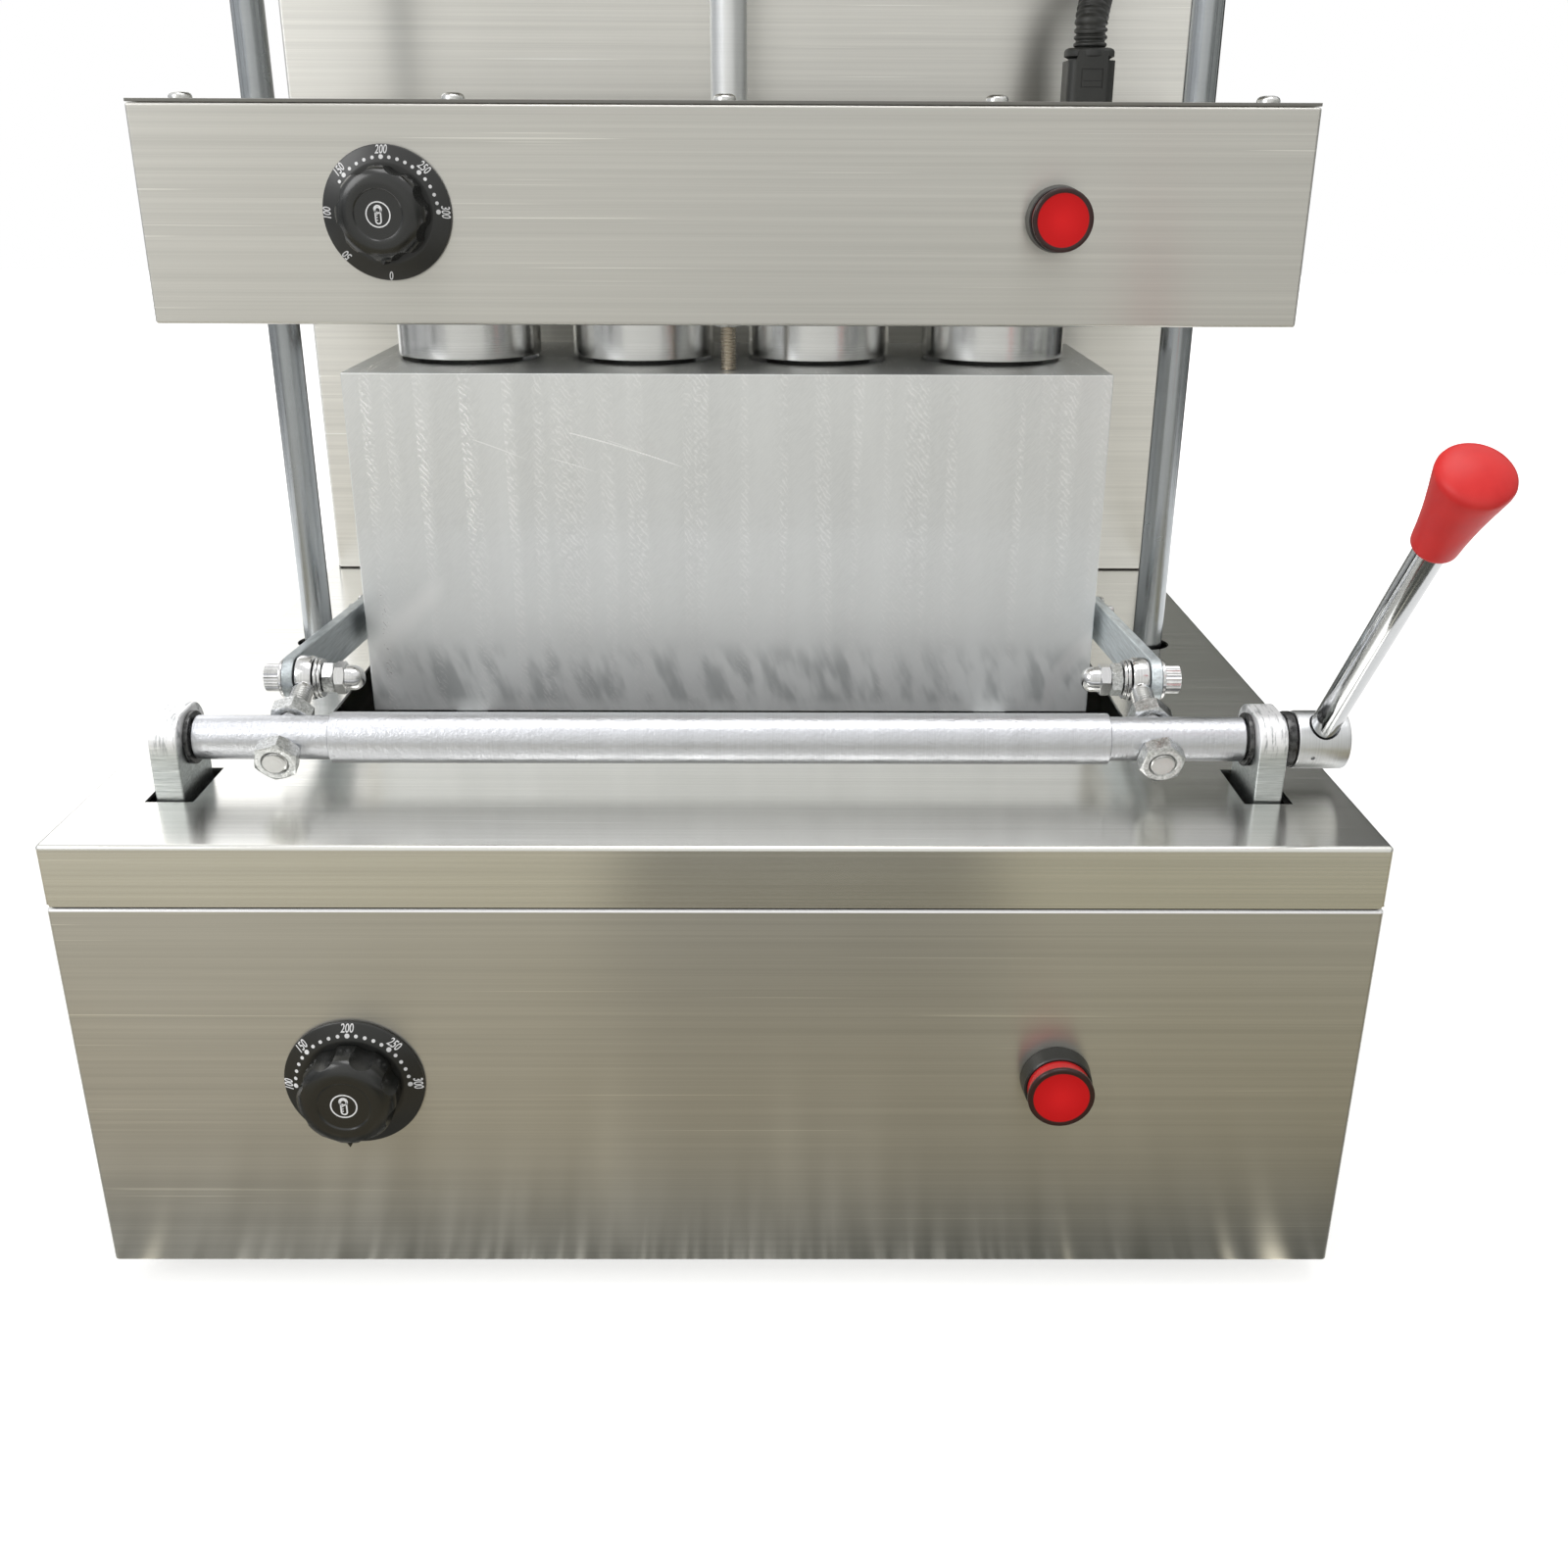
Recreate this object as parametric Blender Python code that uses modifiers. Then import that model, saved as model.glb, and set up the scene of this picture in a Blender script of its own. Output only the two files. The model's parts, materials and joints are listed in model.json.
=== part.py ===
"""Four-cone pizza press.

A heated head with four cone moulds slides on two guide rods over a split
aluminium mould block. A lever on the right turns a cross shaft, whose two
eyebolts pull the front half of the block forward through two link plates.

Metres, +Z up, the front faces -Y. The floor is at zero height, and the origin
is the middle of the footprint.
"""
import math

import bmesh
import bpy
from mathutils import Matrix, Vector

# Fits and sheet metal
FIT_GAP = 0.0003
RUN_GAP = 0.0006
OVERRUN = 0.010
SHEET = 0.0015
BEND_RADIUS = 0.002

# Base and its lid
BASE_WALL_HEIGHT = 0.173
BASE_FLANGE = 0.014
LID_SEAM = 0.0025
LID_FLANGE = 0.027
BASE_HEAD_MARGIN = 0.001
MOULD_SLOT_MARGIN = 0.0063
MOULD_SLOT_LEAD = 0.074
MOULD_SLOT_TAIL = 0.010
POST_SLOT_SIDE_GAP = 0.00425
POST_SLOT_END_GAP = 0.002
ROD_HOLE_RADIUS = 0.012
WIRE_HOLE_WIDTH = 0.120
WIRE_HOLE_DEPTH = 0.050
PAN_MARGIN = 0.0005

# Feet
FOOT_HEIGHT = 0.014
FOOT_TOP_RADIUS = 0.019
FOOT_SOLE_RADIUS = 0.016
FOOT_INSET = 0.060
FOOT_EDGE = 0.002

# Frame inside the base
FRAME_BAR_WIDTH = 0.030
FRAME_BAR_HEIGHT = 0.030
FRAME_END_GAP = 0.010
CROSS_BAR_DEPTH = 0.024
CROSS_FRONT_REACH = 0.0594
CROSS_REAR_REACH = 0.0424
RAIL_WIDTH = 0.016
RAIL_INSET = 0.0512
RAIL_END = 0.012

# Guide rods, bridge plate and bushes
ROD_RADIUS = 0.008
ROD_SIDE_GAP = 0.0448
ROD_SETBACK = 0.276
ROD_SPIGOT_RADIUS = 0.006
ROD_NUT_FLATS = 0.019
ROD_NUT_HEIGHT = 0.010
BRIDGE_END = 0.023
BRIDGE_DEPTH = 0.080
BRIDGE_THICKNESS = 0.012
BUSH_RADIUS = 0.015
BUSH_LENGTH = 0.070
BUSH_FLANGE_RADIUS = 0.022
BUSH_FLANGE_THICKNESS = 0.006

# Split mould block
BLOCK_END_WALL = 0.006
BLOCK_DEPTH = 0.1332
BLOCK_HEIGHT = 0.173
BLOCK_ABOVE_LID = 0.1556
CONE_PITCH = 0.0906
CONE_COUNT = 4
CAVITY_MOUTH_RADIUS = 0.0345
CAVITY_TIP_RADIUS = 0.0105
CAVITY_DEPTH = 0.130
DOWEL_RADIUS = 0.006
DOWEL_LENGTH = 0.055
DOWEL_HEIGHT = 0.027
HEATER_RADIUS = 0.005
HEATER_HEIGHT = 0.009
HEATER_WALL = 0.018
HEATER_END_WALL = 0.0144
HEATER_CAP_RADIUS = 0.0048
HEATER_CAP_LENGTH = 0.005

# Cone moulds
DISC_RADIUS = 0.0365
DISC_LIFT = 0.003
CONE_TOP_RADIUS = 0.0275
CONE_TIP_RADIUS = 0.006
CONE_LENGTH = 0.122
DISC_EDGE = 0.0008

# Head
HEAD_ROD_MARGIN = 0.037
HEAD_REAR_MARGIN = 0.0254
HEAD_HEIGHT = 0.0975
HEAD_FRONT_MARGIN = 0.0094
HEAD_GAP = 0.0232
HEAD_FLANGE = 0.012
COVER_OVERHANG = 0.001
HEATER_PLATE_THICKNESS = 0.020
HEATER_PLATE_MARGIN = 0.0025
STUD_RADIUS = 0.004
STUD_INSET = 0.0146
STUD_NUT_FLATS = 0.013
STUD_NUT_HEIGHT = 0.0065
HEAD_LIFT = 0.135

# Column and top housing
COLUMN_MARGIN = 0.005
COLUMN_GAP = 0.073
COLUMN_DEPTH = 0.1028
HEAD_HEADROOM = 0.0665
COLUMN_REAR_STEP = 0.0012
VENT_COUNT = 7
VENT_LENGTH = 0.160
VENT_HEIGHT = 0.004
VENT_PITCH = 0.012
VENT_RISE = 0.300
HOUSING_FORWARD = 0.015
TUBE_HEADROOM = 0.006

# Actuator
ACTUATOR_ROD_RADIUS = 0.009
ACTUATOR_ROD_REACH = 0.057
TUBE_RADIUS = 0.025
TUBE_WALL = 0.004
ROD_END_ROOM = 0.002
GEARBOX_LENGTH = 0.150
GEARBOX_DEPTH = 0.072
GEARBOX_HEIGHT = 0.032
GEARBOX_OVERHANG = 0.040
MOTOR_RADIUS = 0.030
MOTOR_HEIGHT = 0.105
MOTOR_OFFSET = 0.072
ACTUATOR_BORE_GAP = 0.001

# Cross shaft and posts
SHAFT_SETBACK = 0.0643
SHAFT_RISE = 0.022
SHAFT_CENTRE_RADIUS = 0.011
SHAFT_STEP_GAP = 0.0207
SHAFT_RADIUS = 0.0095
SHAFT_NECK_RADIUS = 0.0075
SHAFT_NECK_PROUD = 0.002
POST_SIDE_GAP = 0.0453
POST_THICKNESS = 0.012
POST_DEPTH = 0.0355

# Lever
LEVER_OFFSET = 0.0235
LEVER_ANGLE = math.radians(51)
LEVER_LENGTH = 0.1775
LEVER_ROD_RADIUS = 0.006
BOSS_RADIUS = 0.0125
BOSS_LENGTH = 0.0225
BOSS_EDGE = 0.001
BOSS_CAP = 0.004
KNOB_LENGTH = 0.042
KNOB_END_RADIUS = 0.0139
KNOB_NECK_RADIUS = 0.0085
KNOB_SOCKET = 0.024

# Eyebolts, their pins and the link plates
LINK_SPACER_THICKNESS = 0.0032
CRANK_RADIUS = 0.043
CRANK_ANGLE = math.radians(18)
EYEBOLT_RADIUS = 0.005
EYEBOLT_TAIL = 0.0188
EYE_RADIUS = 0.010
EYE_THICKNESS = 0.008
EYEBOLT_NUT_FLATS = 0.017
EYEBOLT_NUT_HEIGHT = 0.008
PIN_RADIUS = 0.004
PIN_HEAD_RADIUS = 0.0062
PIN_HEAD_HEIGHT = 0.0075
PIN_WASHER_RADIUS = 0.009
PIN_WASHER_THICKNESS = 0.0015
PIN_INNER_WASHER_THICKNESS = 0.003
PIN_NUT_FLATS = 0.013
PIN_NUT_HEIGHT = 0.0125
PIN_DOME_RADIUS = 0.0058
LINK_BOLT_INSET = 0.0326
LINK_DROP = 0.0092
LINK_HEIGHT = 0.020
LINK_THICKNESS = 0.005
LINK_OPEN_PLAY = 0.0036
LINK_BOLT_RADIUS = 0.003
LINK_BOLT_HEAD_RADIUS = 0.005
LINK_BOLT_HEAD_HEIGHT = 0.006
LINK_BOLT_WASHER_RADIUS = 0.010
LINK_BOLT_DEPTH = 0.020

# Thermostats, pilot lamps and buttons
DIAL_RADIUS = 0.0294
DIAL_THICKNESS = 0.004
DIAL_RAISED_RADIUS = 0.022
DIAL_EDGE_THICKNESS = 0.0018
BASE_DIAL_INSET = 0.1165
BASE_DIAL_HEIGHT = 0.094
HEAD_DIAL_INSET = 0.114
HEAD_DIAL_HEIGHT = 0.0495
SPINDLE_RADIUS = 0.003
SPINDLE_LENGTH = 0.014
THERMOSTAT_WIDTH = 0.036
THERMOSTAT_DEPTH = 0.026
THERMOSTAT_NECK_RADIUS = 0.005
DIAL_HOLE_RADIUS = 0.0055
KNOB_SKIRT_RADIUS = 0.0205
KNOB_GRIP_RADIUS = 0.0185
KNOB_HEIGHT = 0.021
KNOB_SKIRT_HEIGHT = 0.004
KNOB_LOBES = 8
LAMP_BEZEL_RADIUS = 0.0148
LAMP_BEZEL_THICKNESS = 0.003
LAMP_BODY_RADIUS = 0.011
LAMP_BODY_LENGTH = 0.030
LAMP_HOLE_RADIUS = 0.0113
LENS_RADIUS = 0.0131
LENS_LENGTH = 0.0125
LENS_EDGE = 0.0015
BASE_LAMP_INSET = 0.128
BASE_LAMP_HEIGHT = 0.096
HEAD_LAMP_INSET = 0.116
HEAD_LAMP_HEIGHT = 0.048
CONTROL_PLATE_WIDTH = 0.120
CONTROL_PLATE_HEIGHT = 0.056
CONTROL_PLATE_THICKNESS = 0.002
CONTROL_PLATE_RISE = 0.085
BUTTON_SPACING = 0.056
BUTTON_RADIUS = 0.010
BUTTON_PROUD = 0.006
BUTTON_LENGTH = 0.016
BUTTON_TRAVEL = 0.003
BUTTON_BEZEL_RADIUS = 0.0145
BUTTON_BEZEL_HEIGHT = 0.004
BUTTON_BODY_RADIUS = 0.0135
BUTTON_BODY_LENGTH = 0.034
BUTTON_EDGE = 0.0008

# Hose between head and column, its fittings and the mains gland
HOSE_RADIUS = 0.0087
HOSE_ROOT_RADIUS = 0.0076
HOSE_BORE_RADIUS = 0.0062
HOSE_PITCH = 0.0035
HOSE_LEVEL_END = 0.0174
FITTING_SIDE_INSET = 0.080
FITTING_REAR_INSET = 0.022
FITTING_WIDTH = 0.0244
FITTING_HEIGHT = 0.020
FITTING_COLLAR_HEIGHT = 0.004
FITTING_NOTCH = 0.002
FITTING_NOTCH_RADIUS = 0.0105
FITTING_STEM_RADIUS = 0.008
FITTING_STEM_LENGTH = 0.010
FITTING_BORE_RADIUS = 0.006
FITTING_CORNER = 0.003
COLUMN_FITTING_INSET = 0.054
COLUMN_FITTING_RISE = 0.0887
GLAND_INSET = 0.070
GLAND_HEIGHT = 0.062
GLAND_FLATS = 0.024
GLAND_HEX_HEIGHT = 0.006
GLAND_LENGTH = 0.022
GLAND_RADIUS = 0.0105
GLAND_BORE_RADIUS = 0.004
GLAND_STEM_RADIUS = 0.0096

# Facets of round pieces
FINE_STEPS = 24
ROUND_STEPS = 20
SMALL_STEPS = 12
HEX_STEPS = 6
BEND_SEGMENTS = 2
SMOOTH_ANGLE = math.radians(35)
MERGE = 0.00001

# Places worked out from the sizes above, from the mould block outwards
HALF_BLOCK = CONE_COUNT * CONE_PITCH / 2 + BLOCK_END_WALL
ROD_X = HALF_BLOCK + ROD_SIDE_GAP
POST_X = HALF_BLOCK + POST_SIDE_GAP
HALF_HEAD = ROD_X + HEAD_ROD_MARGIN
HALF_BASE = HALF_HEAD + BASE_HEAD_MARGIN
HALF_COLUMN = HALF_BASE - COLUMN_MARGIN
LEVER_X = POST_X + LEVER_OFFSET
RAIL_X = HALF_BLOCK - RAIL_INSET
BRIDGE_HALF_LENGTH = ROD_X + BRIDGE_END
HEATER_LENGTH = 2 * HALF_BLOCK - HEATER_END_WALL
BASE_DIAL_X = BASE_DIAL_INSET - HALF_BASE
BASE_LAMP_X = HALF_BASE - BASE_LAMP_INSET
HEAD_DIAL_X = HEAD_DIAL_INSET - HALF_HEAD
HEAD_LAMP_X = HALF_HEAD - HEAD_LAMP_INSET
FITTING_X = HALF_HEAD - FITTING_SIDE_INSET
COLUMN_FITTING_X = HALF_COLUMN - COLUMN_FITTING_INSET
GLAND_X = GLAND_INSET - HALF_BASE
BASE_BOTTOM = FOOT_HEIGHT
BASE_WALL_TOP = BASE_BOTTOM + BASE_WALL_HEIGHT
LID_TOP = BASE_WALL_TOP + LID_SEAM + LID_FLANGE
LID_UNDER = LID_TOP - SHEET
PAN_BOTTOM = BASE_BOTTOM + SHEET + FIT_GAP
PAN_TOP = PAN_BOTTOM + SHEET
FRAME_BOTTOM = PAN_TOP + FIT_GAP
FRAME_TOP = FRAME_BOTTOM + FRAME_BAR_HEIGHT
BLOCK_TOP = LID_TOP + BLOCK_ABOVE_LID
BLOCK_BOTTOM = BLOCK_TOP - BLOCK_HEIGHT
HEAD_BOTTOM = BLOCK_TOP + HEAD_GAP
HEAD_TOP = HEAD_BOTTOM + HEAD_HEIGHT
HEAD_WALL_TOP = HEAD_TOP - SHEET - FIT_GAP
HEATER_PLATE_BOTTOM = HEAD_BOTTOM + SHEET + FIT_GAP
HEATER_PLATE_TOP = HEATER_PLATE_BOTTOM + HEATER_PLATE_THICKNESS
COLUMN_BOTTOM = LID_TOP + FIT_GAP
COLUMN_FITTING_HEIGHT = HEAD_TOP + COLUMN_FITTING_RISE
COLUMN_TOP = HEAD_TOP + HEAD_LIFT + HEAD_HEADROOM
HOUSING_BOTTOM = COLUMN_TOP + FIT_GAP
BRIDGE_BOTTOM = HOUSING_BOTTOM + SHEET + FIT_GAP
BRIDGE_TOP = BRIDGE_BOTTOM + BRIDGE_THICKNESS
ACTUATOR_BOTTOM = BRIDGE_TOP + FIT_GAP
ACTUATOR_ROD_BOTTOM = HEATER_PLATE_TOP + FIT_GAP
ACTUATOR_ROD_TOP = HOUSING_BOTTOM + ACTUATOR_ROD_REACH
TUBE_TOP = ACTUATOR_ROD_TOP + HEAD_LIFT + ROD_END_ROOM + TUBE_WALL
HOUSING_TOP = TUBE_TOP + TUBE_HEADROOM
HOUSING_WALL_TOP = HOUSING_TOP - LID_FLANGE - LID_SEAM
SHAFT_HEIGHT = LID_TOP + SHAFT_RISE

# Front to back, the origin is midway between the lever knob's rounded end and the gland
KNOB_FORWARD = LEVER_LENGTH * math.cos(LEVER_ANGLE) + KNOB_END_RADIUS * math.sin(LEVER_ANGLE)
FRONT_REACH = KNOB_FORWARD - SHAFT_SETBACK
BASE_DEPTH = (ROD_SETBACK + BLOCK_DEPTH / 2 + HEAD_REAR_MARGIN
              + COLUMN_GAP + COLUMN_DEPTH + COLUMN_REAR_STEP)
BASE_FRONT = (FRONT_REACH - BASE_DEPTH - GLAND_LENGTH) / 2
BASE_REAR = BASE_FRONT + BASE_DEPTH
ROD_Y = BASE_FRONT + ROD_SETBACK
SHAFT_Y = BASE_FRONT + SHAFT_SETBACK
BLOCK_FRONT = ROD_Y - BLOCK_DEPTH / 2
BLOCK_REAR = ROD_Y + BLOCK_DEPTH / 2
HEAD_FRONT = BLOCK_FRONT - HEAD_FRONT_MARGIN
HEAD_REAR = BLOCK_REAR + HEAD_REAR_MARGIN
FITTING_Y = HEAD_REAR - FITTING_REAR_INSET
COLUMN_FRONT = HEAD_REAR + COLUMN_GAP
COLUMN_REAR = COLUMN_FRONT + COLUMN_DEPTH
HOUSING_FRONT = HEAD_FRONT - HOUSING_FORWARD
EYE_Y = SHAFT_Y + CRANK_RADIUS * math.cos(CRANK_ANGLE)
EYE_HEIGHT = SHAFT_HEIGHT + CRANK_RADIUS * math.sin(CRANK_ANGLE)
LINK_BOLT_Y = BLOCK_FRONT + LINK_BOLT_INSET
LINK_BOLT_HEIGHT = EYE_HEIGHT - LINK_DROP
LINK_LENGTH = math.hypot(LINK_BOLT_Y - EYE_Y, LINK_DROP)
LINK_TILT = math.asin(LINK_DROP / LINK_LENGTH)
LINK_SPACER_START = HALF_BLOCK + FIT_GAP
LINK_INNER = LINK_SPACER_START + LINK_SPACER_THICKNESS + FIT_GAP
LINK_OUTER = LINK_INNER + LINK_THICKNESS
EYE_OUTER = LINK_INNER - FIT_GAP
EYEBOLT_X = EYE_OUTER - EYE_THICKNESS / 2
SHAFT_HALF_CENTRE = EYEBOLT_X - SHAFT_STEP_GAP
CONE_X = [(index - (CONE_COUNT - 1) / 2) * CONE_PITCH for index in range(CONE_COUNT)]

# Directions that a turned piece can point, as turns of its own +Z
UP = (0, 0, 0)
TO_RIGHT = (0, math.pi / 2, 0)
TO_LEFT = (0, -math.pi / 2, 0)
TO_FRONT = (math.pi / 2, 0, 0)
TO_REAR = (-math.pi / 2, 0, 0)


def clear_scene():
    for old in list(bpy.data.objects):
        bpy.data.objects.remove(old, do_unlink=True)


def new_collection(name):
    collection = bpy.data.collections.new(name)
    bpy.context.scene.collection.children.link(collection)
    return collection


clear_scene()
PARTS = new_collection("pizza_cone_machine")
CUTTERS = new_collection("cutters")
FINISHES = {
    "brushed_steel": ((0.56, 0.54, 0.50), 0.32, 1.0),
    "milled_aluminium": ((0.62, 0.62, 0.63), 0.45, 1.0),
    "turned_aluminium": ((0.66, 0.66, 0.67), 0.28, 1.0),
    "chrome": ((0.75, 0.75, 0.76), 0.12, 1.0),
    "zinc_plate": ((0.60, 0.62, 0.64), 0.38, 1.0),
    "painted_frame": ((0.16, 0.17, 0.18), 0.55, 0.0),
    "black_rubber": ((0.02, 0.02, 0.02), 0.85, 0.0),
    "black_plastic": ((0.025, 0.025, 0.025), 0.45, 0.0),
    "hose_nylon": ((0.03, 0.03, 0.03), 0.55, 0.0),
    "red_knob": ((0.78, 0.03, 0.02), 0.42, 0.0),
    "red_lens": ((0.72, 0.01, 0.01), 0.15, 0.0),
    "green_button": ((0.05, 0.42, 0.12), 0.35, 0.0),
    "red_button": ((0.60, 0.03, 0.03), 0.35, 0.0),
    "bronze": ((0.62, 0.44, 0.20), 0.40, 1.0),
    "heater_sheath": ((0.38, 0.37, 0.35), 0.50, 1.0),
}


def finish(name):
    found = bpy.data.materials.get(name)
    if found:
        return found
    colour, roughness, metallic = FINISHES[name]
    made = bpy.data.materials.new(name)
    made.use_nodes = True
    shader = made.node_tree.nodes["Principled BSDF"]
    shader.inputs["Base Color"].default_value = (*colour, 1.0)
    shader.inputs["Roughness"].default_value = roughness
    shader.inputs["Metallic"].default_value = metallic
    return made


def body_origin(name, place):
    """An empty on a moving body's joint, which carries that body's pieces."""
    empty = bpy.data.objects.new(name, None)
    empty.location = place
    PARTS.objects.link(empty)
    return empty


BODIES = {
    "base": body_origin("base_origin", (0, 0, 0)),
    "press_head": body_origin("press_head_origin", (0, ROD_Y, HEAD_BOTTOM)),
    "front_mould": body_origin("front_mould_origin", (0, ROD_Y, BLOCK_BOTTOM)),
    "lever_shaft": body_origin("lever_shaft_origin", (0, SHAFT_Y, SHAFT_HEIGHT)),
    "link_left": body_origin("link_left_origin", (-EYE_OUTER, EYE_Y, EYE_HEIGHT)),
    "link_right": body_origin("link_right_origin", (EYE_OUTER, EYE_Y, EYE_HEIGHT)),
}


def hand_over(piece, body, colour):
    """Gives a finished piece its material, its collection and its parent."""
    piece.data.materials.append(finish(colour))
    PARTS.objects.link(piece)
    parent = BODIES[body]
    piece.parent = parent
    piece.matrix_parent_inverse = Matrix.Translation(-parent.location)
    return piece


def as_tool(piece):
    """Keeps a cutter or a joined shape out of the part itself."""
    CUTTERS.objects.link(piece)
    piece.hide_render = True
    piece.display_type = "WIRE"
    return piece


def mesh_object(name, bm, place=(0, 0, 0), turn=UP):
    mesh = bpy.data.meshes.new(name)
    bm.to_mesh(mesh)
    bm.free()
    mesh.shade_smooth()
    mesh.set_sharp_from_angle(angle=SMOOTH_ANGLE)
    made = bpy.data.objects.new(name, mesh)
    made.location = place
    made.rotation_euler = turn
    return made


def box_mesh(low, high):
    bm = bmesh.new()
    bmesh.ops.create_cube(bm, size=1)
    size = Vector(high) - Vector(low)
    bmesh.ops.scale(bm, vec=size, verts=bm.verts)
    bmesh.ops.translate(bm, vec=(Vector(high) + Vector(low)) / 2, verts=bm.verts)
    return bm


def box(name, low, high):
    return mesh_object(name, box_mesh(low, high))


def cylinder(name, radius, start, end, place, turn=UP, steps=ROUND_STEPS):
    """A cylinder from start to end along the direction that turn gives its +Z."""
    bm = bmesh.new()
    bmesh.ops.create_cone(bm, cap_ends=True, segments=steps, radius1=radius, radius2=radius,
                          depth=end - start)
    bmesh.ops.translate(bm, vec=(0, 0, (start + end) / 2), verts=bm.verts)
    return mesh_object(name, bm, place, turn)


def hexagon(name, flats, start, end, place, turn=UP):
    return cylinder(name, flats / 2 / math.cos(math.pi / HEX_STEPS), start, end, place, turn, HEX_STEPS)


def turned(name, profile, place, turn=UP, steps=ROUND_STEPS, closed=False):
    """A profile of (radius, height) points, top to bottom down the outer side, spun round its own +Z."""
    bm = bmesh.new()
    points = [bm.verts.new((radius, 0, height)) for radius, height in profile]
    for upper, lower in zip(points, points[1:]):
        bm.edges.new((upper, lower))
    if closed:
        bm.edges.new((points[-1], points[0]))
    made = mesh_object(name, bm, place, turn)
    spin = made.modifiers.new("spin", "SCREW")
    spin.axis = "Z"
    spin.angle = math.tau
    spin.steps = steps
    spin.render_steps = steps
    spin.use_merge_vertices = True
    spin.merge_threshold = MERGE
    return made


def cut(piece, *cutters):
    for cutter in cutters:
        boolean = piece.modifiers.new("cut", "BOOLEAN")
        boolean.operation = "DIFFERENCE"
        boolean.solver = "EXACT"
        boolean.object = as_tool(cutter)
    return piece


def join(piece, *others):
    for other in others:
        boolean = piece.modifiers.new("join", "BOOLEAN")
        boolean.operation = "UNION"
        boolean.solver = "EXACT"
        boolean.object = as_tool(other)
    return piece


def rim_step(bm, level, centre, inset, rise):
    """Folds the open edge at a level inwards by inset and up or down by rise."""
    rim = [edge for edge in bm.edges
           if edge.is_boundary and all(abs(vert.co.z - level) < MERGE for vert in edge.verts)]
    grown = bmesh.ops.extrude_edge_only(bm, edges=rim)
    for vert in (item for item in grown["geom"] if isinstance(item, bmesh.types.BMVert)):
        vert.co.x -= math.copysign(inset, vert.co.x - centre.x)
        vert.co.y -= math.copysign(inset, vert.co.y - centre.y)
        vert.co.z += rise
    return level + rise


def sheet_box(name, low, high, open_top=True, open_bottom=True, open_rear=False,
              top_rims=(), bottom_rims=()):
    """A folded sheet box: its bends are rounded, its open sides can carry folded rims."""
    bm = box_mesh(low, high)
    open_faces = []
    for face in bm.faces:
        if (face.normal.z > 0.5 and open_top) or (face.normal.z < -0.5 and open_bottom):
            open_faces.append(face)
        if face.normal.y > 0.5 and open_rear:
            open_faces.append(face)
    bmesh.ops.delete(bm, geom=open_faces, context="FACES")
    bends = [edge for edge in bm.edges if not edge.is_boundary]
    bmesh.ops.bevel(bm, geom=bends, offset=BEND_RADIUS, segments=BEND_SEGMENTS, profile=0.5, affect="EDGES")
    centre = (Vector(low) + Vector(high)) / 2
    level = high[2]
    for inset, rise in top_rims:
        level = rim_step(bm, level, centre, inset, rise)
    level = low[2]
    for inset, rise in bottom_rims:
        level = rim_step(bm, level, centre, inset, rise)
    made = mesh_object(name, bm)
    wall = made.modifiers.new("wall", "SOLIDIFY")
    wall.thickness = SHEET
    wall.offset = -1
    wall.use_even_offset = True
    return made


def pair(function):
    """Builds the left and the right copy of a piece that the machine has on both sides."""
    for side, sign in (("left", -1), ("right", 1)):
        function(side, sign)


def outward(sign):
    return TO_RIGHT if sign > 0 else TO_LEFT


def wire_hole(level):
    rear = COLUMN_REAR - OVERRUN
    return box("wire_hole", (-WIRE_HOLE_WIDTH / 2, rear - WIRE_HOLE_DEPTH, level - OVERRUN),
               (WIRE_HOLE_WIDTH / 2, rear, level + OVERRUN))


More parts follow.
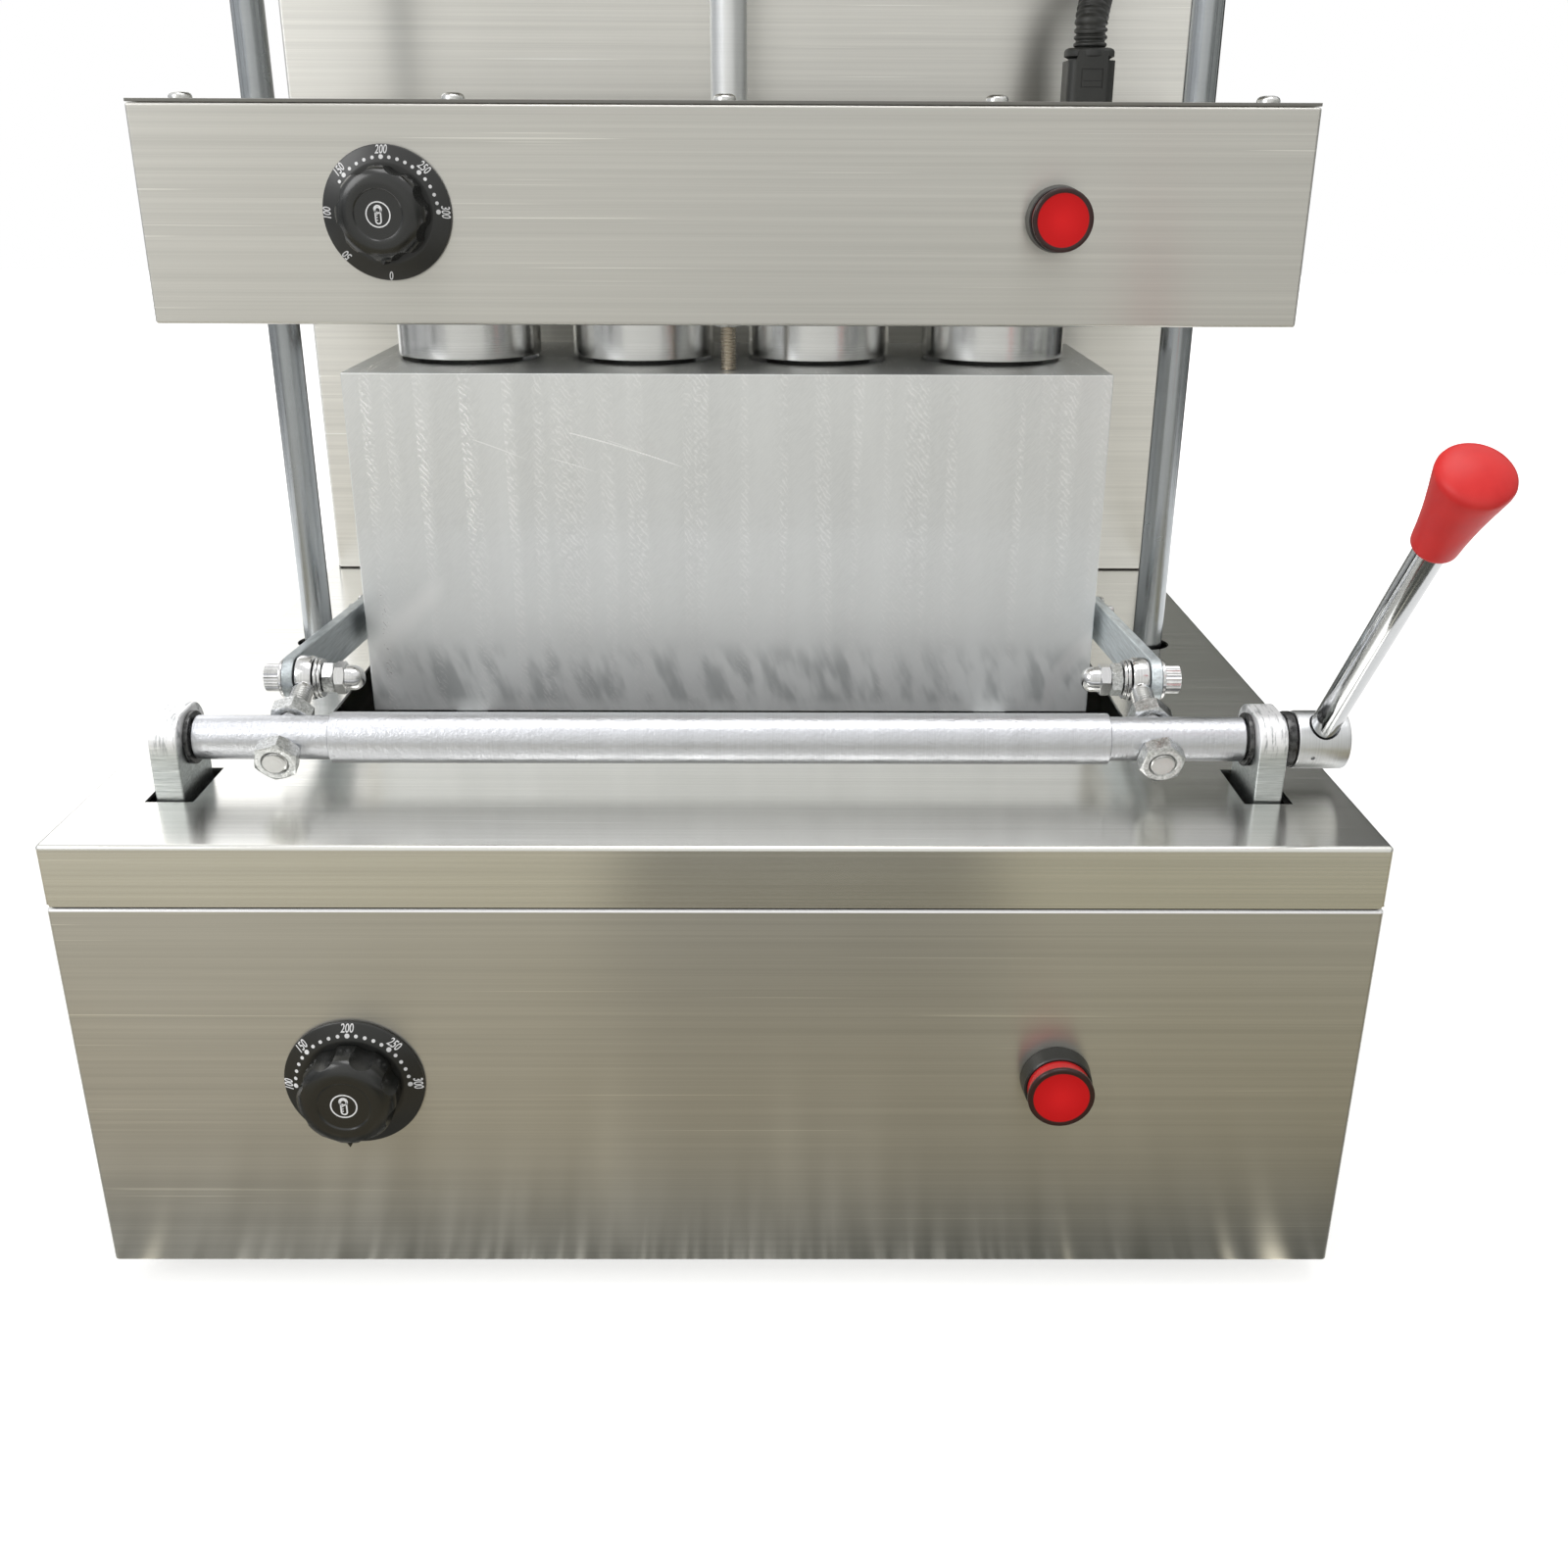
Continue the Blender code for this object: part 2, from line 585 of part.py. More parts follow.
def make_base():
    step = SHEET + FIT_GAP
    shell = sheet_box(
        "base_shell", (-HALF_BASE, BASE_FRONT, BASE_BOTTOM), (HALF_BASE, BASE_REAR, BASE_WALL_TOP),
        top_rims=((step, 0), (0, LID_UNDER - FIT_GAP - BASE_WALL_TOP)),
        bottom_rims=((BASE_FLANGE, 0),))
    dial_height = BASE_BOTTOM + BASE_DIAL_HEIGHT
    lamp_height = BASE_BOTTOM + BASE_LAMP_HEIGHT
    cut(shell,
        cylinder("base_dial_hole", DIAL_HOLE_RADIUS, -OVERRUN, OVERRUN,
                 (BASE_DIAL_X, BASE_FRONT, dial_height), TO_FRONT, SMALL_STEPS),
        cylinder("base_lamp_hole", LAMP_HOLE_RADIUS, -OVERRUN, OVERRUN,
                 (BASE_LAMP_X, BASE_FRONT, lamp_height), TO_FRONT),
        cylinder("gland_hole", GLAND_STEM_RADIUS + FIT_GAP, -OVERRUN, OVERRUN,
                 (GLAND_X, BASE_REAR, BASE_BOTTOM + GLAND_HEIGHT), TO_REAR))
    hand_over(shell, "base", "brushed_steel")

    inset = SHEET + PAN_MARGIN
    pan = box("base_pan", (inset - HALF_BASE, BASE_FRONT + inset, PAN_BOTTOM),
              (HALF_BASE - inset, BASE_REAR - inset, PAN_TOP))
    hand_over(pan, "base", "brushed_steel")

    lid = sheet_box("base_lid", (-HALF_BASE, BASE_FRONT, BASE_WALL_TOP + LID_SEAM),
                    (HALF_BASE, BASE_REAR, LID_TOP), open_top=False)
    slot_half = HALF_BLOCK + MOULD_SLOT_MARGIN
    cut(lid,
        box("mould_slot", (-slot_half, BLOCK_FRONT - MOULD_SLOT_LEAD, LID_TOP - OVERRUN),
            (slot_half, BLOCK_REAR + MOULD_SLOT_TAIL, LID_TOP + OVERRUN)),
        wire_hole(LID_TOP))
    for sign in (-1, 1):
        middle = Vector((sign * POST_X, SHAFT_Y, LID_TOP))
        reach = Vector((POST_THICKNESS / 2 + POST_SLOT_SIDE_GAP, POST_DEPTH / 2 + POST_SLOT_END_GAP, OVERRUN))
        cut(lid, box("post_slot", middle - reach, middle + reach))
        cut(lid, cylinder("rod_hole", ROD_HOLE_RADIUS, -OVERRUN, OVERRUN,
                          (sign * ROD_X, ROD_Y, LID_TOP)))
    hand_over(lid, "base", "brushed_steel")

    for row, y in (("front", BASE_FRONT + FOOT_INSET), ("rear", BASE_REAR - FOOT_INSET)):
        for side, sign in (("left", -1), ("right", 1)):
            top = PAN_BOTTOM - FIT_GAP
            profile = [(0, top), (FOOT_TOP_RADIUS, top), (FOOT_TOP_RADIUS, top - FOOT_EDGE),
                       (FOOT_SOLE_RADIUS, 0), (0, 0)]
            foot = turned(f"foot_{row}_{side}", profile, (sign * (HALF_BASE - FOOT_INSET), y, 0))
            hand_over(foot, "base", "black_rubber")


def make_frame():
    bar_half = FRAME_BAR_WIDTH / 2
    rod_x = ROD_X
    front = BASE_FRONT + FRAME_END_GAP
    rear = BASE_REAR - FRAME_END_GAP
    frame = box("main_frame", (-rod_x - bar_half, front, FRAME_BOTTOM), (bar_half - rod_x, rear, FRAME_TOP))
    join(frame, box("right_bar", (rod_x - bar_half, front, FRAME_BOTTOM), (rod_x + bar_half, rear, FRAME_TOP)))
    cross_front = BLOCK_FRONT - CROSS_FRONT_REACH
    cross_rear = BLOCK_REAR + CROSS_REAR_REACH
    for y in (cross_front, cross_rear):
        join(frame, box("cross_bar", (-rod_x, y - CROSS_BAR_DEPTH / 2, FRAME_BOTTOM),
                        (rod_x, y + CROSS_BAR_DEPTH / 2, FRAME_TOP)))
    for sign in (-1, 1):
        middle = sign * RAIL_X
        join(frame, box("rail", (middle - RAIL_WIDTH / 2, cross_front - RAIL_END, FRAME_BOTTOM),
                        (middle + RAIL_WIDTH / 2, cross_rear + RAIL_END, BLOCK_BOTTOM - FIT_GAP)))
    hand_over(frame, "base", "painted_frame")


def make_guide(side, sign):
    place = (sign * ROD_X, ROD_Y, 0)
    bottom = FRAME_TOP + FIT_GAP
    shoulder = BRIDGE_BOTTOM - FIT_GAP
    nut_bottom = BRIDGE_TOP + FIT_GAP
    nut_top = nut_bottom + ROD_NUT_HEIGHT
    profile = [(0, nut_top), (ROD_SPIGOT_RADIUS, nut_top), (ROD_SPIGOT_RADIUS, shoulder),
               (ROD_RADIUS, shoulder), (ROD_RADIUS, bottom), (0, bottom)]
    rod = turned(f"guide_rod_{side}", profile, place)
    join(rod, hexagon("rod_nut", ROD_NUT_FLATS, nut_bottom, nut_top, place))
    hand_over(rod, "base", "chrome")

    flange_bottom = HEATER_PLATE_TOP + FIT_GAP
    flange_top = flange_bottom + BUSH_FLANGE_THICKNESS
    bush_bottom = HEATER_PLATE_BOTTOM + FIT_GAP
    bush_top = bush_bottom + BUSH_LENGTH
    bore = ROD_RADIUS + FIT_GAP
    profile = [(bore, bush_top), (BUSH_RADIUS, bush_top), (BUSH_RADIUS, flange_top),
               (BUSH_FLANGE_RADIUS, flange_top), (BUSH_FLANGE_RADIUS, flange_bottom),
               (BUSH_RADIUS, flange_bottom), (BUSH_RADIUS, bush_bottom), (bore, bush_bottom)]
    bush = turned(f"guide_bush_{side}", profile, place, closed=True)
    hand_over(bush, "press_head", "bronze")


def cavity_cutter(x):
    top = BLOCK_TOP
    slope = (CAVITY_MOUTH_RADIUS - CAVITY_TIP_RADIUS) / CAVITY_DEPTH
    profile = [(0, top + OVERRUN), (CAVITY_MOUTH_RADIUS + slope * OVERRUN, top + OVERRUN),
               (CAVITY_TIP_RADIUS, top - CAVITY_DEPTH), (0, top - CAVITY_DEPTH)]
    return turned("cavity", profile, (x, ROD_Y, 0))


def make_mould_half(name, body, front, rear, heater_y):
    half = box(name, (-HALF_BLOCK, front, BLOCK_BOTTOM), (HALF_BLOCK, rear, BLOCK_TOP))
    for x in CONE_X:
        cut(half, cavity_cutter(x))
    heater_height = BLOCK_BOTTOM + HEATER_HEIGHT
    side = HALF_BLOCK
    cut(half, cylinder("heater_bore", HEATER_RADIUS + FIT_GAP, FIT_GAP - HEATER_LENGTH, OVERRUN,
                       (side, heater_y, heater_height), TO_RIGHT, SMALL_STEPS))
    heater = cylinder(name.replace("mould", "heater"), HEATER_RADIUS, RUN_GAP - HEATER_LENGTH, 0,
                      (side, heater_y, heater_height), TO_RIGHT, SMALL_STEPS)
    join(heater, cylinder("heater_cap", HEATER_CAP_RADIUS, -FIT_GAP, HEATER_CAP_LENGTH,
                          (side, heater_y, heater_height), TO_RIGHT, SMALL_STEPS))
    hand_over(heater, body, "heater_sheath")
    return half


def make_mould():
    split_front = ROD_Y - FIT_GAP / 2
    split_rear = ROD_Y + FIT_GAP / 2
    dowels = [(sign * CONE_PITCH, split_rear, BLOCK_BOTTOM + DOWEL_HEIGHT) for sign in (-1, 1)]

    front = make_mould_half("front_mould", "front_mould", BLOCK_FRONT, split_front, BLOCK_FRONT + HEATER_WALL)
    for place in dowels:
        cut(front, cylinder("dowel_bore", DOWEL_RADIUS + FIT_GAP, -OVERRUN, DOWEL_LENGTH + RUN_GAP,
                            place, TO_FRONT, SMALL_STEPS))
    for sign in (-1, 1):
        cut(front, cylinder("link_bolt_bore", LINK_BOLT_RADIUS + FIT_GAP, -LINK_BOLT_DEPTH - RUN_GAP, OVERRUN,
                            (sign * HALF_BLOCK, LINK_BOLT_Y, LINK_BOLT_HEIGHT), outward(sign), SMALL_STEPS))
    hand_over(front, "front_mould", "milled_aluminium")

    rear = make_mould_half("rear_mould", "base", split_rear, BLOCK_REAR, BLOCK_REAR - HEATER_WALL)
    for place in dowels:
        join(rear, cylinder("dowel", DOWEL_RADIUS, -OVERRUN, DOWEL_LENGTH, place, TO_FRONT, SMALL_STEPS))
    hand_over(rear, "base", "milled_aluminium")


def make_link_bolt(side, sign):
    """The bolt that pulls the front mould, with spacer and washer, measured outwards from the middle."""
    face = LINK_SPACER_START
    spacer_end = LINK_INNER - FIT_GAP
    washer_start = LINK_OUTER + FIT_GAP
    washer_end = washer_start + PIN_WASHER_THICKNESS
    head_end = washer_end + LINK_BOLT_HEAD_HEIGHT
    tip = HALF_BLOCK - LINK_BOLT_DEPTH
    profile = [(0, head_end), (LINK_BOLT_HEAD_RADIUS, head_end), (LINK_BOLT_HEAD_RADIUS, washer_end),
               (LINK_BOLT_WASHER_RADIUS, washer_end), (LINK_BOLT_WASHER_RADIUS, washer_start),
               (LINK_BOLT_RADIUS, washer_start), (LINK_BOLT_RADIUS, spacer_end),
               (LINK_BOLT_WASHER_RADIUS, spacer_end), (LINK_BOLT_WASHER_RADIUS, face),
               (LINK_BOLT_RADIUS, face), (LINK_BOLT_RADIUS, tip), (0, tip)]
    bolt = turned(f"link_bolt_{side}", profile, (0, LINK_BOLT_Y, LINK_BOLT_HEIGHT), outward(sign))
    hand_over(bolt, "front_mould", "zinc_plate")


def make_post(side, sign):
    middle = sign * POST_X
    half = POST_THICKNESS / 2
    post = box(f"shaft_post_{side}", (middle - half, SHAFT_Y - POST_DEPTH / 2, FRAME_TOP + FIT_GAP),
               (middle + half, SHAFT_Y + POST_DEPTH / 2, SHAFT_HEIGHT))
    join(post, cylinder("post_crown", POST_DEPTH / 2, -half, half,
                        (middle, SHAFT_Y, SHAFT_HEIGHT), TO_RIGHT, FINE_STEPS))
    cut(post, cylinder("post_bore", SHAFT_NECK_RADIUS + FIT_GAP, -OVERRUN, OVERRUN,
                       (middle, SHAFT_Y, SHAFT_HEIGHT), TO_RIGHT))
    hand_over(post, "base", "zinc_plate")


def crank_turn():
    """The turn that points a piece's +Z along the eyebolts, up and to the rear."""
    return (CRANK_ANGLE - math.pi / 2, 0, 0)


def make_shaft():
    axis = (0, SHAFT_Y, SHAFT_HEIGHT)
    post_inner = POST_X - POST_THICKNESS / 2 - RUN_GAP
    post_outer = POST_X + POST_THICKNESS / 2
    left_end = -post_outer - SHAFT_NECK_PROUD
    right_end = LEVER_X + BOSS_LENGTH / 2 - BOSS_CAP
    centre = SHAFT_HALF_CENTRE
    profile = [(0, right_end), (SHAFT_NECK_RADIUS, right_end), (SHAFT_NECK_RADIUS, post_inner),
               (SHAFT_RADIUS, post_inner), (SHAFT_RADIUS, centre), (SHAFT_CENTRE_RADIUS, centre),
               (SHAFT_CENTRE_RADIUS, -centre), (SHAFT_RADIUS, -centre), (SHAFT_RADIUS, -post_inner),
               (SHAFT_NECK_RADIUS, -post_inner), (SHAFT_NECK_RADIUS, left_end), (0, left_end)]
    shaft = turned("cross_shaft", profile, axis, TO_RIGHT)
    for sign in (-1, 1):
        cut(shaft, cylinder("eyebolt_hole", EYEBOLT_RADIUS + FIT_GAP, -SHAFT_RADIUS - OVERRUN,
                            SHAFT_RADIUS + OVERRUN, (sign * EYEBOLT_X, SHAFT_Y, SHAFT_HEIGHT),
                            crank_turn(), SMALL_STEPS))
    hand_over(shaft, "lever_shaft", "zinc_plate")


def make_lever():
    """The boss, rod and knob, with the rod's heights measured from the shaft's axis."""
    place = (LEVER_X, SHAFT_Y, SHAFT_HEIGHT)
    along = (math.pi / 2 - LEVER_ANGLE, 0, 0)
    half = BOSS_LENGTH / 2
    profile = [(0, half), (BOSS_RADIUS - BOSS_EDGE, half), (BOSS_RADIUS, half - BOSS_EDGE),
               (BOSS_RADIUS, BOSS_EDGE - half), (BOSS_RADIUS - BOSS_EDGE, -half), (0, -half)]
    boss = turned("lever_boss", profile, place, TO_RIGHT, FINE_STEPS)
    cut(boss,
        cylinder("boss_bore", SHAFT_NECK_RADIUS + FIT_GAP, -half - OVERRUN, half - BOSS_CAP + FIT_GAP,
                 place, TO_RIGHT),
        cylinder("lever_hole", LEVER_ROD_RADIUS + FIT_GAP, 0, BOSS_RADIUS + OVERRUN, place, along))
    hand_over(boss, "lever_shaft", "zinc_plate")

    knob_foot = LEVER_LENGTH - KNOB_LENGTH
    rod = cylinder("lever_rod", LEVER_ROD_RADIUS, SHAFT_NECK_RADIUS + RUN_GAP,
                   knob_foot + KNOB_SOCKET - FIT_GAP, place, along)
    hand_over(rod, "lever_shaft", "chrome")

    end_shares = ((0.0, 1.0), (0.80, 1.0), (0.93, 0.985), (1.0, 0.93))
    flank_shares = ((0.985, 0.82), (0.93, 0.70), (0.75, 0.48), (0.42, 0.26), (0.16, 0.10), (0.0, 0.0))
    flare = KNOB_END_RADIUS - KNOB_NECK_RADIUS
    bore = LEVER_ROD_RADIUS + FIT_GAP
    profile = [(KNOB_END_RADIUS * out, knob_foot + KNOB_LENGTH * up) for out, up in end_shares]
    profile += [(KNOB_NECK_RADIUS + flare * out, knob_foot + KNOB_LENGTH * up) for out, up in flank_shares]
    profile += [(bore, knob_foot), (bore, knob_foot + KNOB_SOCKET), (0, knob_foot + KNOB_SOCKET)]
    knob = turned("lever_knob", profile, place, along, FINE_STEPS)
    hand_over(knob, "lever_shaft", "red_knob")


def make_eyebolt(side, sign):
    """The eyebolt through the shaft with its two nuts, its pin stack and the link plate."""
    place = (sign * EYEBOLT_X, SHAFT_Y, SHAFT_HEIGHT)
    seat = SHAFT_RADIUS + FIT_GAP
    shank_end = CRANK_RADIUS - LINK_HEIGHT / 2 - RUN_GAP
    bolt = cylinder(f"eyebolt_{side}", EYEBOLT_RADIUS, -EYEBOLT_TAIL, shank_end, place,
                    crank_turn(), SMALL_STEPS)
    join(bolt,
         cylinder("neck", EYE_THICKNESS / 2, shank_end - EYE_THICKNESS, CRANK_RADIUS - PIN_RADIUS,
                  place, crank_turn(), SMALL_STEPS),
         hexagon("rear_nut", EYEBOLT_NUT_FLATS, seat, seat + EYEBOLT_NUT_HEIGHT, place, crank_turn()),
         hexagon("front_nut", EYEBOLT_NUT_FLATS, -seat - EYEBOLT_NUT_HEIGHT, -seat, place, crank_turn()),
         cylinder("eye", EYE_RADIUS, -EYE_THICKNESS / 2, EYE_THICKNESS / 2,
                  (place[0], EYE_Y, EYE_HEIGHT), TO_RIGHT))
    cut(bolt, cylinder("eye_bore", PIN_RADIUS + FIT_GAP, -OVERRUN, OVERRUN,
                       (place[0], EYE_Y, EYE_HEIGHT), TO_RIGHT, SMALL_STEPS))
    hand_over(bolt, "lever_shaft", "zinc_plate")

    pin_place = (0, EYE_Y, EYE_HEIGHT)
    washer_start = LINK_OUTER + FIT_GAP
    head_start = washer_start + PIN_WASHER_THICKNESS
    head_end = head_start + PIN_HEAD_HEIGHT
    inner_start = EYEBOLT_X - EYE_THICKNESS / 2 - FIT_GAP
    inner_end = inner_start - PIN_INNER_WASHER_THICKNESS
    nut_end = inner_end - PIN_NUT_HEIGHT
    dome = [(PIN_DOME_RADIUS * math.cos(angle), nut_end - PIN_DOME_RADIUS * math.sin(angle))
            for angle in (0, math.pi / 4)]
    profile = [(0, head_end), (PIN_HEAD_RADIUS, head_end), (PIN_HEAD_RADIUS, head_start),
               (PIN_WASHER_RADIUS, head_start), (PIN_WASHER_RADIUS, washer_start), (PIN_RADIUS, washer_start),
               (PIN_RADIUS, inner_start), (PIN_WASHER_RADIUS, inner_start), (PIN_WASHER_RADIUS, inner_end),
               (PIN_DOME_RADIUS, inner_end)] + dome + [(0, nut_end - PIN_DOME_RADIUS)]
    pin = turned(f"eye_pin_{side}", profile, pin_place, outward(sign), SMALL_STEPS)
    join(pin, hexagon("pin_nut", PIN_NUT_FLATS, nut_end, inner_end, pin_place, outward(sign)))
    hand_over(pin, "lever_shaft", "chrome")


def link_outline(radius, centre, start, end, steps):
    return [(centre + radius * math.cos(start + (end - start) * step / steps),
             radius * math.sin(start + (end - start) * step / steps)) for step in range(steps + 1)]


def add_ring(curve, points):
    spline = curve.splines.new("POLY")
    spline.points.add(len(points) - 1)
    for point, (u, v) in zip(spline.points, points):
        point.co = (u, v, 0, 1)
    spline.use_cyclic_u = True


def make_link(side, sign):
    """A flat bar with round ends; its rear hole is wide, because that pivot is the open one."""
    curve = bpy.data.curves.new(f"link_{side}_outline", "CURVE")
    curve.dimensions = "2D"
    curve.fill_mode = "BOTH"
    curve.extrude = LINK_THICKNESS / 2
    round_end = LINK_HEIGHT / 2
    quarter = math.pi / 2
    half_steps = SMALL_STEPS // 2
    add_ring(curve, link_outline(round_end, 0, quarter, 3 * quarter, half_steps)
             + link_outline(round_end, LINK_LENGTH, -quarter, quarter, half_steps))
    add_ring(curve, link_outline(PIN_RADIUS + FIT_GAP, 0, 0, math.tau, SMALL_STEPS)[:-1])
    add_ring(curve, link_outline(LINK_BOLT_RADIUS + LINK_OPEN_PLAY, LINK_LENGTH, 0, math.tau,
                                 ROUND_STEPS)[:-1])
    flat = bpy.data.objects.new(f"link_{side}_flat", curve)
    bpy.context.scene.collection.objects.link(flat)
    bpy.context.view_layer.update()
    mesh = bpy.data.meshes.new_from_object(flat.evaluated_get(bpy.context.evaluated_depsgraph_get()))
    bm = bmesh.new()
    bm.from_mesh(mesh)
    bmesh.ops.remove_doubles(bm, verts=bm.verts, dist=MERGE)
    bpy.data.objects.remove(flat, do_unlink=True)
    middle = sign * (LINK_INNER + LINK_THICKNESS / 2)
    link = mesh_object(f"link_{side}", bm, (middle, EYE_Y, EYE_HEIGHT))
    link.matrix_world = (Matrix.Translation((middle, EYE_Y, EYE_HEIGHT))
                         @ Matrix.Rotation(-LINK_TILT, 4, "X")
                         @ Matrix.Rotation(math.pi / 2, 4, "Z") @ Matrix.Rotation(math.pi / 2, 4, "X"))
    hand_over(link, f"link_{side}", "zinc_plate")


def make_head():
    half = HALF_HEAD
    shell = sheet_box("head_shell", (-half, HEAD_FRONT, HEAD_BOTTOM), (half, HEAD_REAR, HEAD_WALL_TOP),
                      top_rims=((HEAD_FLANGE, 0),), bottom_rims=((HEAD_FLANGE, 0),))
    cut(shell,
        cylinder("head_dial_hole", DIAL_HOLE_RADIUS, -OVERRUN, OVERRUN,
                 (HEAD_DIAL_X, HEAD_FRONT, HEAD_BOTTOM + HEAD_DIAL_HEIGHT), TO_FRONT, SMALL_STEPS),
        cylinder("head_lamp_hole", LAMP_HOLE_RADIUS, -OVERRUN, OVERRUN,
                 (HEAD_LAMP_X, HEAD_FRONT, HEAD_BOTTOM + HEAD_LAMP_HEIGHT), TO_FRONT))
    hand_over(shell, "press_head", "brushed_steel")

    over = COVER_OVERHANG
    cover = box("head_cover", (-half - over, HEAD_FRONT - over, HEAD_TOP - SHEET),
                (half + over, HEAD_REAR + over, HEAD_TOP))
    for sign in (-1, 1):
        cut(cover, cylinder("cover_rod_hole", ROD_RADIUS + ACTUATOR_BORE_GAP, -OVERRUN, OVERRUN,
                            (sign * ROD_X, ROD_Y, HEAD_TOP)))
    cut(cover,
        cylinder("cover_actuator_hole", ACTUATOR_ROD_RADIUS + FIT_GAP, -OVERRUN, OVERRUN,
                 (0, ROD_Y, HEAD_TOP)),
        cylinder("cover_hose_hole", FITTING_STEM_RADIUS + FIT_GAP, -OVERRUN, OVERRUN,
                 (FITTING_X, FITTING_Y, HEAD_TOP)))
    hand_over(cover, "press_head", "brushed_steel")

    inset = SHEET + HEATER_PLATE_MARGIN
    plate = box("head_heater_plate", (inset - half, HEAD_FRONT + inset, HEATER_PLATE_BOTTOM),
                (half - inset, HEAD_REAR - inset, HEATER_PLATE_TOP))
    for sign in (-1, 1):
        cut(plate, cylinder("bush_bore", BUSH_RADIUS + FIT_GAP, -OVERRUN, HEATER_PLATE_THICKNESS + OVERRUN,
                            (sign * ROD_X, ROD_Y, HEATER_PLATE_BOTTOM)))
    hand_over(plate, "press_head", "milled_aluminium")

    disc_bottom = BLOCK_TOP + DISC_LIFT
    disc_top = HEATER_PLATE_BOTTOM - FIT_GAP
    tip = disc_bottom - CONE_LENGTH
    profile = [(0, disc_top), (DISC_RADIUS, disc_top), (DISC_RADIUS, disc_bottom + DISC_EDGE),
               (DISC_RADIUS - DISC_EDGE, disc_bottom), (CONE_TOP_RADIUS, disc_bottom),
               (CONE_TIP_RADIUS, tip + CONE_TIP_RADIUS / 2), (CONE_TIP_RADIUS / 2, tip), (0, tip)]
    for number, x in enumerate(CONE_X, start=1):
        hand_over(turned(f"cone_mould_{number}", profile, (x, ROD_Y, 0), steps=FINE_STEPS),
                  "press_head", "turned_aluminium")

    place = (0, BLOCK_FRONT + STUD_INSET, 0)
    stud_top = HEATER_PLATE_BOTTOM - FIT_GAP
    stud = cylinder("stop_stud", STUD_RADIUS, BLOCK_TOP + FIT_GAP, stud_top, place, steps=SMALL_STEPS)
    join(stud, hexagon("stud_nut", STUD_NUT_FLATS, stud_top - STUD_NUT_HEIGHT, stud_top, place))
    hand_over(stud, "press_head", "zinc_plate")

    rod = cylinder("actuator_rod", ACTUATOR_ROD_RADIUS, ACTUATOR_ROD_BOTTOM, ACTUATOR_ROD_TOP, (0, ROD_Y, 0))
    hand_over(rod, "press_head", "chrome")


def make_column():
    half = HALF_COLUMN
    inner_rear = COLUMN_REAR - SHEET - FIT_GAP
    shell = sheet_box("column_shell", (-half, COLUMN_FRONT, COLUMN_BOTTOM), (half, inner_rear, COLUMN_TOP),
                      open_rear=True)
    cut(shell, cylinder("column_hose_hole", FITTING_STEM_RADIUS + FIT_GAP, -OVERRUN, OVERRUN,
                        (COLUMN_FITTING_X, COLUMN_FRONT, COLUMN_FITTING_HEIGHT), TO_FRONT))
    hand_over(shell, "base", "brushed_steel")

    cover = box("column_rear_cover", (-half, COLUMN_REAR - SHEET, COLUMN_BOTTOM),
                (half, COLUMN_REAR, COLUMN_TOP))
    for number in range(VENT_COUNT):
        low = COLUMN_BOTTOM + VENT_RISE + number * VENT_PITCH
        for sign in (-1, 1):
            middle = sign * HALF_COLUMN / 2
            cut(cover, box("vent", (middle - VENT_LENGTH / 2, COLUMN_REAR - OVERRUN, low),
                           (middle + VENT_LENGTH / 2, COLUMN_REAR + OVERRUN, low + VENT_HEIGHT)))
    hand_over(cover, "base", "brushed_steel")


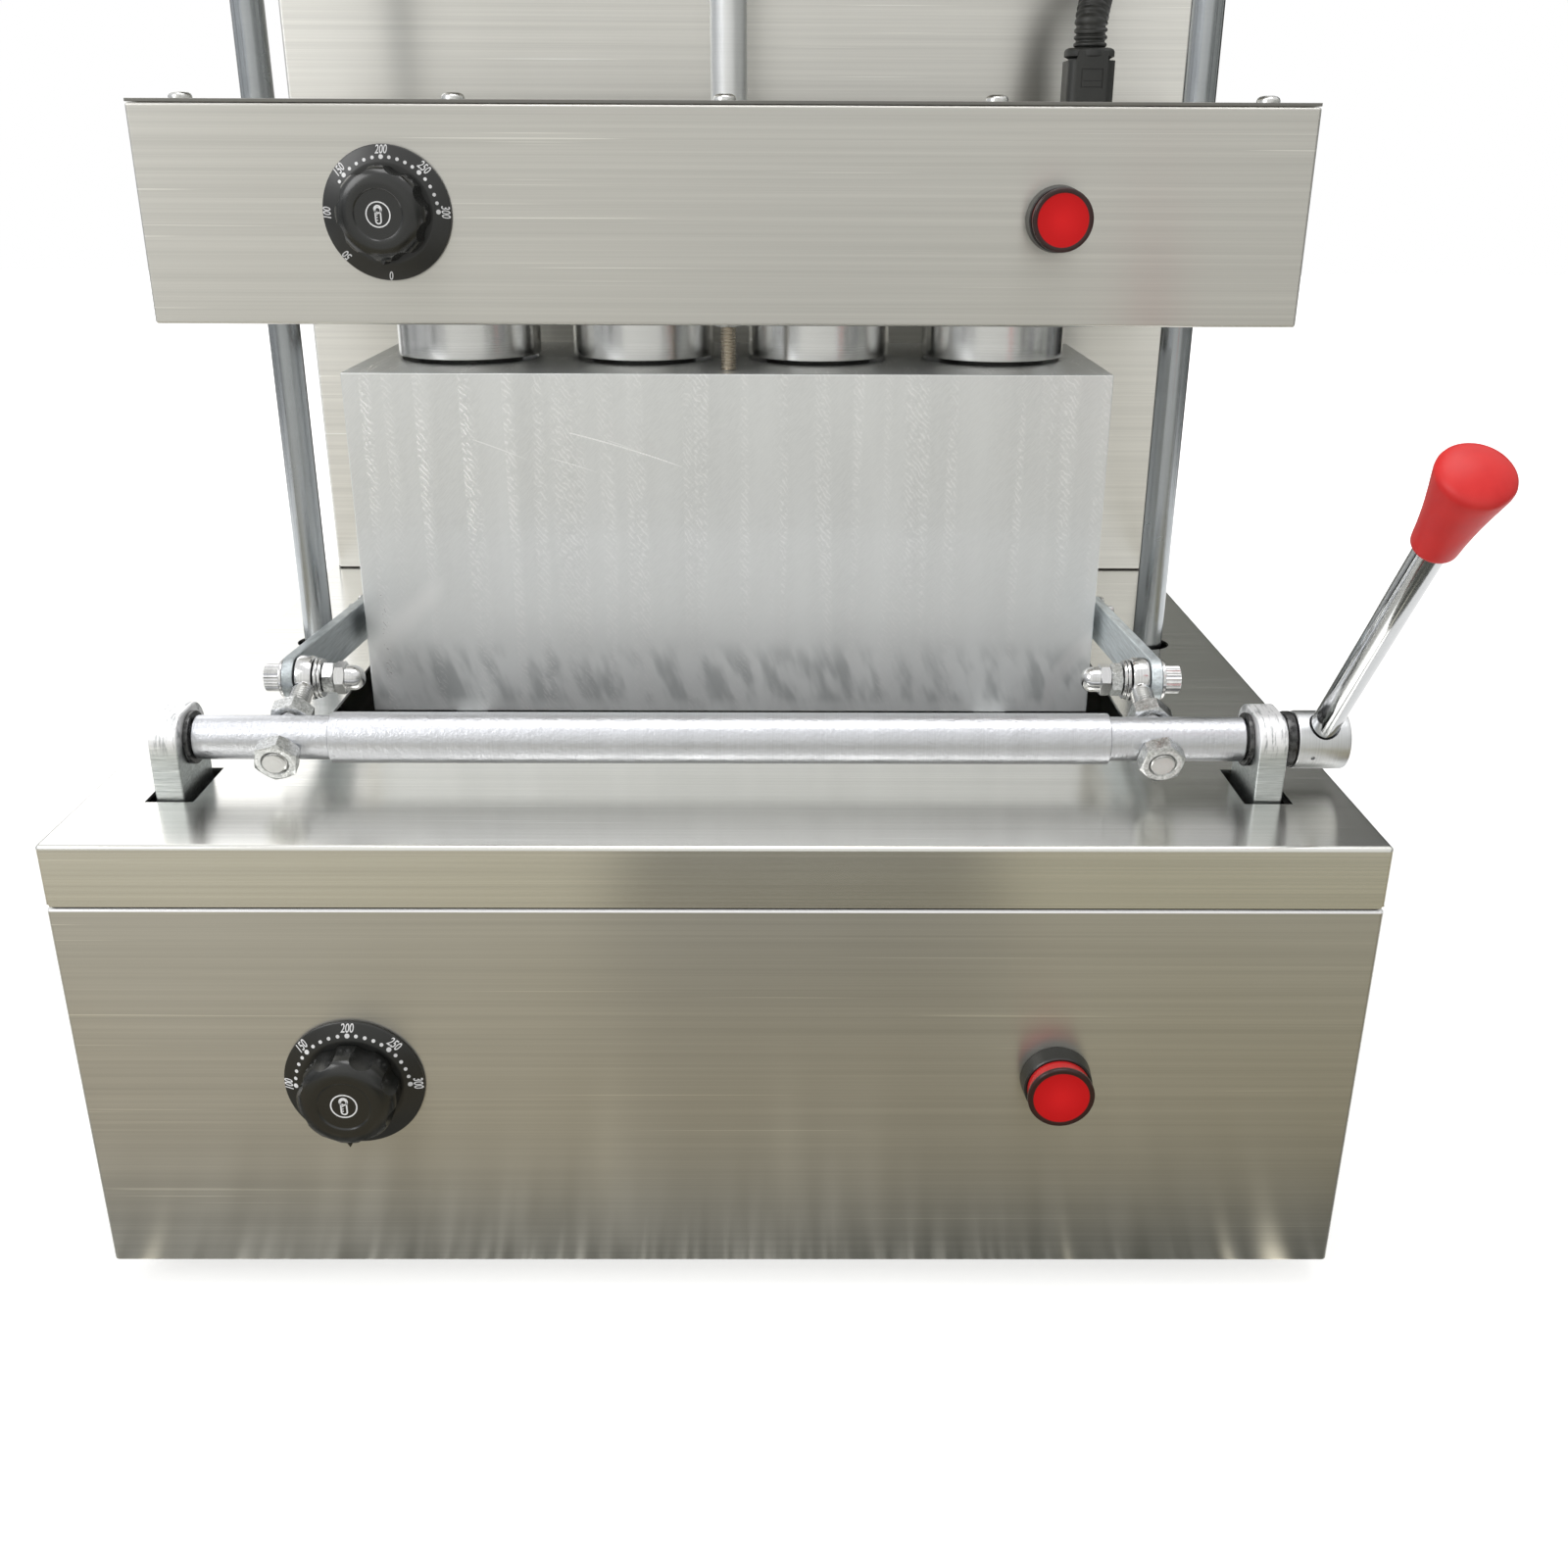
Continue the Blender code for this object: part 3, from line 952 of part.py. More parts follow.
def make_housing():
    step = SHEET + FIT_GAP
    plate_middle = HOUSING_BOTTOM + CONTROL_PLATE_RISE
    shell = sheet_box(
        "top_housing", (-HALF_BASE, HOUSING_FRONT, HOUSING_BOTTOM), (HALF_BASE, BASE_REAR, HOUSING_WALL_TOP),
        open_bottom=False, top_rims=((step, 0), (0, HOUSING_TOP - SHEET - FIT_GAP - HOUSING_WALL_TOP)))
    for sign in (-1, 1):
        cut(shell, cylinder("housing_rod_hole", ROD_RADIUS + ACTUATOR_BORE_GAP, -OVERRUN, OVERRUN,
                            (sign * ROD_X, ROD_Y, HOUSING_BOTTOM)))
        cut(shell, cylinder("button_hole", BUTTON_BODY_RADIUS + FIT_GAP, -OVERRUN, OVERRUN,
                            (sign * BUTTON_SPACING / 2, HOUSING_FRONT, plate_middle), TO_FRONT))
    cut(shell, cylinder("housing_actuator_hole", ACTUATOR_ROD_RADIUS + ACTUATOR_BORE_GAP, -OVERRUN, OVERRUN,
                        (0, ROD_Y, HOUSING_BOTTOM)))
    cut(shell, wire_hole(HOUSING_BOTTOM))
    hand_over(shell, "base", "brushed_steel")

    cover = sheet_box("top_cover", (-HALF_BASE, HOUSING_FRONT, HOUSING_WALL_TOP + LID_SEAM),
                      (HALF_BASE, BASE_REAR, HOUSING_TOP), open_top=False)
    hand_over(cover, "base", "brushed_steel")

    bridge = box("bridge_plate", (-BRIDGE_HALF_LENGTH, ROD_Y - BRIDGE_DEPTH / 2, BRIDGE_BOTTOM),
                 (BRIDGE_HALF_LENGTH, ROD_Y + BRIDGE_DEPTH / 2, BRIDGE_TOP))
    for sign in (-1, 1):
        cut(bridge, cylinder("spigot_hole", ROD_SPIGOT_RADIUS + FIT_GAP, -OVERRUN, BRIDGE_THICKNESS + OVERRUN,
                             (sign * ROD_X, ROD_Y, BRIDGE_BOTTOM)))
    cut(bridge, cylinder("bridge_actuator_hole", ACTUATOR_ROD_RADIUS + ACTUATOR_BORE_GAP, -OVERRUN,
                         BRIDGE_THICKNESS + OVERRUN, (0, ROD_Y, BRIDGE_BOTTOM)))
    hand_over(bridge, "base", "painted_frame")

    gear_top = ACTUATOR_BOTTOM + GEARBOX_HEIGHT
    actuator = box("actuator", (-GEARBOX_OVERHANG, ROD_Y - GEARBOX_DEPTH / 2, ACTUATOR_BOTTOM),
                   (GEARBOX_LENGTH - GEARBOX_OVERHANG, ROD_Y + GEARBOX_DEPTH / 2, gear_top))
    join(actuator,
         cylinder("tube", TUBE_RADIUS, gear_top - OVERRUN, TUBE_TOP, (0, ROD_Y, 0)),
         cylinder("motor", MOTOR_RADIUS, gear_top - OVERRUN, gear_top + MOTOR_HEIGHT,
                  (MOTOR_OFFSET, ROD_Y, 0)))
    cut(actuator, cylinder("tube_bore", ACTUATOR_ROD_RADIUS + ACTUATOR_BORE_GAP,
                           ACTUATOR_BOTTOM - OVERRUN, TUBE_TOP - TUBE_WALL, (0, ROD_Y, 0)))
    hand_over(actuator, "base", "black_plastic")

    make_controls(plate_middle)


def make_controls(plate_middle):
    """The control plate with two button bushings, and the two buttons that travel in them."""
    plate_back = HOUSING_FRONT - FIT_GAP
    plate_front = plate_back - CONTROL_PLATE_THICKNESS
    bezel_front = plate_front - BUTTON_BEZEL_HEIGHT
    side = CONTROL_PLATE_WIDTH / 2
    half = CONTROL_PLATE_HEIGHT / 2
    plate = box("control_plate", (-side, plate_front, plate_middle - half),
                (side, plate_back, plate_middle + half))
    for name, sign, colour in (("raise_button", -1, "green_button"), ("lower_button", 1, "red_button")):
        place = (sign * BUTTON_SPACING / 2, bezel_front, plate_middle)
        join(plate,
             cylinder("bezel", BUTTON_BEZEL_RADIUS, 0, plate_back - bezel_front, place, TO_REAR),
             cylinder("bushing", BUTTON_BODY_RADIUS, BUTTON_BEZEL_HEIGHT / 2, BUTTON_BODY_LENGTH,
                      place, TO_REAR))
        cut(plate, cylinder("button_bore", BUTTON_RADIUS + FIT_GAP, -OVERRUN,
                            BUTTON_LENGTH - BUTTON_PROUD + BUTTON_TRAVEL + RUN_GAP, place, TO_REAR))
        BODIES[name] = body_origin(f"{name}_origin", place)
        top = BUTTON_PROUD
        profile = [(0, top), (BUTTON_RADIUS - BUTTON_EDGE, top), (BUTTON_RADIUS, top - BUTTON_EDGE),
                   (BUTTON_RADIUS, top - BUTTON_LENGTH), (0, top - BUTTON_LENGTH)]
        hand_over(turned(name, profile, place, TO_FRONT), name, colour)
    hand_over(plate, "base", "black_plastic")


def make_thermostat(name, body, x, front, height):
    """The dial ring in front of a panel, with the regulator behind it, and the knob on its spindle."""
    place = (x, front, height)
    back = FIT_GAP
    face = FIT_GAP + DIAL_THICKNESS
    rim = FIT_GAP + DIAL_EDGE_THICKNESS
    tip = face + SPINDLE_LENGTH
    inner = -SHEET - FIT_GAP
    profile = [(0, tip), (SPINDLE_RADIUS, tip), (SPINDLE_RADIUS, face), (DIAL_RAISED_RADIUS, face),
               (DIAL_RADIUS, rim), (DIAL_RADIUS, back), (THERMOSTAT_NECK_RADIUS, back),
               (THERMOSTAT_NECK_RADIUS, inner - OVERRUN), (0, inner - OVERRUN)]
    dial = turned(f"{name}_thermostat", profile, place, TO_FRONT, FINE_STEPS)
    half = THERMOSTAT_WIDTH / 2
    join(dial, box("regulator", (x - half, front - inner, height - half),
                   (x + half, front - inner + THERMOSTAT_DEPTH, height + half)))
    hand_over(dial, body, "black_plastic")

    knob_body = f"{name}_knob"
    knob_place = (x, front - face - FIT_GAP, height)
    BODIES[knob_body] = body_origin(f"{knob_body}_origin", knob_place)
    bm = bmesh.new()
    bmesh.ops.create_cone(bm, cap_ends=True, segments=KNOB_LOBES * 4, radius1=KNOB_GRIP_RADIUS,
                          radius2=KNOB_GRIP_RADIUS, depth=KNOB_HEIGHT)
    bmesh.ops.translate(bm, vec=(0, 0, KNOB_HEIGHT / 2), verts=bm.verts)
    crown_share = 0.82
    lobe_share = 0.05
    for vert in bm.verts:
        angle = math.atan2(vert.co.y, vert.co.x)
        swell = 1 + lobe_share * math.cos(KNOB_LOBES * angle)
        narrow = crown_share if vert.co.z > KNOB_HEIGHT / 2 else 1
        vert.co.x *= swell * narrow
        vert.co.y *= swell * narrow
    knob = mesh_object(knob_body, bm, knob_place, TO_FRONT)
    join(knob, cylinder("skirt", KNOB_SKIRT_RADIUS, 0, KNOB_SKIRT_HEIGHT, knob_place, TO_FRONT, FINE_STEPS))
    cut(knob, cylinder("spindle_socket", SPINDLE_RADIUS + FIT_GAP, -OVERRUN, SPINDLE_LENGTH + RUN_GAP,
                       knob_place, TO_FRONT, SMALL_STEPS))
    hand_over(knob, knob_body, "black_plastic")


def make_lamp(name, body, x, front, height):
    place = (x, front, height)
    face = FIT_GAP + LAMP_BEZEL_THICKNESS
    tail = -LAMP_BODY_LENGTH
    profile = [(0, face), (LAMP_BEZEL_RADIUS, face), (LAMP_BEZEL_RADIUS, FIT_GAP),
               (LAMP_BODY_RADIUS, FIT_GAP), (LAMP_BODY_RADIUS, tail), (0, tail)]
    hand_over(turned(f"{name}_lamp_body", profile, place, TO_FRONT), body, "black_plastic")
    base = face + FIT_GAP
    top = base + LENS_LENGTH
    profile = [(0, top), (LENS_RADIUS - LENS_EDGE, top), (LENS_RADIUS, top - LENS_EDGE),
               (LENS_RADIUS, base), (0, base)]
    hand_over(turned(f"{name}_lamp_lens", profile, place, TO_FRONT), body, "red_lens")


def make_fitting(name, body, place, turn):
    """A square snap-in hose fitting with a notched collar, its stem through the sheet and a clear bore."""
    side = FITTING_WIDTH / 2
    bm = box_mesh((-side, -side, FIT_GAP), (side, side, FITTING_HEIGHT))
    uprights = [edge for edge in bm.edges if abs(edge.verts[0].co.z - edge.verts[1].co.z) > MERGE]
    bmesh.ops.bevel(bm, geom=uprights, offset=FITTING_CORNER, segments=BEND_SEGMENTS, profile=0.5, affect="EDGES")
    fitting = mesh_object(name, bm, place, turn)
    collar_bottom = FITTING_HEIGHT + FITTING_NOTCH
    collar_top = collar_bottom + FITTING_COLLAR_HEIGHT
    join(fitting,
         cylinder("notch", FITTING_NOTCH_RADIUS, FITTING_HEIGHT - FITTING_NOTCH, collar_bottom + FITTING_NOTCH,
                  place, turn),
         cylinder("collar", FITTING_WIDTH / 2, collar_bottom, collar_top, place, turn),
         cylinder("stem", FITTING_STEM_RADIUS, -FITTING_STEM_LENGTH, FITTING_NOTCH, place, turn))
    cut(fitting, cylinder("fitting_bore", FITTING_BORE_RADIUS, -FITTING_STEM_LENGTH - OVERRUN,
                          collar_top + OVERRUN, place, turn, SMALL_STEPS))
    hand_over(fitting, body, "black_plastic")
    return collar_top


def smooth_route(points, spacing):
    """Points at an even spacing along a smooth curve through the route's own points."""
    curve = bpy.data.curves.new("route", "CURVE")
    curve.dimensions = "3D"
    curve.resolution_u = 24
    spline = curve.splines.new("BEZIER")
    spline.bezier_points.add(len(points) - 1)
    for knot, point in zip(spline.bezier_points, points):
        knot.co = point
        knot.handle_left_type = "AUTO"
        knot.handle_right_type = "AUTO"
    holder = bpy.data.objects.new("route", curve)
    bpy.context.scene.collection.objects.link(holder)
    bpy.context.view_layer.update()
    line = bpy.data.meshes.new_from_object(holder.evaluated_get(bpy.context.evaluated_depsgraph_get()))
    path = [vert.co.copy() for vert in line.vertices]
    bpy.data.objects.remove(holder, do_unlink=True)
    total = sum((b - a).length for a, b in zip(path, path[1:]))
    count = max(2, round(total / spacing))
    spaced, walked, target = [path[0]], 0.0, total / count
    for start, end in zip(path, path[1:]):
        length = (end - start).length
        while walked + length >= target - MERGE and len(spaced) < count:
            spaced.append(start.lerp(end, (target - walked) / length))
            target += total / count
        walked += length
    spaced.append(path[-1])
    return spaced, total


def tube_mesh(name, points, radii):
    """A welded tube along points, each with its own radius."""
    curve = bpy.data.curves.new(name, "CURVE")
    curve.dimensions = "3D"
    curve.bevel_depth = 1.0
    curve.bevel_resolution = 2
    curve.use_fill_caps = True
    spline = curve.splines.new("POLY")
    spline.points.add(len(points) - 1)
    for knot, point, radius in zip(spline.points, points, radii):
        knot.co = (*point, 1)
        knot.radius = radius
    holder = bpy.data.objects.new(name, curve)
    bpy.context.scene.collection.objects.link(holder)
    bpy.context.view_layer.update()
    mesh = bpy.data.meshes.new_from_object(holder.evaluated_get(bpy.context.evaluated_depsgraph_get()))
    bm = bmesh.new()
    bm.from_mesh(mesh)
    bmesh.ops.remove_doubles(bm, verts=bm.verts, dist=MERGE)
    bpy.data.objects.remove(holder, do_unlink=True)
    return mesh_object(name, bm)


def make_hose():
    """The ribbed hose from the head's fitting to the column's, level at each end, with an open bore."""
    head_place = Vector((FITTING_X, FITTING_Y, HEAD_TOP))
    column_place = Vector((COLUMN_FITTING_X, COLUMN_FRONT, COLUMN_FITTING_HEIGHT))
    head_reach = make_fitting("head_hose_fitting", "press_head", head_place, UP)
    column_reach = make_fitting("column_hose_fitting", "base", column_place, TO_FRONT)
    start = head_place + Vector((0, 0, head_reach + FIT_GAP))
    end = column_place - Vector((0, column_reach + FIT_GAP, 0))
    rise = Vector((0, 0, HOSE_LEVEL_END))
    back = Vector((0, HOSE_LEVEL_END, 0))
    route = [start, start + rise / 2, start + rise, (start + rise).lerp(end - back, 0.5) + rise / 4,
             end - back, end - back / 2, end]
    points, length = smooth_route(route, HOSE_PITCH / 2)
    plain = HOSE_LEVEL_END / 2
    radii = []
    for index in range(len(points)):
        walked = length * index / (len(points) - 1)
        level = min(walked, length - walked) < plain
        radii.append(HOSE_RADIUS if level or index % 2 else HOSE_ROOT_RADIUS)
    hose = tube_mesh("conduit_hose", points, radii)
    spread, _ = smooth_route(route, HOSE_LEVEL_END / 4)
    spread[0] = spread[0] - Vector((0, 0, OVERRUN))
    spread[-1] = spread[-1] + Vector((0, OVERRUN, 0))
    cut(hose, tube_mesh("hose_bore", spread, [HOSE_BORE_RADIUS] * len(spread)))
    hand_over(hose, "base", "hose_nylon")
    print("hose length", round(length, 4), "ribs", len(points) // 2)


def make_gland():
    place = (GLAND_X, BASE_REAR, BASE_BOTTOM + GLAND_HEIGHT)
    profile = [(GLAND_BORE_RADIUS, GLAND_LENGTH), (GLAND_RADIUS - GLAND_BORE_RADIUS / 2, GLAND_LENGTH),
               (GLAND_RADIUS, GLAND_LENGTH - GLAND_BORE_RADIUS), (GLAND_RADIUS, FIT_GAP),
               (GLAND_STEM_RADIUS, FIT_GAP), (GLAND_STEM_RADIUS, -OVERRUN), (GLAND_BORE_RADIUS, -OVERRUN)]
    gland = turned("mains_gland", profile, place, TO_REAR, closed=True)
    nut = hexagon("gland_hex", GLAND_FLATS, FIT_GAP, FIT_GAP + GLAND_HEX_HEIGHT, place, TO_REAR)
    bore = cylinder("gland_hex_bore", GLAND_BORE_RADIUS * 2, -OVERRUN, OVERRUN, place, TO_REAR)
    cut(nut, bore)
    join(gland, nut)
    hand_over(gland, "base", "black_plastic")


make_base()
make_frame()
pair(make_guide)
make_mould()
pair(make_link_bolt)
pair(make_post)
make_shaft()
make_lever()
pair(make_eyebolt)
pair(make_link)
make_head()
make_column()
make_housing()
make_thermostat("base", "base", BASE_DIAL_X, BASE_FRONT, BASE_BOTTOM + BASE_DIAL_HEIGHT)
make_thermostat("head", "press_head", HEAD_DIAL_X, HEAD_FRONT, HEAD_BOTTOM + HEAD_DIAL_HEIGHT)
make_lamp("base", "base", BASE_LAMP_X, BASE_FRONT, BASE_BOTTOM + BASE_LAMP_HEIGHT)
make_lamp("head", "press_head", HEAD_LAMP_X, HEAD_FRONT, HEAD_BOTTOM + HEAD_LAMP_HEIGHT)
make_hose()
make_gland()
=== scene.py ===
# %% [markdown]
# # A four-cone pizza press
#
# The machine bakes four pizza cones at a time between a split aluminium block
# and four cone moulds that hang from a heated head. Its solids come from a CAD
# model, which stays underneath as a fixed frame. This lesson dresses them:
# folded and brushed sheet steel, milled and turned aluminium, chrome rods,
# zinc-plated bolts with real threads, black plastic dials and red lamps.

import json
import math

import bmesh
import bpy
from mathutils import Euler, Matrix, Vector

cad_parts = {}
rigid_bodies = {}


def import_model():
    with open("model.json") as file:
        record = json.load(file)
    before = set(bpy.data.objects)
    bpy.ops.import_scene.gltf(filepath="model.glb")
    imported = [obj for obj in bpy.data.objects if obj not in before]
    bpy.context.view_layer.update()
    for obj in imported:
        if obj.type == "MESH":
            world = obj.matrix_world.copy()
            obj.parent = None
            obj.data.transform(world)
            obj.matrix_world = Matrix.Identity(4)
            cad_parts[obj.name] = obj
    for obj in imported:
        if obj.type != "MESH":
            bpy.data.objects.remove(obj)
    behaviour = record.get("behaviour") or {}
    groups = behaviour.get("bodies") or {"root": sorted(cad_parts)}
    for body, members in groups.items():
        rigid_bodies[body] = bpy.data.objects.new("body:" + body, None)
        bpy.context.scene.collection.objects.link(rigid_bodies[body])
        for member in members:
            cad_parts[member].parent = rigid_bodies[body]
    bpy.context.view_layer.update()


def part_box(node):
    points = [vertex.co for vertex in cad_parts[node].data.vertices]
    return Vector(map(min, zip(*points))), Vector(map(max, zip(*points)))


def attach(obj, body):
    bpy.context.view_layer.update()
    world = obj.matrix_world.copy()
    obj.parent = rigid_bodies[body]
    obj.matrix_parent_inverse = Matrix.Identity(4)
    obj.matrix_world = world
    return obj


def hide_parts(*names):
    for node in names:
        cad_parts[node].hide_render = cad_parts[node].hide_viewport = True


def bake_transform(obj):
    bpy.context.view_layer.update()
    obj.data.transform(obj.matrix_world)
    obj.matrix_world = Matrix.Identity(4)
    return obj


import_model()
scene = bpy.context.scene
scene.view_settings.view_transform = "Standard"
MM = 0.001

# %% [markdown]
# ## Camera
#
# The photograph was taken from just above the head, looking down by 22 degrees
# with a short lens, so upright edges lean inwards towards the bottom. Such a
# view can be set by eye or fitted to corners whose places are known. It was
# fitted here, and the three angles below came out of that fit.

# %% Camera
CAMERA_PLACE = Vector((0.02355, -0.81078, 0.47131))
LOOK_DOWN = math.radians(22.26)
LOOK_RIGHT = math.radians(0.34)
ROLL = math.radians(0.24)
LENS, SENSOR_WIDTH = 35.434, 36
forward = Vector((math.sin(LOOK_RIGHT) * math.cos(LOOK_DOWN),
                  math.cos(LOOK_RIGHT) * math.cos(LOOK_DOWN), -math.sin(LOOK_DOWN)))
level_right = Vector((math.cos(LOOK_RIGHT), -math.sin(LOOK_RIGHT), 0))
level_up = level_right.cross(forward)
right = level_right * math.cos(ROLL) + level_up * math.sin(ROLL)
up = level_up * math.cos(ROLL) - level_right * math.sin(ROLL)
camera_data = bpy.data.cameras.new("camera")
camera_data.lens = LENS
camera_data.sensor_width = SENSOR_WIDTH
camera = bpy.data.objects.new("camera", camera_data)
camera.matrix_world = Matrix.Translation(CAMERA_PLACE) @ Matrix((right, up, -forward)).transposed().to_4x4()
scene.collection.objects.link(camera)
scene.camera = camera
print("camera at", [round(value, 3) for value in CAMERA_PLACE])

# %% [markdown]
# ## Helpers for nodes
#
# A material is a tree of nodes. Setting one up takes three steps: add a node,
# set its values, wire it to the next. A few small helpers keep that readable.
# Two more make and place a node group, which is one effect with named inputs
# and outputs that several materials can share.

# %% Node helpers
def add(tree, kind, **values):
    """Adds a node; a value named like one of its inputs sets that input, any other its property."""
    made = tree.nodes.new(kind)
    for name, value in values.items():
        socket = made.inputs.get(name.replace("_", " "))
        if socket is None or name == "operation":
            setattr(made, name, value)
        else:
            socket.default_value = value
    return made


def wire(tree, source, target):
    """Joins an output to an input; both are sockets."""
    tree.links.new(source, target)


def math_node(tree, operation, first, second=0.0, clamp=False):
    made = add(tree, "ShaderNodeMath", operation=operation, use_clamp=clamp)
    for index, value in enumerate((first, second)):
        if isinstance(value, (int, float)):
            made.inputs[index].default_value = value
        else:
            wire(tree, value, made.inputs[index])
    return made.outputs[0]


def times(tree, first, second, clamp=False):
    return math_node(tree, "MULTIPLY", first, second, clamp)


def apart_from(tree, value, level):
    """How far a value is from a level, on either side."""
    return math_node(tree, "ABSOLUTE", math_node(tree, "SUBTRACT", value, level))


def ramp(tree, value, low, high, start=0.0, end=1.0, smooth=False):
    """Maps a value from the range low to high onto start to end."""
    made = add(tree, "ShaderNodeMapRange", interpolation_type="SMOOTHSTEP" if smooth else "LINEAR")
    wire(tree, value, made.inputs["Value"])
    for name, number in (("From Min", low), ("From Max", high), ("To Min", start), ("To Max", end)):
        made.inputs[name].default_value = number
    return made.outputs["Result"]


def blend_colour(tree, mask, first, second, mode="MIX"):
    """Goes from the first colour to the second as the mask goes from 0 to 1."""
    made = add(tree, "ShaderNodeMix", data_type="RGBA", blend_type=mode)
    for index, value in ((0, mask), (6, first), (7, second)):
        if isinstance(value, tuple):
            made.inputs[index].default_value = (*value, 1)
        elif isinstance(value, (int, float)):
            made.inputs[index].default_value = value
        else:
            wire(tree, value, made.inputs[index])
    return made.outputs[2]


print("helpers for nodes, numbers and colours ready")

# %% Places and relief
def object_place(tree):
    """Each point's place on the object, in metres."""
    return add(tree, "ShaderNodeTexCoord").outputs["Object"]


def axes(tree, vector):
    """A vector's X, Y and Z."""
    made = add(tree, "ShaderNodeSeparateXYZ")
    wire(tree, vector, made.inputs[0])
    return made.outputs


def length_of(tree, vector):
    made = add(tree, "ShaderNodeVectorMath", operation="LENGTH")
    wire(tree, vector, made.inputs[0])
    return made.outputs["Value"]


def emboss(tree, shader, height, strength, depth):
    """Raises a surface by a height in metres, on top of what raises it already."""
    bump = add(tree, "ShaderNodeBump", Strength=strength, Distance=depth)
    wire(tree, height, bump.inputs["Height"])
    normal = shader.inputs["Normal"]
    if normal.links:
        wire(tree, normal.links[0].from_socket, bump.inputs["Normal"])
    wire(tree, bump.outputs[0], normal)


print("helpers for places and relief ready")

# %% Groups and materials
def new_group(name, inputs, outputs):
    """A node group; an input is a name, a kind of socket and a start value, an output a name and a kind."""
    tree = bpy.data.node_groups.new(name, "ShaderNodeTree")
    for label, kind, value in inputs:
        socket = tree.interface.new_socket(label, in_out="INPUT", socket_type=kind)
        if value is not None:
            socket.default_value = value
    for label, kind in outputs:
        tree.interface.new_socket(label, in_out="OUTPUT", socket_type=kind)
    return tree, tree.nodes.new("NodeGroupInput"), tree.nodes.new("NodeGroupOutput")


def use_group(tree, group, **values):
    made = tree.nodes.new("ShaderNodeGroup")
    made.node_tree = group
    for name, value in values.items():
        socket = made.inputs[name.replace("_", " ")]
        if isinstance(value, bpy.types.NodeSocket):
            wire(tree, value, socket)
        else:
            socket.default_value = value
    return made


def new_material(name, colour, roughness, metallic=0.0, **values):
    made = bpy.data.materials.new(name)
    made.use_nodes = True
    shader = made.node_tree.nodes["Principled BSDF"]
    shader.inputs["Base Color"].default_value = (*colour, 1)
    shader.inputs["Roughness"].default_value = roughness
    shader.inputs["Metallic"].default_value = metallic
    for label, value in values.items():
        shader.inputs[label.replace("_", " ")].default_value = value
    return made, made.node_tree, shader


print("helpers for groups and materials ready")

# %% [markdown]
# ## Room and light
#
# The machine stands on a plain white floor in a white room. Metal has no colour
# of its own to speak of: it shows what is round it, so the room matters as much
# as the lamps. Camera rays and reflections see the world as plain white, while
# the light it sheds on things is weaker, and the floor keeps its shadows.

# %% World and floor
def directly_seen(tree):
    """1 for what the camera sees, also in a reflection or through glass, and 0 for light on things."""
    paths = add(tree, "ShaderNodeLightPath")
    seen = math_node(tree, "MAXIMUM", paths.outputs["Is Camera Ray"], paths.outputs["Is Glossy Ray"])
    return math_node(tree, "MAXIMUM", seen, paths.outputs["Is Transmission Ray"])


ROOM_LIGHT = 0.62
world = bpy.data.worlds.new("white_room")
scene.world = world
world.use_nodes = True
tree = world.node_tree
wire(tree, ramp(tree, directly_seen(tree), 0, 1, ROOM_LIGHT, 1.0),
     tree.nodes["Background"].inputs["Strength"])
tree.nodes["Background"].inputs["Color"].default_value = (1, 1, 1, 1)

FLOOR_COLOUR = (0.62, 0.62, 0.61)
FLOOR_GLOW = 0.60
floor_material, tree, shader = new_material("white_floor", FLOOR_COLOUR, 0.9, Specular_IOR_Level=0.0)
glow = ramp(tree, length_of(tree, object_place(tree)), 0.5, 1.6, FLOOR_GLOW, 1.0, smooth=True)
shader.inputs["Emission Color"].default_value = (1, 1, 1, 1)
wire(tree, times(tree, directly_seen(tree), glow), shader.inputs["Emission Strength"])


def plane(name, place, turn, width, height, material):
    """A flat card whose middle is at a place."""
    bm = bmesh.new()
    bmesh.ops.create_grid(bm, x_segments=1, y_segments=1, size=0.5)
    bmesh.ops.scale(bm, vec=(width, height, 1), verts=bm.verts)
    bmesh.ops.transform(bm, matrix=Matrix.Translation(place) @ Euler(turn).to_matrix().to_4x4(),
                        verts=bm.verts)
    mesh = bpy.data.meshes.new(name)
    bm.to_mesh(mesh)
    bm.free()
    mesh.materials.append(material)
    made = bpy.data.objects.new(name, mesh)
    scene.collection.objects.link(made)
    return made


FLOOR_SIZE = 12
plane("floor", (0, 0, 0), (0, 0, 0), FLOOR_SIZE, FLOOR_SIZE, floor_material)
print("floor", FLOOR_SIZE, "m wide, room light", ROOM_LIGHT)

# %% [markdown]
# ## Lamps and cards
#
# A photographer lights bright metal with large soft boxes and shapes its
# reflections with cards. A warm card lies in front of the machine, where only
# reflections can see it: it gives the front panels their khaki tone, and its
# dark strip the deep zone along their foot. Narrow dark cards stand to both
# sides, so that rods and nuts show crisp dark lines.

# %% Lamps
def soft_box(name, place, aim, width, height, power, colour=(1, 1, 1)):
    data = bpy.data.lights.new(name, "AREA")
    data.shape = "RECTANGLE"
    data.size = width
    data.size_y = height
    data.energy = power
    data.color = colour
    made = bpy.data.objects.new(name, data)
    made.location = place
    made.rotation_euler = (Vector(aim) - Vector(place)).to_track_quat("-Z", "Y").to_euler()
    scene.collection.objects.link(made)


soft_box("top_box", (0.1, -0.2, 2.3), (0, 0, 0.3), 1.6, 1.2, 17)
soft_box("left_box", (-1.5, -1.3, 1.5), (0, 0, 0.3), 1.1, 1.1, 13)
soft_box("rear_left_box", (-0.9, 1.6, 1.3), (-0.1, 0, 0.2), 1.0, 1.2, 3)


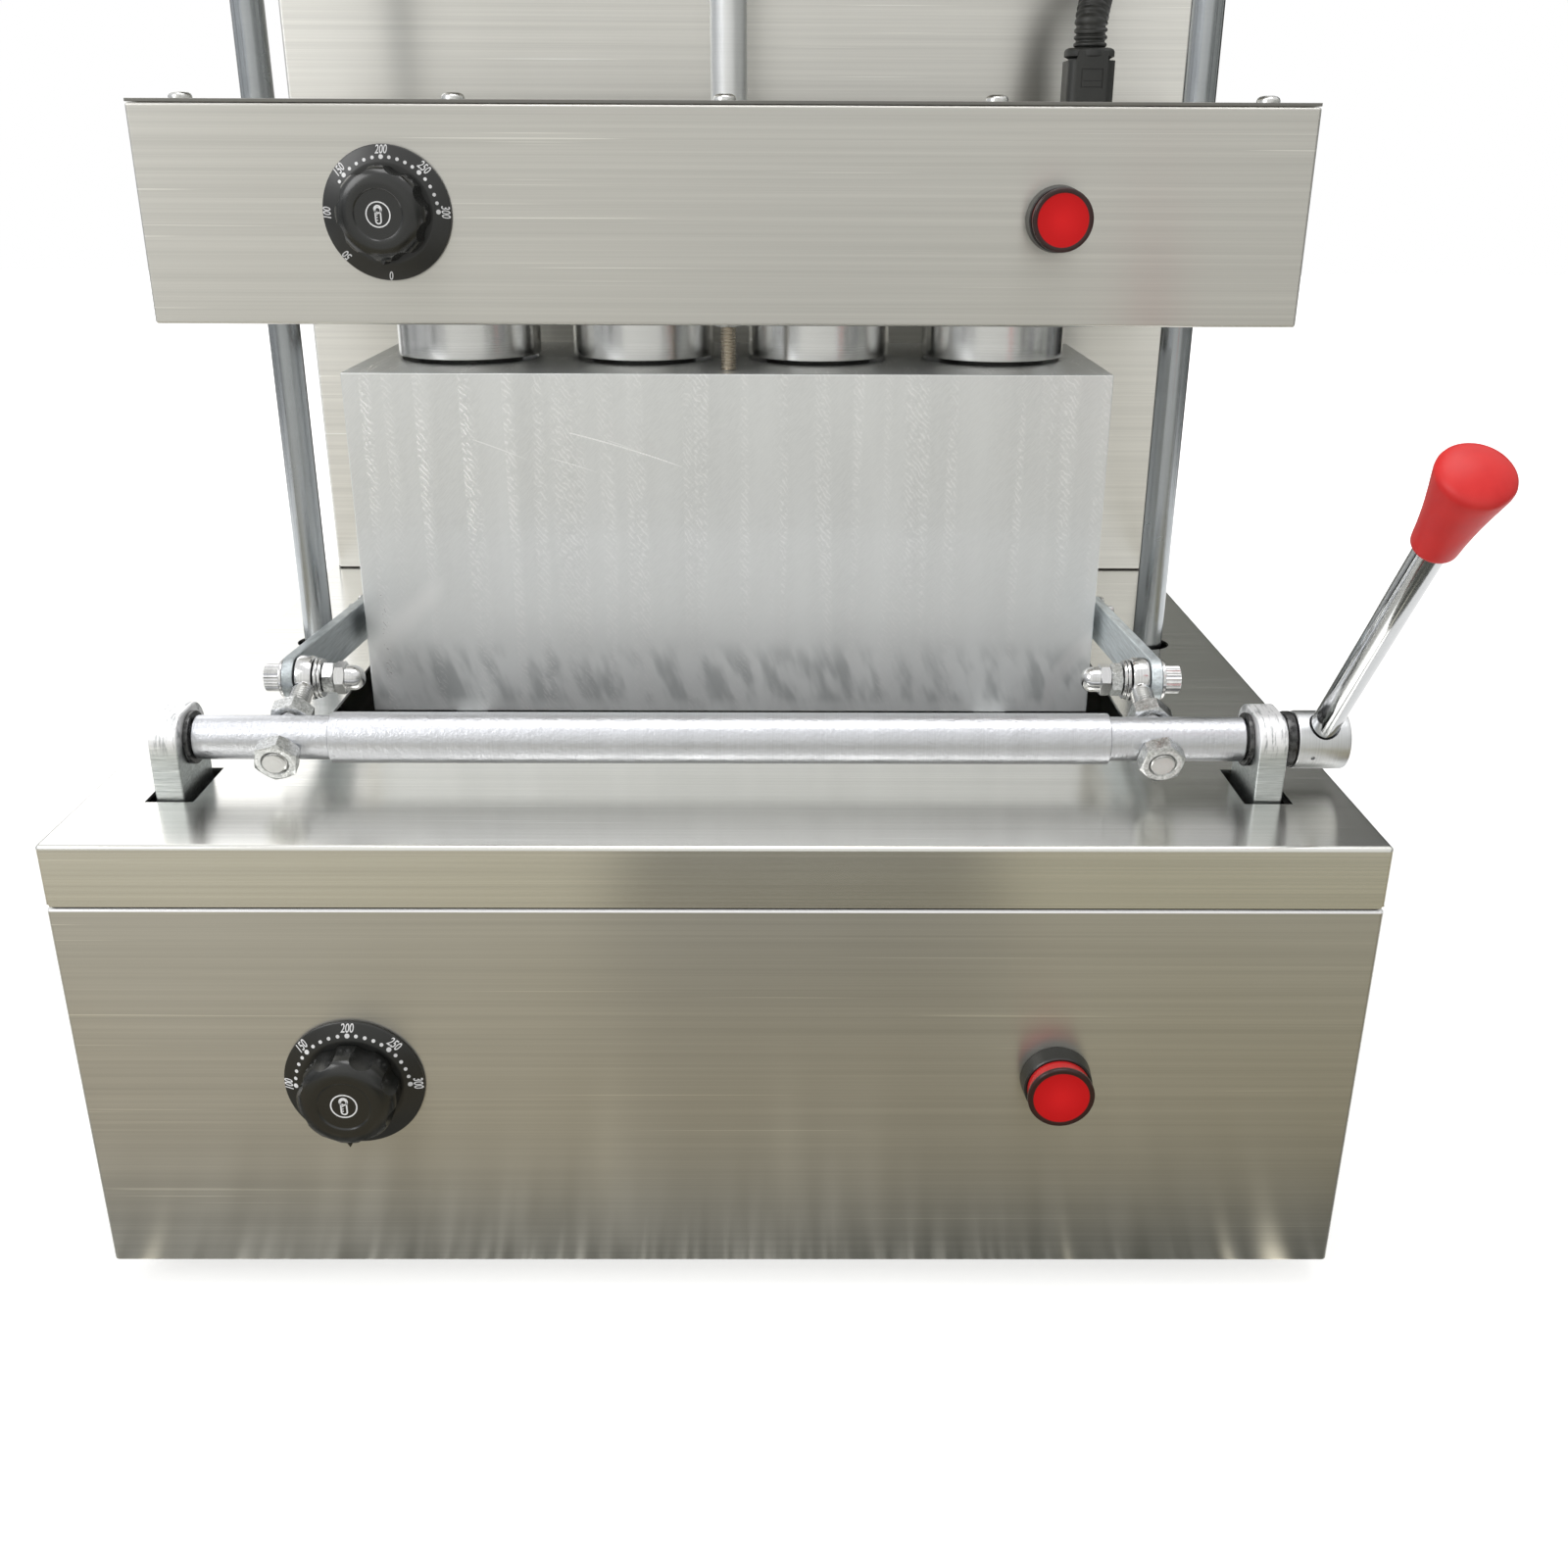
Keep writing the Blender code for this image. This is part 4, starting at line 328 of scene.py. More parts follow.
def card_material(name, colour):
    """A card that glows faintly, so that it looks the same whatever the lamps do."""
    made, tree, shader = new_material(name, (0, 0, 0), 1.0)
    shader.inputs["Specular IOR Level"].default_value = 0
    shader.inputs["Emission Color"].default_value = (*colour, 1)
    shader.inputs["Emission Strength"].default_value = 1
    return made, tree, shader.inputs["Emission Color"]


def card(name, place, turn, width, height, material):
    """A card that only reflections can see."""
    made = plane(name, place, turn, width, height, material)
    made.visible_camera = made.visible_diffuse = made.visible_shadow = made.visible_transmission = False


def wall_card(name, place, turn, width, height, low_tone, high_tone, right_share=1.0):
    """An upright card that is darker near the floor, and to its right where a share is given."""
    material, tree, glow = card_material(name, low_tone)
    apart = axes(tree, object_place(tree))
    tone = blend_colour(tree, ramp(tree, apart["Z"], 0.15, 1.0, smooth=True), low_tone, high_tone)
    side = ramp(tree, apart["X"], -1.0, 1.0, 1.0, right_share)
    wire(tree, blend_colour(tree, 1.0, tone, side, "MULTIPLY"), glow)
    card(name, place, turn, width, height, material)


UPRIGHT = math.pi / 2
wall_card("front_wall", (0, -3.2, 1.3), (UPRIGHT, 0, 0), 6.4, 2.6, (0.72, 0.72, 0.69), (1.0, 1.0, 0.97), 0.84)
wall_card("left_wall", (-1.9, -1.0, 0.85), (UPRIGHT, 0, UPRIGHT), 4.4, 1.7, (0.42, 0.43, 0.43),
          (0.86, 0.88, 0.90))
wall_card("right_wall", (1.9, -1.0, 0.85), (UPRIGHT, 0, UPRIGHT), 4.4, 1.7, (0.26, 0.27, 0.25),
          (0.60, 0.61, 0.58))
wall_card("rear_right_wall", (1.15, 1.3, 0.75), (UPRIGHT, 0, 0), 1.8, 1.5, (0.5, 0.51, 0.45),
          (0.9, 0.92, 0.84), 0.02)
wall_card("rear_left_wall", (-1.1, 1.7, 0.9), (UPRIGHT, 0, 0), 1.7, 1.8, (1.22, 1.22, 1.20),
          (1.28, 1.28, 1.27))
print("soft boxes:", len(bpy.data.lights))

# %% Reflected floor
FRONT_PANEL_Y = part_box("base_shell")[0].y
material, tree, warm_glow = card_material("warm_card", (0.5, 0.45, 0.35))
coords = object_place(tree)
apart = axes(tree, coords)
ahead = math_node(tree, "SUBTRACT", FRONT_PANEL_Y, apart["Y"])
beside = ramp(tree, apart["X"], -0.36, 0.34)
close = blend_colour(tree, beside, (0.46, 0.40, 0.29), (0.345, 0.30, 0.185))
distant = blend_colour(tree, beside, (0.52, 0.485, 0.375), (0.385, 0.36, 0.26))
khaki = blend_colour(tree, ramp(tree, ahead, 0.15, 0.38), close, distant)
aside = apart_from(tree, apart["X"], 0.045)
shade = times(tree, ramp(tree, aside, 0.105, 0.165, 0.66, 0.0, smooth=True), ramp(tree, ahead, 0.17, 0.40))
khaki = blend_colour(tree, shade, khaki, (0, 0, 0))


def streaks(across, along, low, high):
    """Noise that is stretched across and along the card, from 0 below low to 1 above high."""
    stretch = add(tree, "ShaderNodeMapping", Scale=(across, along, 1))
    wire(tree, coords, stretch.inputs["Vector"])
    made = add(tree, "ShaderNodeTexNoise", Scale=1.0, Detail=3.0, Roughness=0.6)
    wire(tree, stretch.outputs[0], made.inputs["Vector"])
    return ramp(tree, made.outputs["Fac"], low, high)


def spots(ground, reach, colour, places):
    """Soft spots on a ground; each has an X, a width and a strength, and reach says how far ahead they go."""
    for x, wide, strength in places:
        spot = ramp(tree, apart_from(tree, apart["X"], x), 0, wide, strength, 0, smooth=True)
        ground = blend_colour(tree, times(tree, spot, reach), ground, colour)
    return ground


bars = times(tree, streaks(24, 0.5, 0.56, 0.66), ramp(tree, ahead, 0.16, 0.05, smooth=True))
khaki = blend_colour(tree, times(tree, bars, 0.30), khaki, (0.95, 0.88, 0.72))
fringe = times(tree, streaks(420, 14, 0.45, 0.66), ramp(tree, apart["X"], -0.1, 0.2, 0.72, 0.36))
fringe = times(tree, fringe, ramp(tree, ahead, 0.024, 0.008, 1.0, 1.5), clamp=True)
foot = blend_colour(tree, ramp(tree, apart["X"], -0.25, 0.1), (0.13, 0.13, 0.11), (0.04, 0.045, 0.035))
foot = blend_colour(tree, fringe, foot, (0.95, 0.94, 0.88))
foot = blend_colour(tree, times(tree, streaks(60, 5, 0.48, 0.7), 0.6), foot, (0.06, 0.065, 0.055))
foot = spots(foot, ramp(tree, ahead, 0.036, 0.012), (1.9, 1.8, 1.5),
             ((0.253, 0.009, 1.0), (0.232, 0.004, 0.6), (-0.262, 0.006, 0.5), (0.158, 0.002, 0.5)))
halfway = times(tree, ramp(tree, ahead, 0.15, 0.10, smooth=True), ramp(tree, ahead, 0.045, 0.06))
khaki = spots(khaki, halfway, (1.3, 1.2, 0.95),
              ((-0.147, 0.007, 0.35), (-0.062, 0.005, 0.75), (0.029, 0.004, 0.65), (0.074, 0.003, 0.35),
               (0.178, 0.008, 0.25), (0.205, 0.008, 0.30), (-0.20, 0.012, 0.30), (-0.10, 0.075, 0.17)))
wire(tree, blend_colour(tree, ramp(tree, ahead, 0.050, 0.112, smooth=True), foot, khaki), warm_glow)
CARD_DEPTH = 0.80
FLOOR_CARD_DEPTH = 2.1
OVER_FLOOR = 0.0006
card("warm_card", (0, FRONT_PANEL_Y - CARD_DEPTH / 2 - 0.0005, OVER_FLOOR), (0, 0, 0), 2.4, CARD_DEPTH,
     material)
material = card_material("front_floor", (0.74, 0.74, 0.71))[0]
card("front_floor", (0, FRONT_PANEL_Y - CARD_DEPTH - FLOOR_CARD_DEPTH / 2, OVER_FLOOR), (0, 0, 0), 3.8,
     FLOOR_CARD_DEPTH, material)
print("warm card:", len(tree.nodes), "nodes")

# %% Narrow cards
DARK_CARDS = ((-128, 0.30, 0.10), (-112, 0.10, 0.06), (-88, 0.22, 0.30), (-67, 0.05, 0.05), (-52, 0.16, 0.16),
              (-36, 0.04, 0.30), (34, 0.05, 0.25), (47, 0.12, 0.10), (61, 0.26, 0.20), (80, 0.08, 0.05),
              (97, 0.22, 0.12), (121, 0.34, 0.05))
CARD_CIRCLE = 1.6
DARK_CARD_HEIGHT = 0.84
for number, (degrees, width, tone) in enumerate(DARK_CARDS, start=1):
    turn = math.radians(degrees)
    place = (math.sin(turn) * CARD_CIRCLE, -math.cos(turn) * CARD_CIRCLE, DARK_CARD_HEIGHT / 2)
    material = card_material(f"dark_card_{number}", (tone, tone, tone * 1.04))[0]
    card(f"dark_card_{number}", place, (UPRIGHT, 0, turn), width, DARK_CARD_HEIGHT, material)
print("dark cards:", len(DARK_CARDS))

# %% [markdown]
# ## Helpers for meshes
#
# Nearly every part of this machine is either turned on a lathe, cut from a block
# or folded from sheet. So three shapers do most of the work: a profile that is
# spun round an axis, a block, and a folded box. A fourth helper rounds every
# sharp edge a little, because no real edge is perfectly sharp, and that small
# round is what catches the light.

# %% Shapes
WELD = 0.000002


def at(place, along=(0, 0, 1), across=(1, 0, 0)):
    """Where a piece goes: its own +Z turned to along, and its +X towards across."""
    z = Vector(along).normalized()
    x = (Vector(across) - z * z.dot(Vector(across))).normalized()
    made = Matrix((x, z.cross(x), z)).transposed().to_4x4()
    made.translation = Vector(place)
    return made


def raised(place, height):
    """The same place, higher up on its own +Z."""
    return place @ Matrix.Translation((0, 0, height))


def block(low, high):
    bm = bmesh.new()
    bmesh.ops.create_cube(bm, size=1)
    bmesh.ops.scale(bm, vec=Vector(high) - Vector(low), verts=bm.verts)
    bmesh.ops.translate(bm, vec=(Vector(high) + Vector(low)) / 2, verts=bm.verts)
    return bm


def lathe(profile, steps=64, closed=False):
    """Spins points of (radius, height) round +Z; a closed profile makes a ring."""
    bm = bmesh.new()
    points = [bm.verts.new((radius, 0, height)) for radius, height in profile]
    lines = [bm.edges.new(ends) for ends in zip(points, points[1:])]
    if closed:
        lines.append(bm.edges.new((points[-1], points[0])))
    bmesh.ops.spin(bm, geom=points + lines, cent=(0, 0, 0), axis=(0, 0, 1), angle=math.tau,
                   steps=steps, use_merge=True, use_duplicate=False)
    bmesh.ops.remove_doubles(bm, verts=bm.verts, dist=WELD)
    bmesh.ops.recalc_face_normals(bm, faces=bm.faces)
    return bm


def in_mm(*points):
    """A profile that is written in millimetres."""
    return [(radius * MM, height * MM) for radius, height in points]


def plain_rod(radius, start, end, edge=0.4 * MM):
    """The profile of a rod with a chamfer at each end."""
    return [(0, end), (radius - edge, end), (radius, end - edge), (radius, start + edge),
            (radius - edge, start), (0, start)]


def prism(radius, start, end, sides=6, turn=0.0):
    """An upright prism or cylinder from start to end."""
    bm = bmesh.new()
    bmesh.ops.create_cone(bm, cap_ends=True, segments=sides, radius1=radius, radius2=radius,
                          depth=end - start)
    bmesh.ops.rotate(bm, matrix=Matrix.Rotation(turn, 3, "Z"), verts=bm.verts)
    bmesh.ops.translate(bm, vec=(0, 0, (start + end) / 2), verts=bm.verts)
    return bm


print("helpers for shapes ready")

# %% Edges and holes
def soften(bm, width, segments=3, degrees=30):
    """Rounds each edge that turns by more than some degrees."""
    sharp = [edge for edge in bm.edges
             if len(edge.link_faces) == 2 and edge.calc_face_angle() > math.radians(degrees)]
    bmesh.ops.bevel(bm, geom=sharp, offset=width, segments=segments, profile=0.5, affect="EDGES",
                    material=-1, clamp_overlap=True)
    return bm


def round_edges(bm, axis, width, segments):
    """Rounds the edges of a block that run along one axis."""
    along = [edge for edge in bm.edges if abs(edge.verts[0].co[axis] - edge.verts[1].co[axis]) > 1 * MM]
    bmesh.ops.bevel(bm, geom=along, offset=width, segments=segments, profile=0.5, affect="EDGES", material=-1)
    return bm


def hole(x, y, z, radius, steps=48, reach=10 * MM):
    """An upright drill through a sheet."""
    made = prism(radius, -reach, reach, steps)
    bmesh.ops.translate(made, vec=(x, y, z), verts=made.verts)
    return made


def middle_of(node):
    low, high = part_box(node)
    return [(a + b) / 2 for a, b in zip(low, high)]


print("helpers for edges and holes ready")

# %% Objects and cuts
def as_object(name, bm, place=None):
    """A bmesh as an object at the origin, with its place in its mesh."""
    if place is not None:
        bmesh.ops.transform(bm, matrix=place, verts=bm.verts)
    mesh = bpy.data.meshes.new(name)
    bm.to_mesh(mesh)
    bm.free()
    made = bpy.data.objects.new(name, mesh)
    scene.collection.objects.link(made)
    return made


def settle(piece):
    """Turns what a piece's modifiers show into its own mesh."""
    graph = bpy.context.evaluated_depsgraph_get()
    mesh = bpy.data.meshes.new_from_object(piece.evaluated_get(graph))
    piece.modifiers.clear()
    piece.data = mesh
    return piece


def combine(piece, operation, *tools):
    """Cuts tools out of a piece, or keeps what both share, or unites them. The tools are bmeshes."""
    helpers = [as_object("tool", tool) for tool in tools]
    for helper in helpers:
        boolean = piece.modifiers.new("combine", "BOOLEAN")
        boolean.operation = operation
        boolean.solver = "EXACT"
        boolean.object = helper
    settle(piece)
    for helper in helpers:
        bpy.data.objects.remove(helper, do_unlink=True)
    return piece


def cut(piece, *tools):
    return combine(piece, "DIFFERENCE", *tools)


def soften_piece(piece, width, segments=2, degrees=35):
    bm = bmesh.new()
    bm.from_mesh(piece.data)
    soften(bm, width, segments, degrees)
    bm.to_mesh(piece.data)
    bm.free()
    return piece


print("helpers for objects and cuts ready")

# %% Finishing a piece
made_count = 0


def finish_piece(piece, body, slot, material, *nodes, degrees=38):
    """Shades a piece, gives it its material, and says what it rides on and what it replaces. The slot is not
    used.
    """
    global made_count
    mesh = piece.data
    mesh.shade_smooth()
    mesh.set_sharp_from_angle(angle=math.radians(degrees))
    weighted = piece.modifiers.new("weighted", "WEIGHTED_NORMAL")
    weighted.keep_sharp = True
    settle(piece)
    piece.data.materials.clear()
    piece.data.materials.append(material)
    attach(piece, body)
    if nodes:
        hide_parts(*nodes)
    made_count += 1
    return piece


print("helper for finishing ready")

# %% [markdown]
# ## The brushed finish
#
# The sheets are stainless steel, brushed along their length with a belt. Up
# close that is a field of fine parallel grooves with a few deeper scratches. It
# could be an image, but noise that is stretched a hundred times along the grain
# gives the same thing at any scale. The group below reads the place on the
# object, and turns the grain on the end faces, where the belt ran front to back.

# %% Grain group
def vector_mix(tree, mask, first, second):
    made = add(tree, "ShaderNodeMix", data_type="VECTOR")
    wire(tree, mask, made.inputs[0])
    wire(tree, first, made.inputs[4])
    wire(tree, second, made.inputs[5])
    return made.outputs[1]


def scaled(tree, vector, scale, place=(0, 0, 0)):
    made = add(tree, "ShaderNodeMapping", Scale=scale, Location=place)
    wire(tree, vector, made.inputs["Vector"])
    return made.outputs[0]


def noise_of(tree, vector, detail=2.0, roughness=0.5):
    made = add(tree, "ShaderNodeTexNoise", Scale=1.0, Detail=detail, Roughness=roughness)
    wire(tree, vector, made.inputs["Vector"])
    return made.outputs["Fac"]


grain_group, ins, outs = new_group(
    "sheet_grain", [("Along", "NodeSocketFloat", 4.0), ("Across", "NodeSocketFloat", 2400.0)],
    [("Tone", "NodeSocketFloat"), ("Scratches", "NodeSocketFloat"), ("Height", "NodeSocketFloat")])
tree = grain_group
normal = axes(tree, add(tree, "ShaderNodeNewGeometry").outputs["Normal"])
on_end = math_node(tree, "GREATER_THAN", math_node(tree, "ABSOLUTE", normal["X"]), 0.7)
lengthwise = add(tree, "ShaderNodeCombineXYZ")
crosswise = add(tree, "ShaderNodeCombineXYZ")
for made, names in ((lengthwise, ("Along", "Across", "Across")), (crosswise, ("Across", "Along", "Across"))):
    for axis, name in zip("XYZ", names):
        wire(tree, ins.outputs[name], made.inputs[axis])
stretch = add(tree, "ShaderNodeVectorMath", operation="MULTIPLY")
wire(tree, object_place(tree), stretch.inputs[0])
wire(tree, vector_mix(tree, on_end, lengthwise.outputs[0], crosswise.outputs[0]), stretch.inputs[1])
fine = noise_of(tree, stretch.outputs[0], 2.0, 0.6)
broad = noise_of(tree, scaled(tree, stretch.outputs[0], (0.6, 0.2, 0.2)), 3.0)
lone = noise_of(tree, scaled(tree, stretch.outputs[0], (1.4, 0.42, 0.42), (7, 3, 5)), 0.0)
wire(tree, math_node(tree, "ADD", times(tree, fine, 0.4), times(tree, broad, 0.6)), outs.inputs["Tone"])
wire(tree, ramp(tree, lone, 0.79, 0.84), outs.inputs["Scratches"])
wire(tree, fine, outs.inputs["Height"])

smudge_group, ins, outs = new_group("smudges", [("Size", "NodeSocketFloat", 30.0)],
                                    [("Amount", "NodeSocketFloat")])
tree = smudge_group
clouds = add(tree, "ShaderNodeTexNoise", Detail=4.0, Roughness=0.55)
wire(tree, object_place(tree), clouds.inputs["Vector"])
wire(tree, ins.outputs["Size"], clouds.inputs["Scale"])
wire(tree, ramp(tree, clouds.outputs["Fac"], 0.3, 0.7), outs.inputs["Amount"])
print("sheet grain:", len(grain_group.nodes), "nodes, smudges:", len(smudge_group.nodes))

# %% Brushed steel
def tint(colour, factor):
    return tuple(channel * factor for channel in colour)


def brushed_steel(name, colour, roughness=0.30, spread=0.85, dark_above=None, dark_foot=None,
                  dark_edges=False):
    """Sheet steel whose reflections smear across the grain. It may get painted shade in a seam's recess with
    a painted highlight on the bend below it, painted shade along its foot, and darker sheared edges.
    """
    made, tree, shader = new_material(name, colour, roughness, 1.0, Anisotropic=spread)
    grain = use_group(tree, grain_group)
    smudge = use_group(tree, smudge_group, Size=7.0).outputs["Amount"]
    tone = blend_colour(tree, ramp(tree, grain.outputs["Tone"], 0.36, 0.64), tint(colour, 0.93),
                        tint(colour, 1.07))
    tone = blend_colour(tree, times(tree, grain.outputs["Scratches"], 0.6), tone, tint(colour, 1.5))
    if dark_above or dark_foot:
        height = axes(tree, object_place(tree))["Z"]
    if dark_above:
        # Painted shade in the seam's recess above the wall, and a painted highlight on the wall's top bend
        # just below it: white and less metallic there.
        painted_seam_shade = ramp(tree, height, dark_above, dark_above + 0.1 * MM)
        bend = ramp(tree, height, dark_above - 1.25 * MM, dark_above - 0.95 * MM)
        tone = blend_colour(tree, bend, tone, (1, 1, 1))
        tone = blend_colour(tree, painted_seam_shade, tone, (0.015, 0.015, 0.014))
        wire(tree, ramp(tree, bend, 0, 1, 1.0, 0.3), shader.inputs["Metallic"])
    if dark_foot:
        # Painted shade along the foot, where this sheet meets the one below it.
        tone = blend_colour(tree, ramp(tree, height, dark_foot + 0.6 * MM, dark_foot + 0.9 * MM),
                            (0.03, 0.025, 0.02), tone)
    if dark_edges:
        normal = axes(tree, add(tree, "ShaderNodeNewGeometry").outputs["Normal"])
        flat = math_node(tree, "ABSOLUTE", normal["Z"])
        tone = blend_colour(tree, ramp(tree, flat, 0.5, 0.2), tone, tint(colour, 0.35))
    wire(tree, tone, shader.inputs["Base Color"])
    wire(tree, ramp(tree, smudge, 0, 1, roughness - 0.015, roughness + 0.02), shader.inputs["Roughness"])
    emboss(tree, shader, grain.outputs["Height"], 0.35, 0.01 * MM)
    across = add(tree, "ShaderNodeTangent", direction_type="UV_MAP", uv_map="grain")
    wire(tree, across.outputs[0], shader.inputs["Tangent"])
    return made


STEEL = (0.60, 0.59, 0.555)
steel = brushed_steel("brushed_steel", STEEL)
print("brushed steel:", len(steel.node_tree.nodes), "nodes")

# %% Direction of the grain
def grain_map(piece):
    """A UV map whose U runs across the grain and V along it, so the shader knows the belt's direction."""
    bm = bmesh.new()
    bm.from_mesh(piece.data)
    layer = bm.loops.layers.uv.new("grain")
    for face in bm.faces:
        normal = [abs(value) for value in face.normal]
        for loop in face.loops:
            x, y, z = loop.vert.co
            if normal[0] > max(normal[1:]):
                loop[layer].uv = (z, y)
            elif normal[1] > normal[2]:
                loop[layer].uv = (z, x)
            else:
                loop[layer].uv = (y, x)
    bm.to_mesh(piece.data)
    bm.free()
    return piece


print("grain map ready")

# %% [markdown]
# ## Folded sheet boxes
#
# Base, lid, head, column and top housing are all boxes folded from 1.5 mm sheet
# on a press brake. Each starts as a cube without its open sides. Its folds are
# bevelled to the bend's radius, and its open edges extruded into the inner rims
# that the next sheet rests on. Solidify then gives the wall its thickness,
# inwards, so that the outside stays where the CAD model has it.

# %% Sheet and folds
SHEET = 1.5 * MM
BEND = 2.0 * MM
BEND_STEPS = 6
STEP = SHEET + 0.3 * MM


def fold_rim(bm, level, centre, inset, rise):
    """Extrudes the open edge at a level: inwards by inset, then up by rise."""
    rim = [edge for edge in bm.edges
           if edge.is_boundary and all(abs(vert.co.z - level) < WELD for vert in edge.verts)]
    grown = bmesh.ops.extrude_edge_only(bm, edges=rim)["geom"]
    for vert in (item for item in grown if isinstance(item, bmesh.types.BMVert)):
        vert.co.x -= math.copysign(inset, vert.co.x - centre.x)
        vert.co.y -= math.copysign(inset, vert.co.y - centre.y)
        vert.co.z += rise
    return level + rise


def round_corners(bm, low, high, bend):
    """Lifts the lower edge of a skirt where it runs round an upright bend."""
    for vert in bm.verts:
        x = min(abs(vert.co.x - low[0]), abs(vert.co.x - high[0]))
        y = min(abs(vert.co.y - low[1]), abs(vert.co.y - high[1]))
        if abs(vert.co.z - low[2]) < WELD and x < bend - WELD and y < bend - WELD:
            vert.co.z += 0.9 * bend * (1 - (x + y) / (2 * bend))


print("sheet", SHEET, "m thick, with bends of", BEND, "m")

# %% Folded box
def folded_box(name, low, high, open_sides, top_rims=(), bottom_rims=(), rim_bend=0.9 * MM, bend=BEND):
    bm = block(low, high)
    sides = {"top": (0, 0, 1), "bottom": (0, 0, -1), "rear": (0, 1, 0)}
    gone = [face for face in bm.faces
            if any(face.normal.dot(Vector(sides[side])) > 0.5 for side in open_sides)]
    bmesh.ops.delete(bm, geom=gone, context="FACES")
    folds = [edge for edge in bm.edges if not edge.is_boundary]
    bmesh.ops.bevel(bm, geom=folds, offset=bend, segments=BEND_STEPS, profile=0.5, affect="EDGES",
                    material=-1)
    if "bottom" in open_sides and not bottom_rims:
        round_corners(bm, low, high, bend)
    centre = (Vector(low) + Vector(high)) / 2
    for level, rims in ((high[2], top_rims), (low[2], bottom_rims)):
        for inset, rise in rims:
            loop = [edge for edge in bm.edges
                    if edge.is_boundary and all(abs(vert.co.z - level) < WELD for vert in edge.verts)]
            level = fold_rim(bm, level, centre, inset, rise)
            bmesh.ops.bevel(bm, geom=loop, offset=min(rim_bend, inset * 0.62 or abs(rise) * 0.3), segments=3,
                            profile=0.5, affect="EDGES", material=-1)
    piece = as_object(name, bm)
    wall = piece.modifiers.new("wall", "SOLIDIFY")
    wall.thickness = SHEET
    wall.offset = -1
    wall.use_even_offset = True
    return settle(piece)


def steel_piece(piece, body, *nodes, material=None):
    finish_piece(piece, body, "brushed_steel", material or steel, *nodes)
    return grain_map(piece)


def room_of(*names):
    """The box round several CAD nodes."""
    boxes = [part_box(name) for name in names]
    low = Vector(min(box[0][axis] for box in boxes) for axis in range(3))
    high = Vector(max(box[1][axis] for box in boxes) for axis in range(3))
    return low, high


print("folded box ready")

# %% Base casing and lid
base_low, shell_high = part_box("base_shell")
lid_low, base_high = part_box("base_lid")
LID_TOP = base_high.z
SEAM = 1.1 * MM
WALL_TOP = lid_low.z - SEAM
shell = folded_box("base_casing", base_low, (base_high.x, base_high.y, WALL_TOP), ("top", "bottom"),
                   top_rims=((STEP, 0), (0, shell_high.z - WALL_TOP)), bottom_rims=((14 * MM, 0),),
                   rim_bend=1.2 * MM)
# The base's steel gets painted shade in the seam under the lid, and a painted highlight on the wall's top
# bend.
steel_piece(shell, "base", "base_shell",
            material=brushed_steel("base_steel", STEEL, dark_above=WALL_TOP + 0.05 * MM))

BOSS_RADIUS = 12.5 * MM
SHAFT_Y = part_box("lever_boss")[0].y + BOSS_RADIUS
SHAFT_Z = middle_of("lever_boss")[2]
ROD_X = middle_of("guide_rod_right")[0]
ROD_Y = middle_of("cone_mould_1")[1]
block_low, block_high = room_of("front_mould", "rear_mould")
lid = folded_box("base_lid_plate", lid_low, base_high, ("bottom",))
ABOVE = Vector((0, 0, 10 * MM))
SLOT_GAP, POST_GAP = 6.3 * MM, 4.25 * MM
slot_low = Vector((block_low.x - SLOT_GAP, block_low.y - 74 * MM, LID_TOP)) - ABOVE
slot_high = Vector((block_high.x + SLOT_GAP, block_high.y + 10 * MM, LID_TOP)) + ABOVE
cutters = [block(slot_low, slot_high)]
rear_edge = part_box("column_rear_cover")[1].y


def wire_way(level):
    """The opening through which the wires go up inside the column."""
    return block(Vector((-60 * MM, rear_edge - 60 * MM, level)) - ABOVE,
                 Vector((60 * MM, rear_edge - 10 * MM, level)) + ABOVE)


cutters.append(wire_way(LID_TOP))
SIDES = (("left", -1), ("right", 1))
post_boxes = {side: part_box(f"shaft_post_{side}") for side, _ in SIDES}
for side, sign in SIDES:
    low, high = post_boxes[side]
    cutters.append(block(Vector((low.x - POST_GAP, low.y - 2 * MM, LID_TOP)) - ABOVE,
                         Vector((high.x + POST_GAP, high.y + 2 * MM, LID_TOP)) + ABOVE))
    cutters.append(hole(sign * ROD_X, ROD_Y, LID_TOP, 12 * MM, 64))
# The lid's steel is the same sheet steel painted lighter, a lit copy for its upward face where the light from
# above falls.
steel_piece(cut(lid, *cutters), "base", "base_lid",
            material=brushed_steel("lid_steel", (0.77, 0.765, 0.73), roughness=0.21, spread=0.78))
print("base", [round(value, 4) for value in base_high - base_low])

# %% Head box and its cover
head_low, head_shell_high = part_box("head_shell")
cover_low, cover_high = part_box("head_cover")
HEAD_BEND = 1.3 * MM
head = folded_box("head_casing", head_low, head_shell_high, ("top", "bottom"),
                  top_rims=((12 * MM, 0),), bottom_rims=((12 * MM, 0),), rim_bend=HEAD_BEND, bend=HEAD_BEND)
steel_piece(head, "press_head", "head_shell")
COVER_SETBACK = Vector((0.9 * MM, 1.7 * MM, 0))
cover = as_object("head_cover_plate",
                  soften(block(cover_low + COVER_SETBACK, cover_high - COVER_SETBACK), 0.2 * MM, 2))
hose_x, hose_y, _ = middle_of("head_hose_fitting")
holes = [hole(x, y, cover_high.z, radius * MM)
         for x, y, radius in ((-ROD_X, ROD_Y, 9), (ROD_X, ROD_Y, 9), (0, ROD_Y, 9.3), (hose_x, hose_y, 8.3))]
steel_piece(cut(cover, *holes), "press_head", "head_cover",
            material=brushed_steel("cover_steel", STEEL, dark_edges=True))
print("head", [round(value, 4) for value in cover_high - head_low])

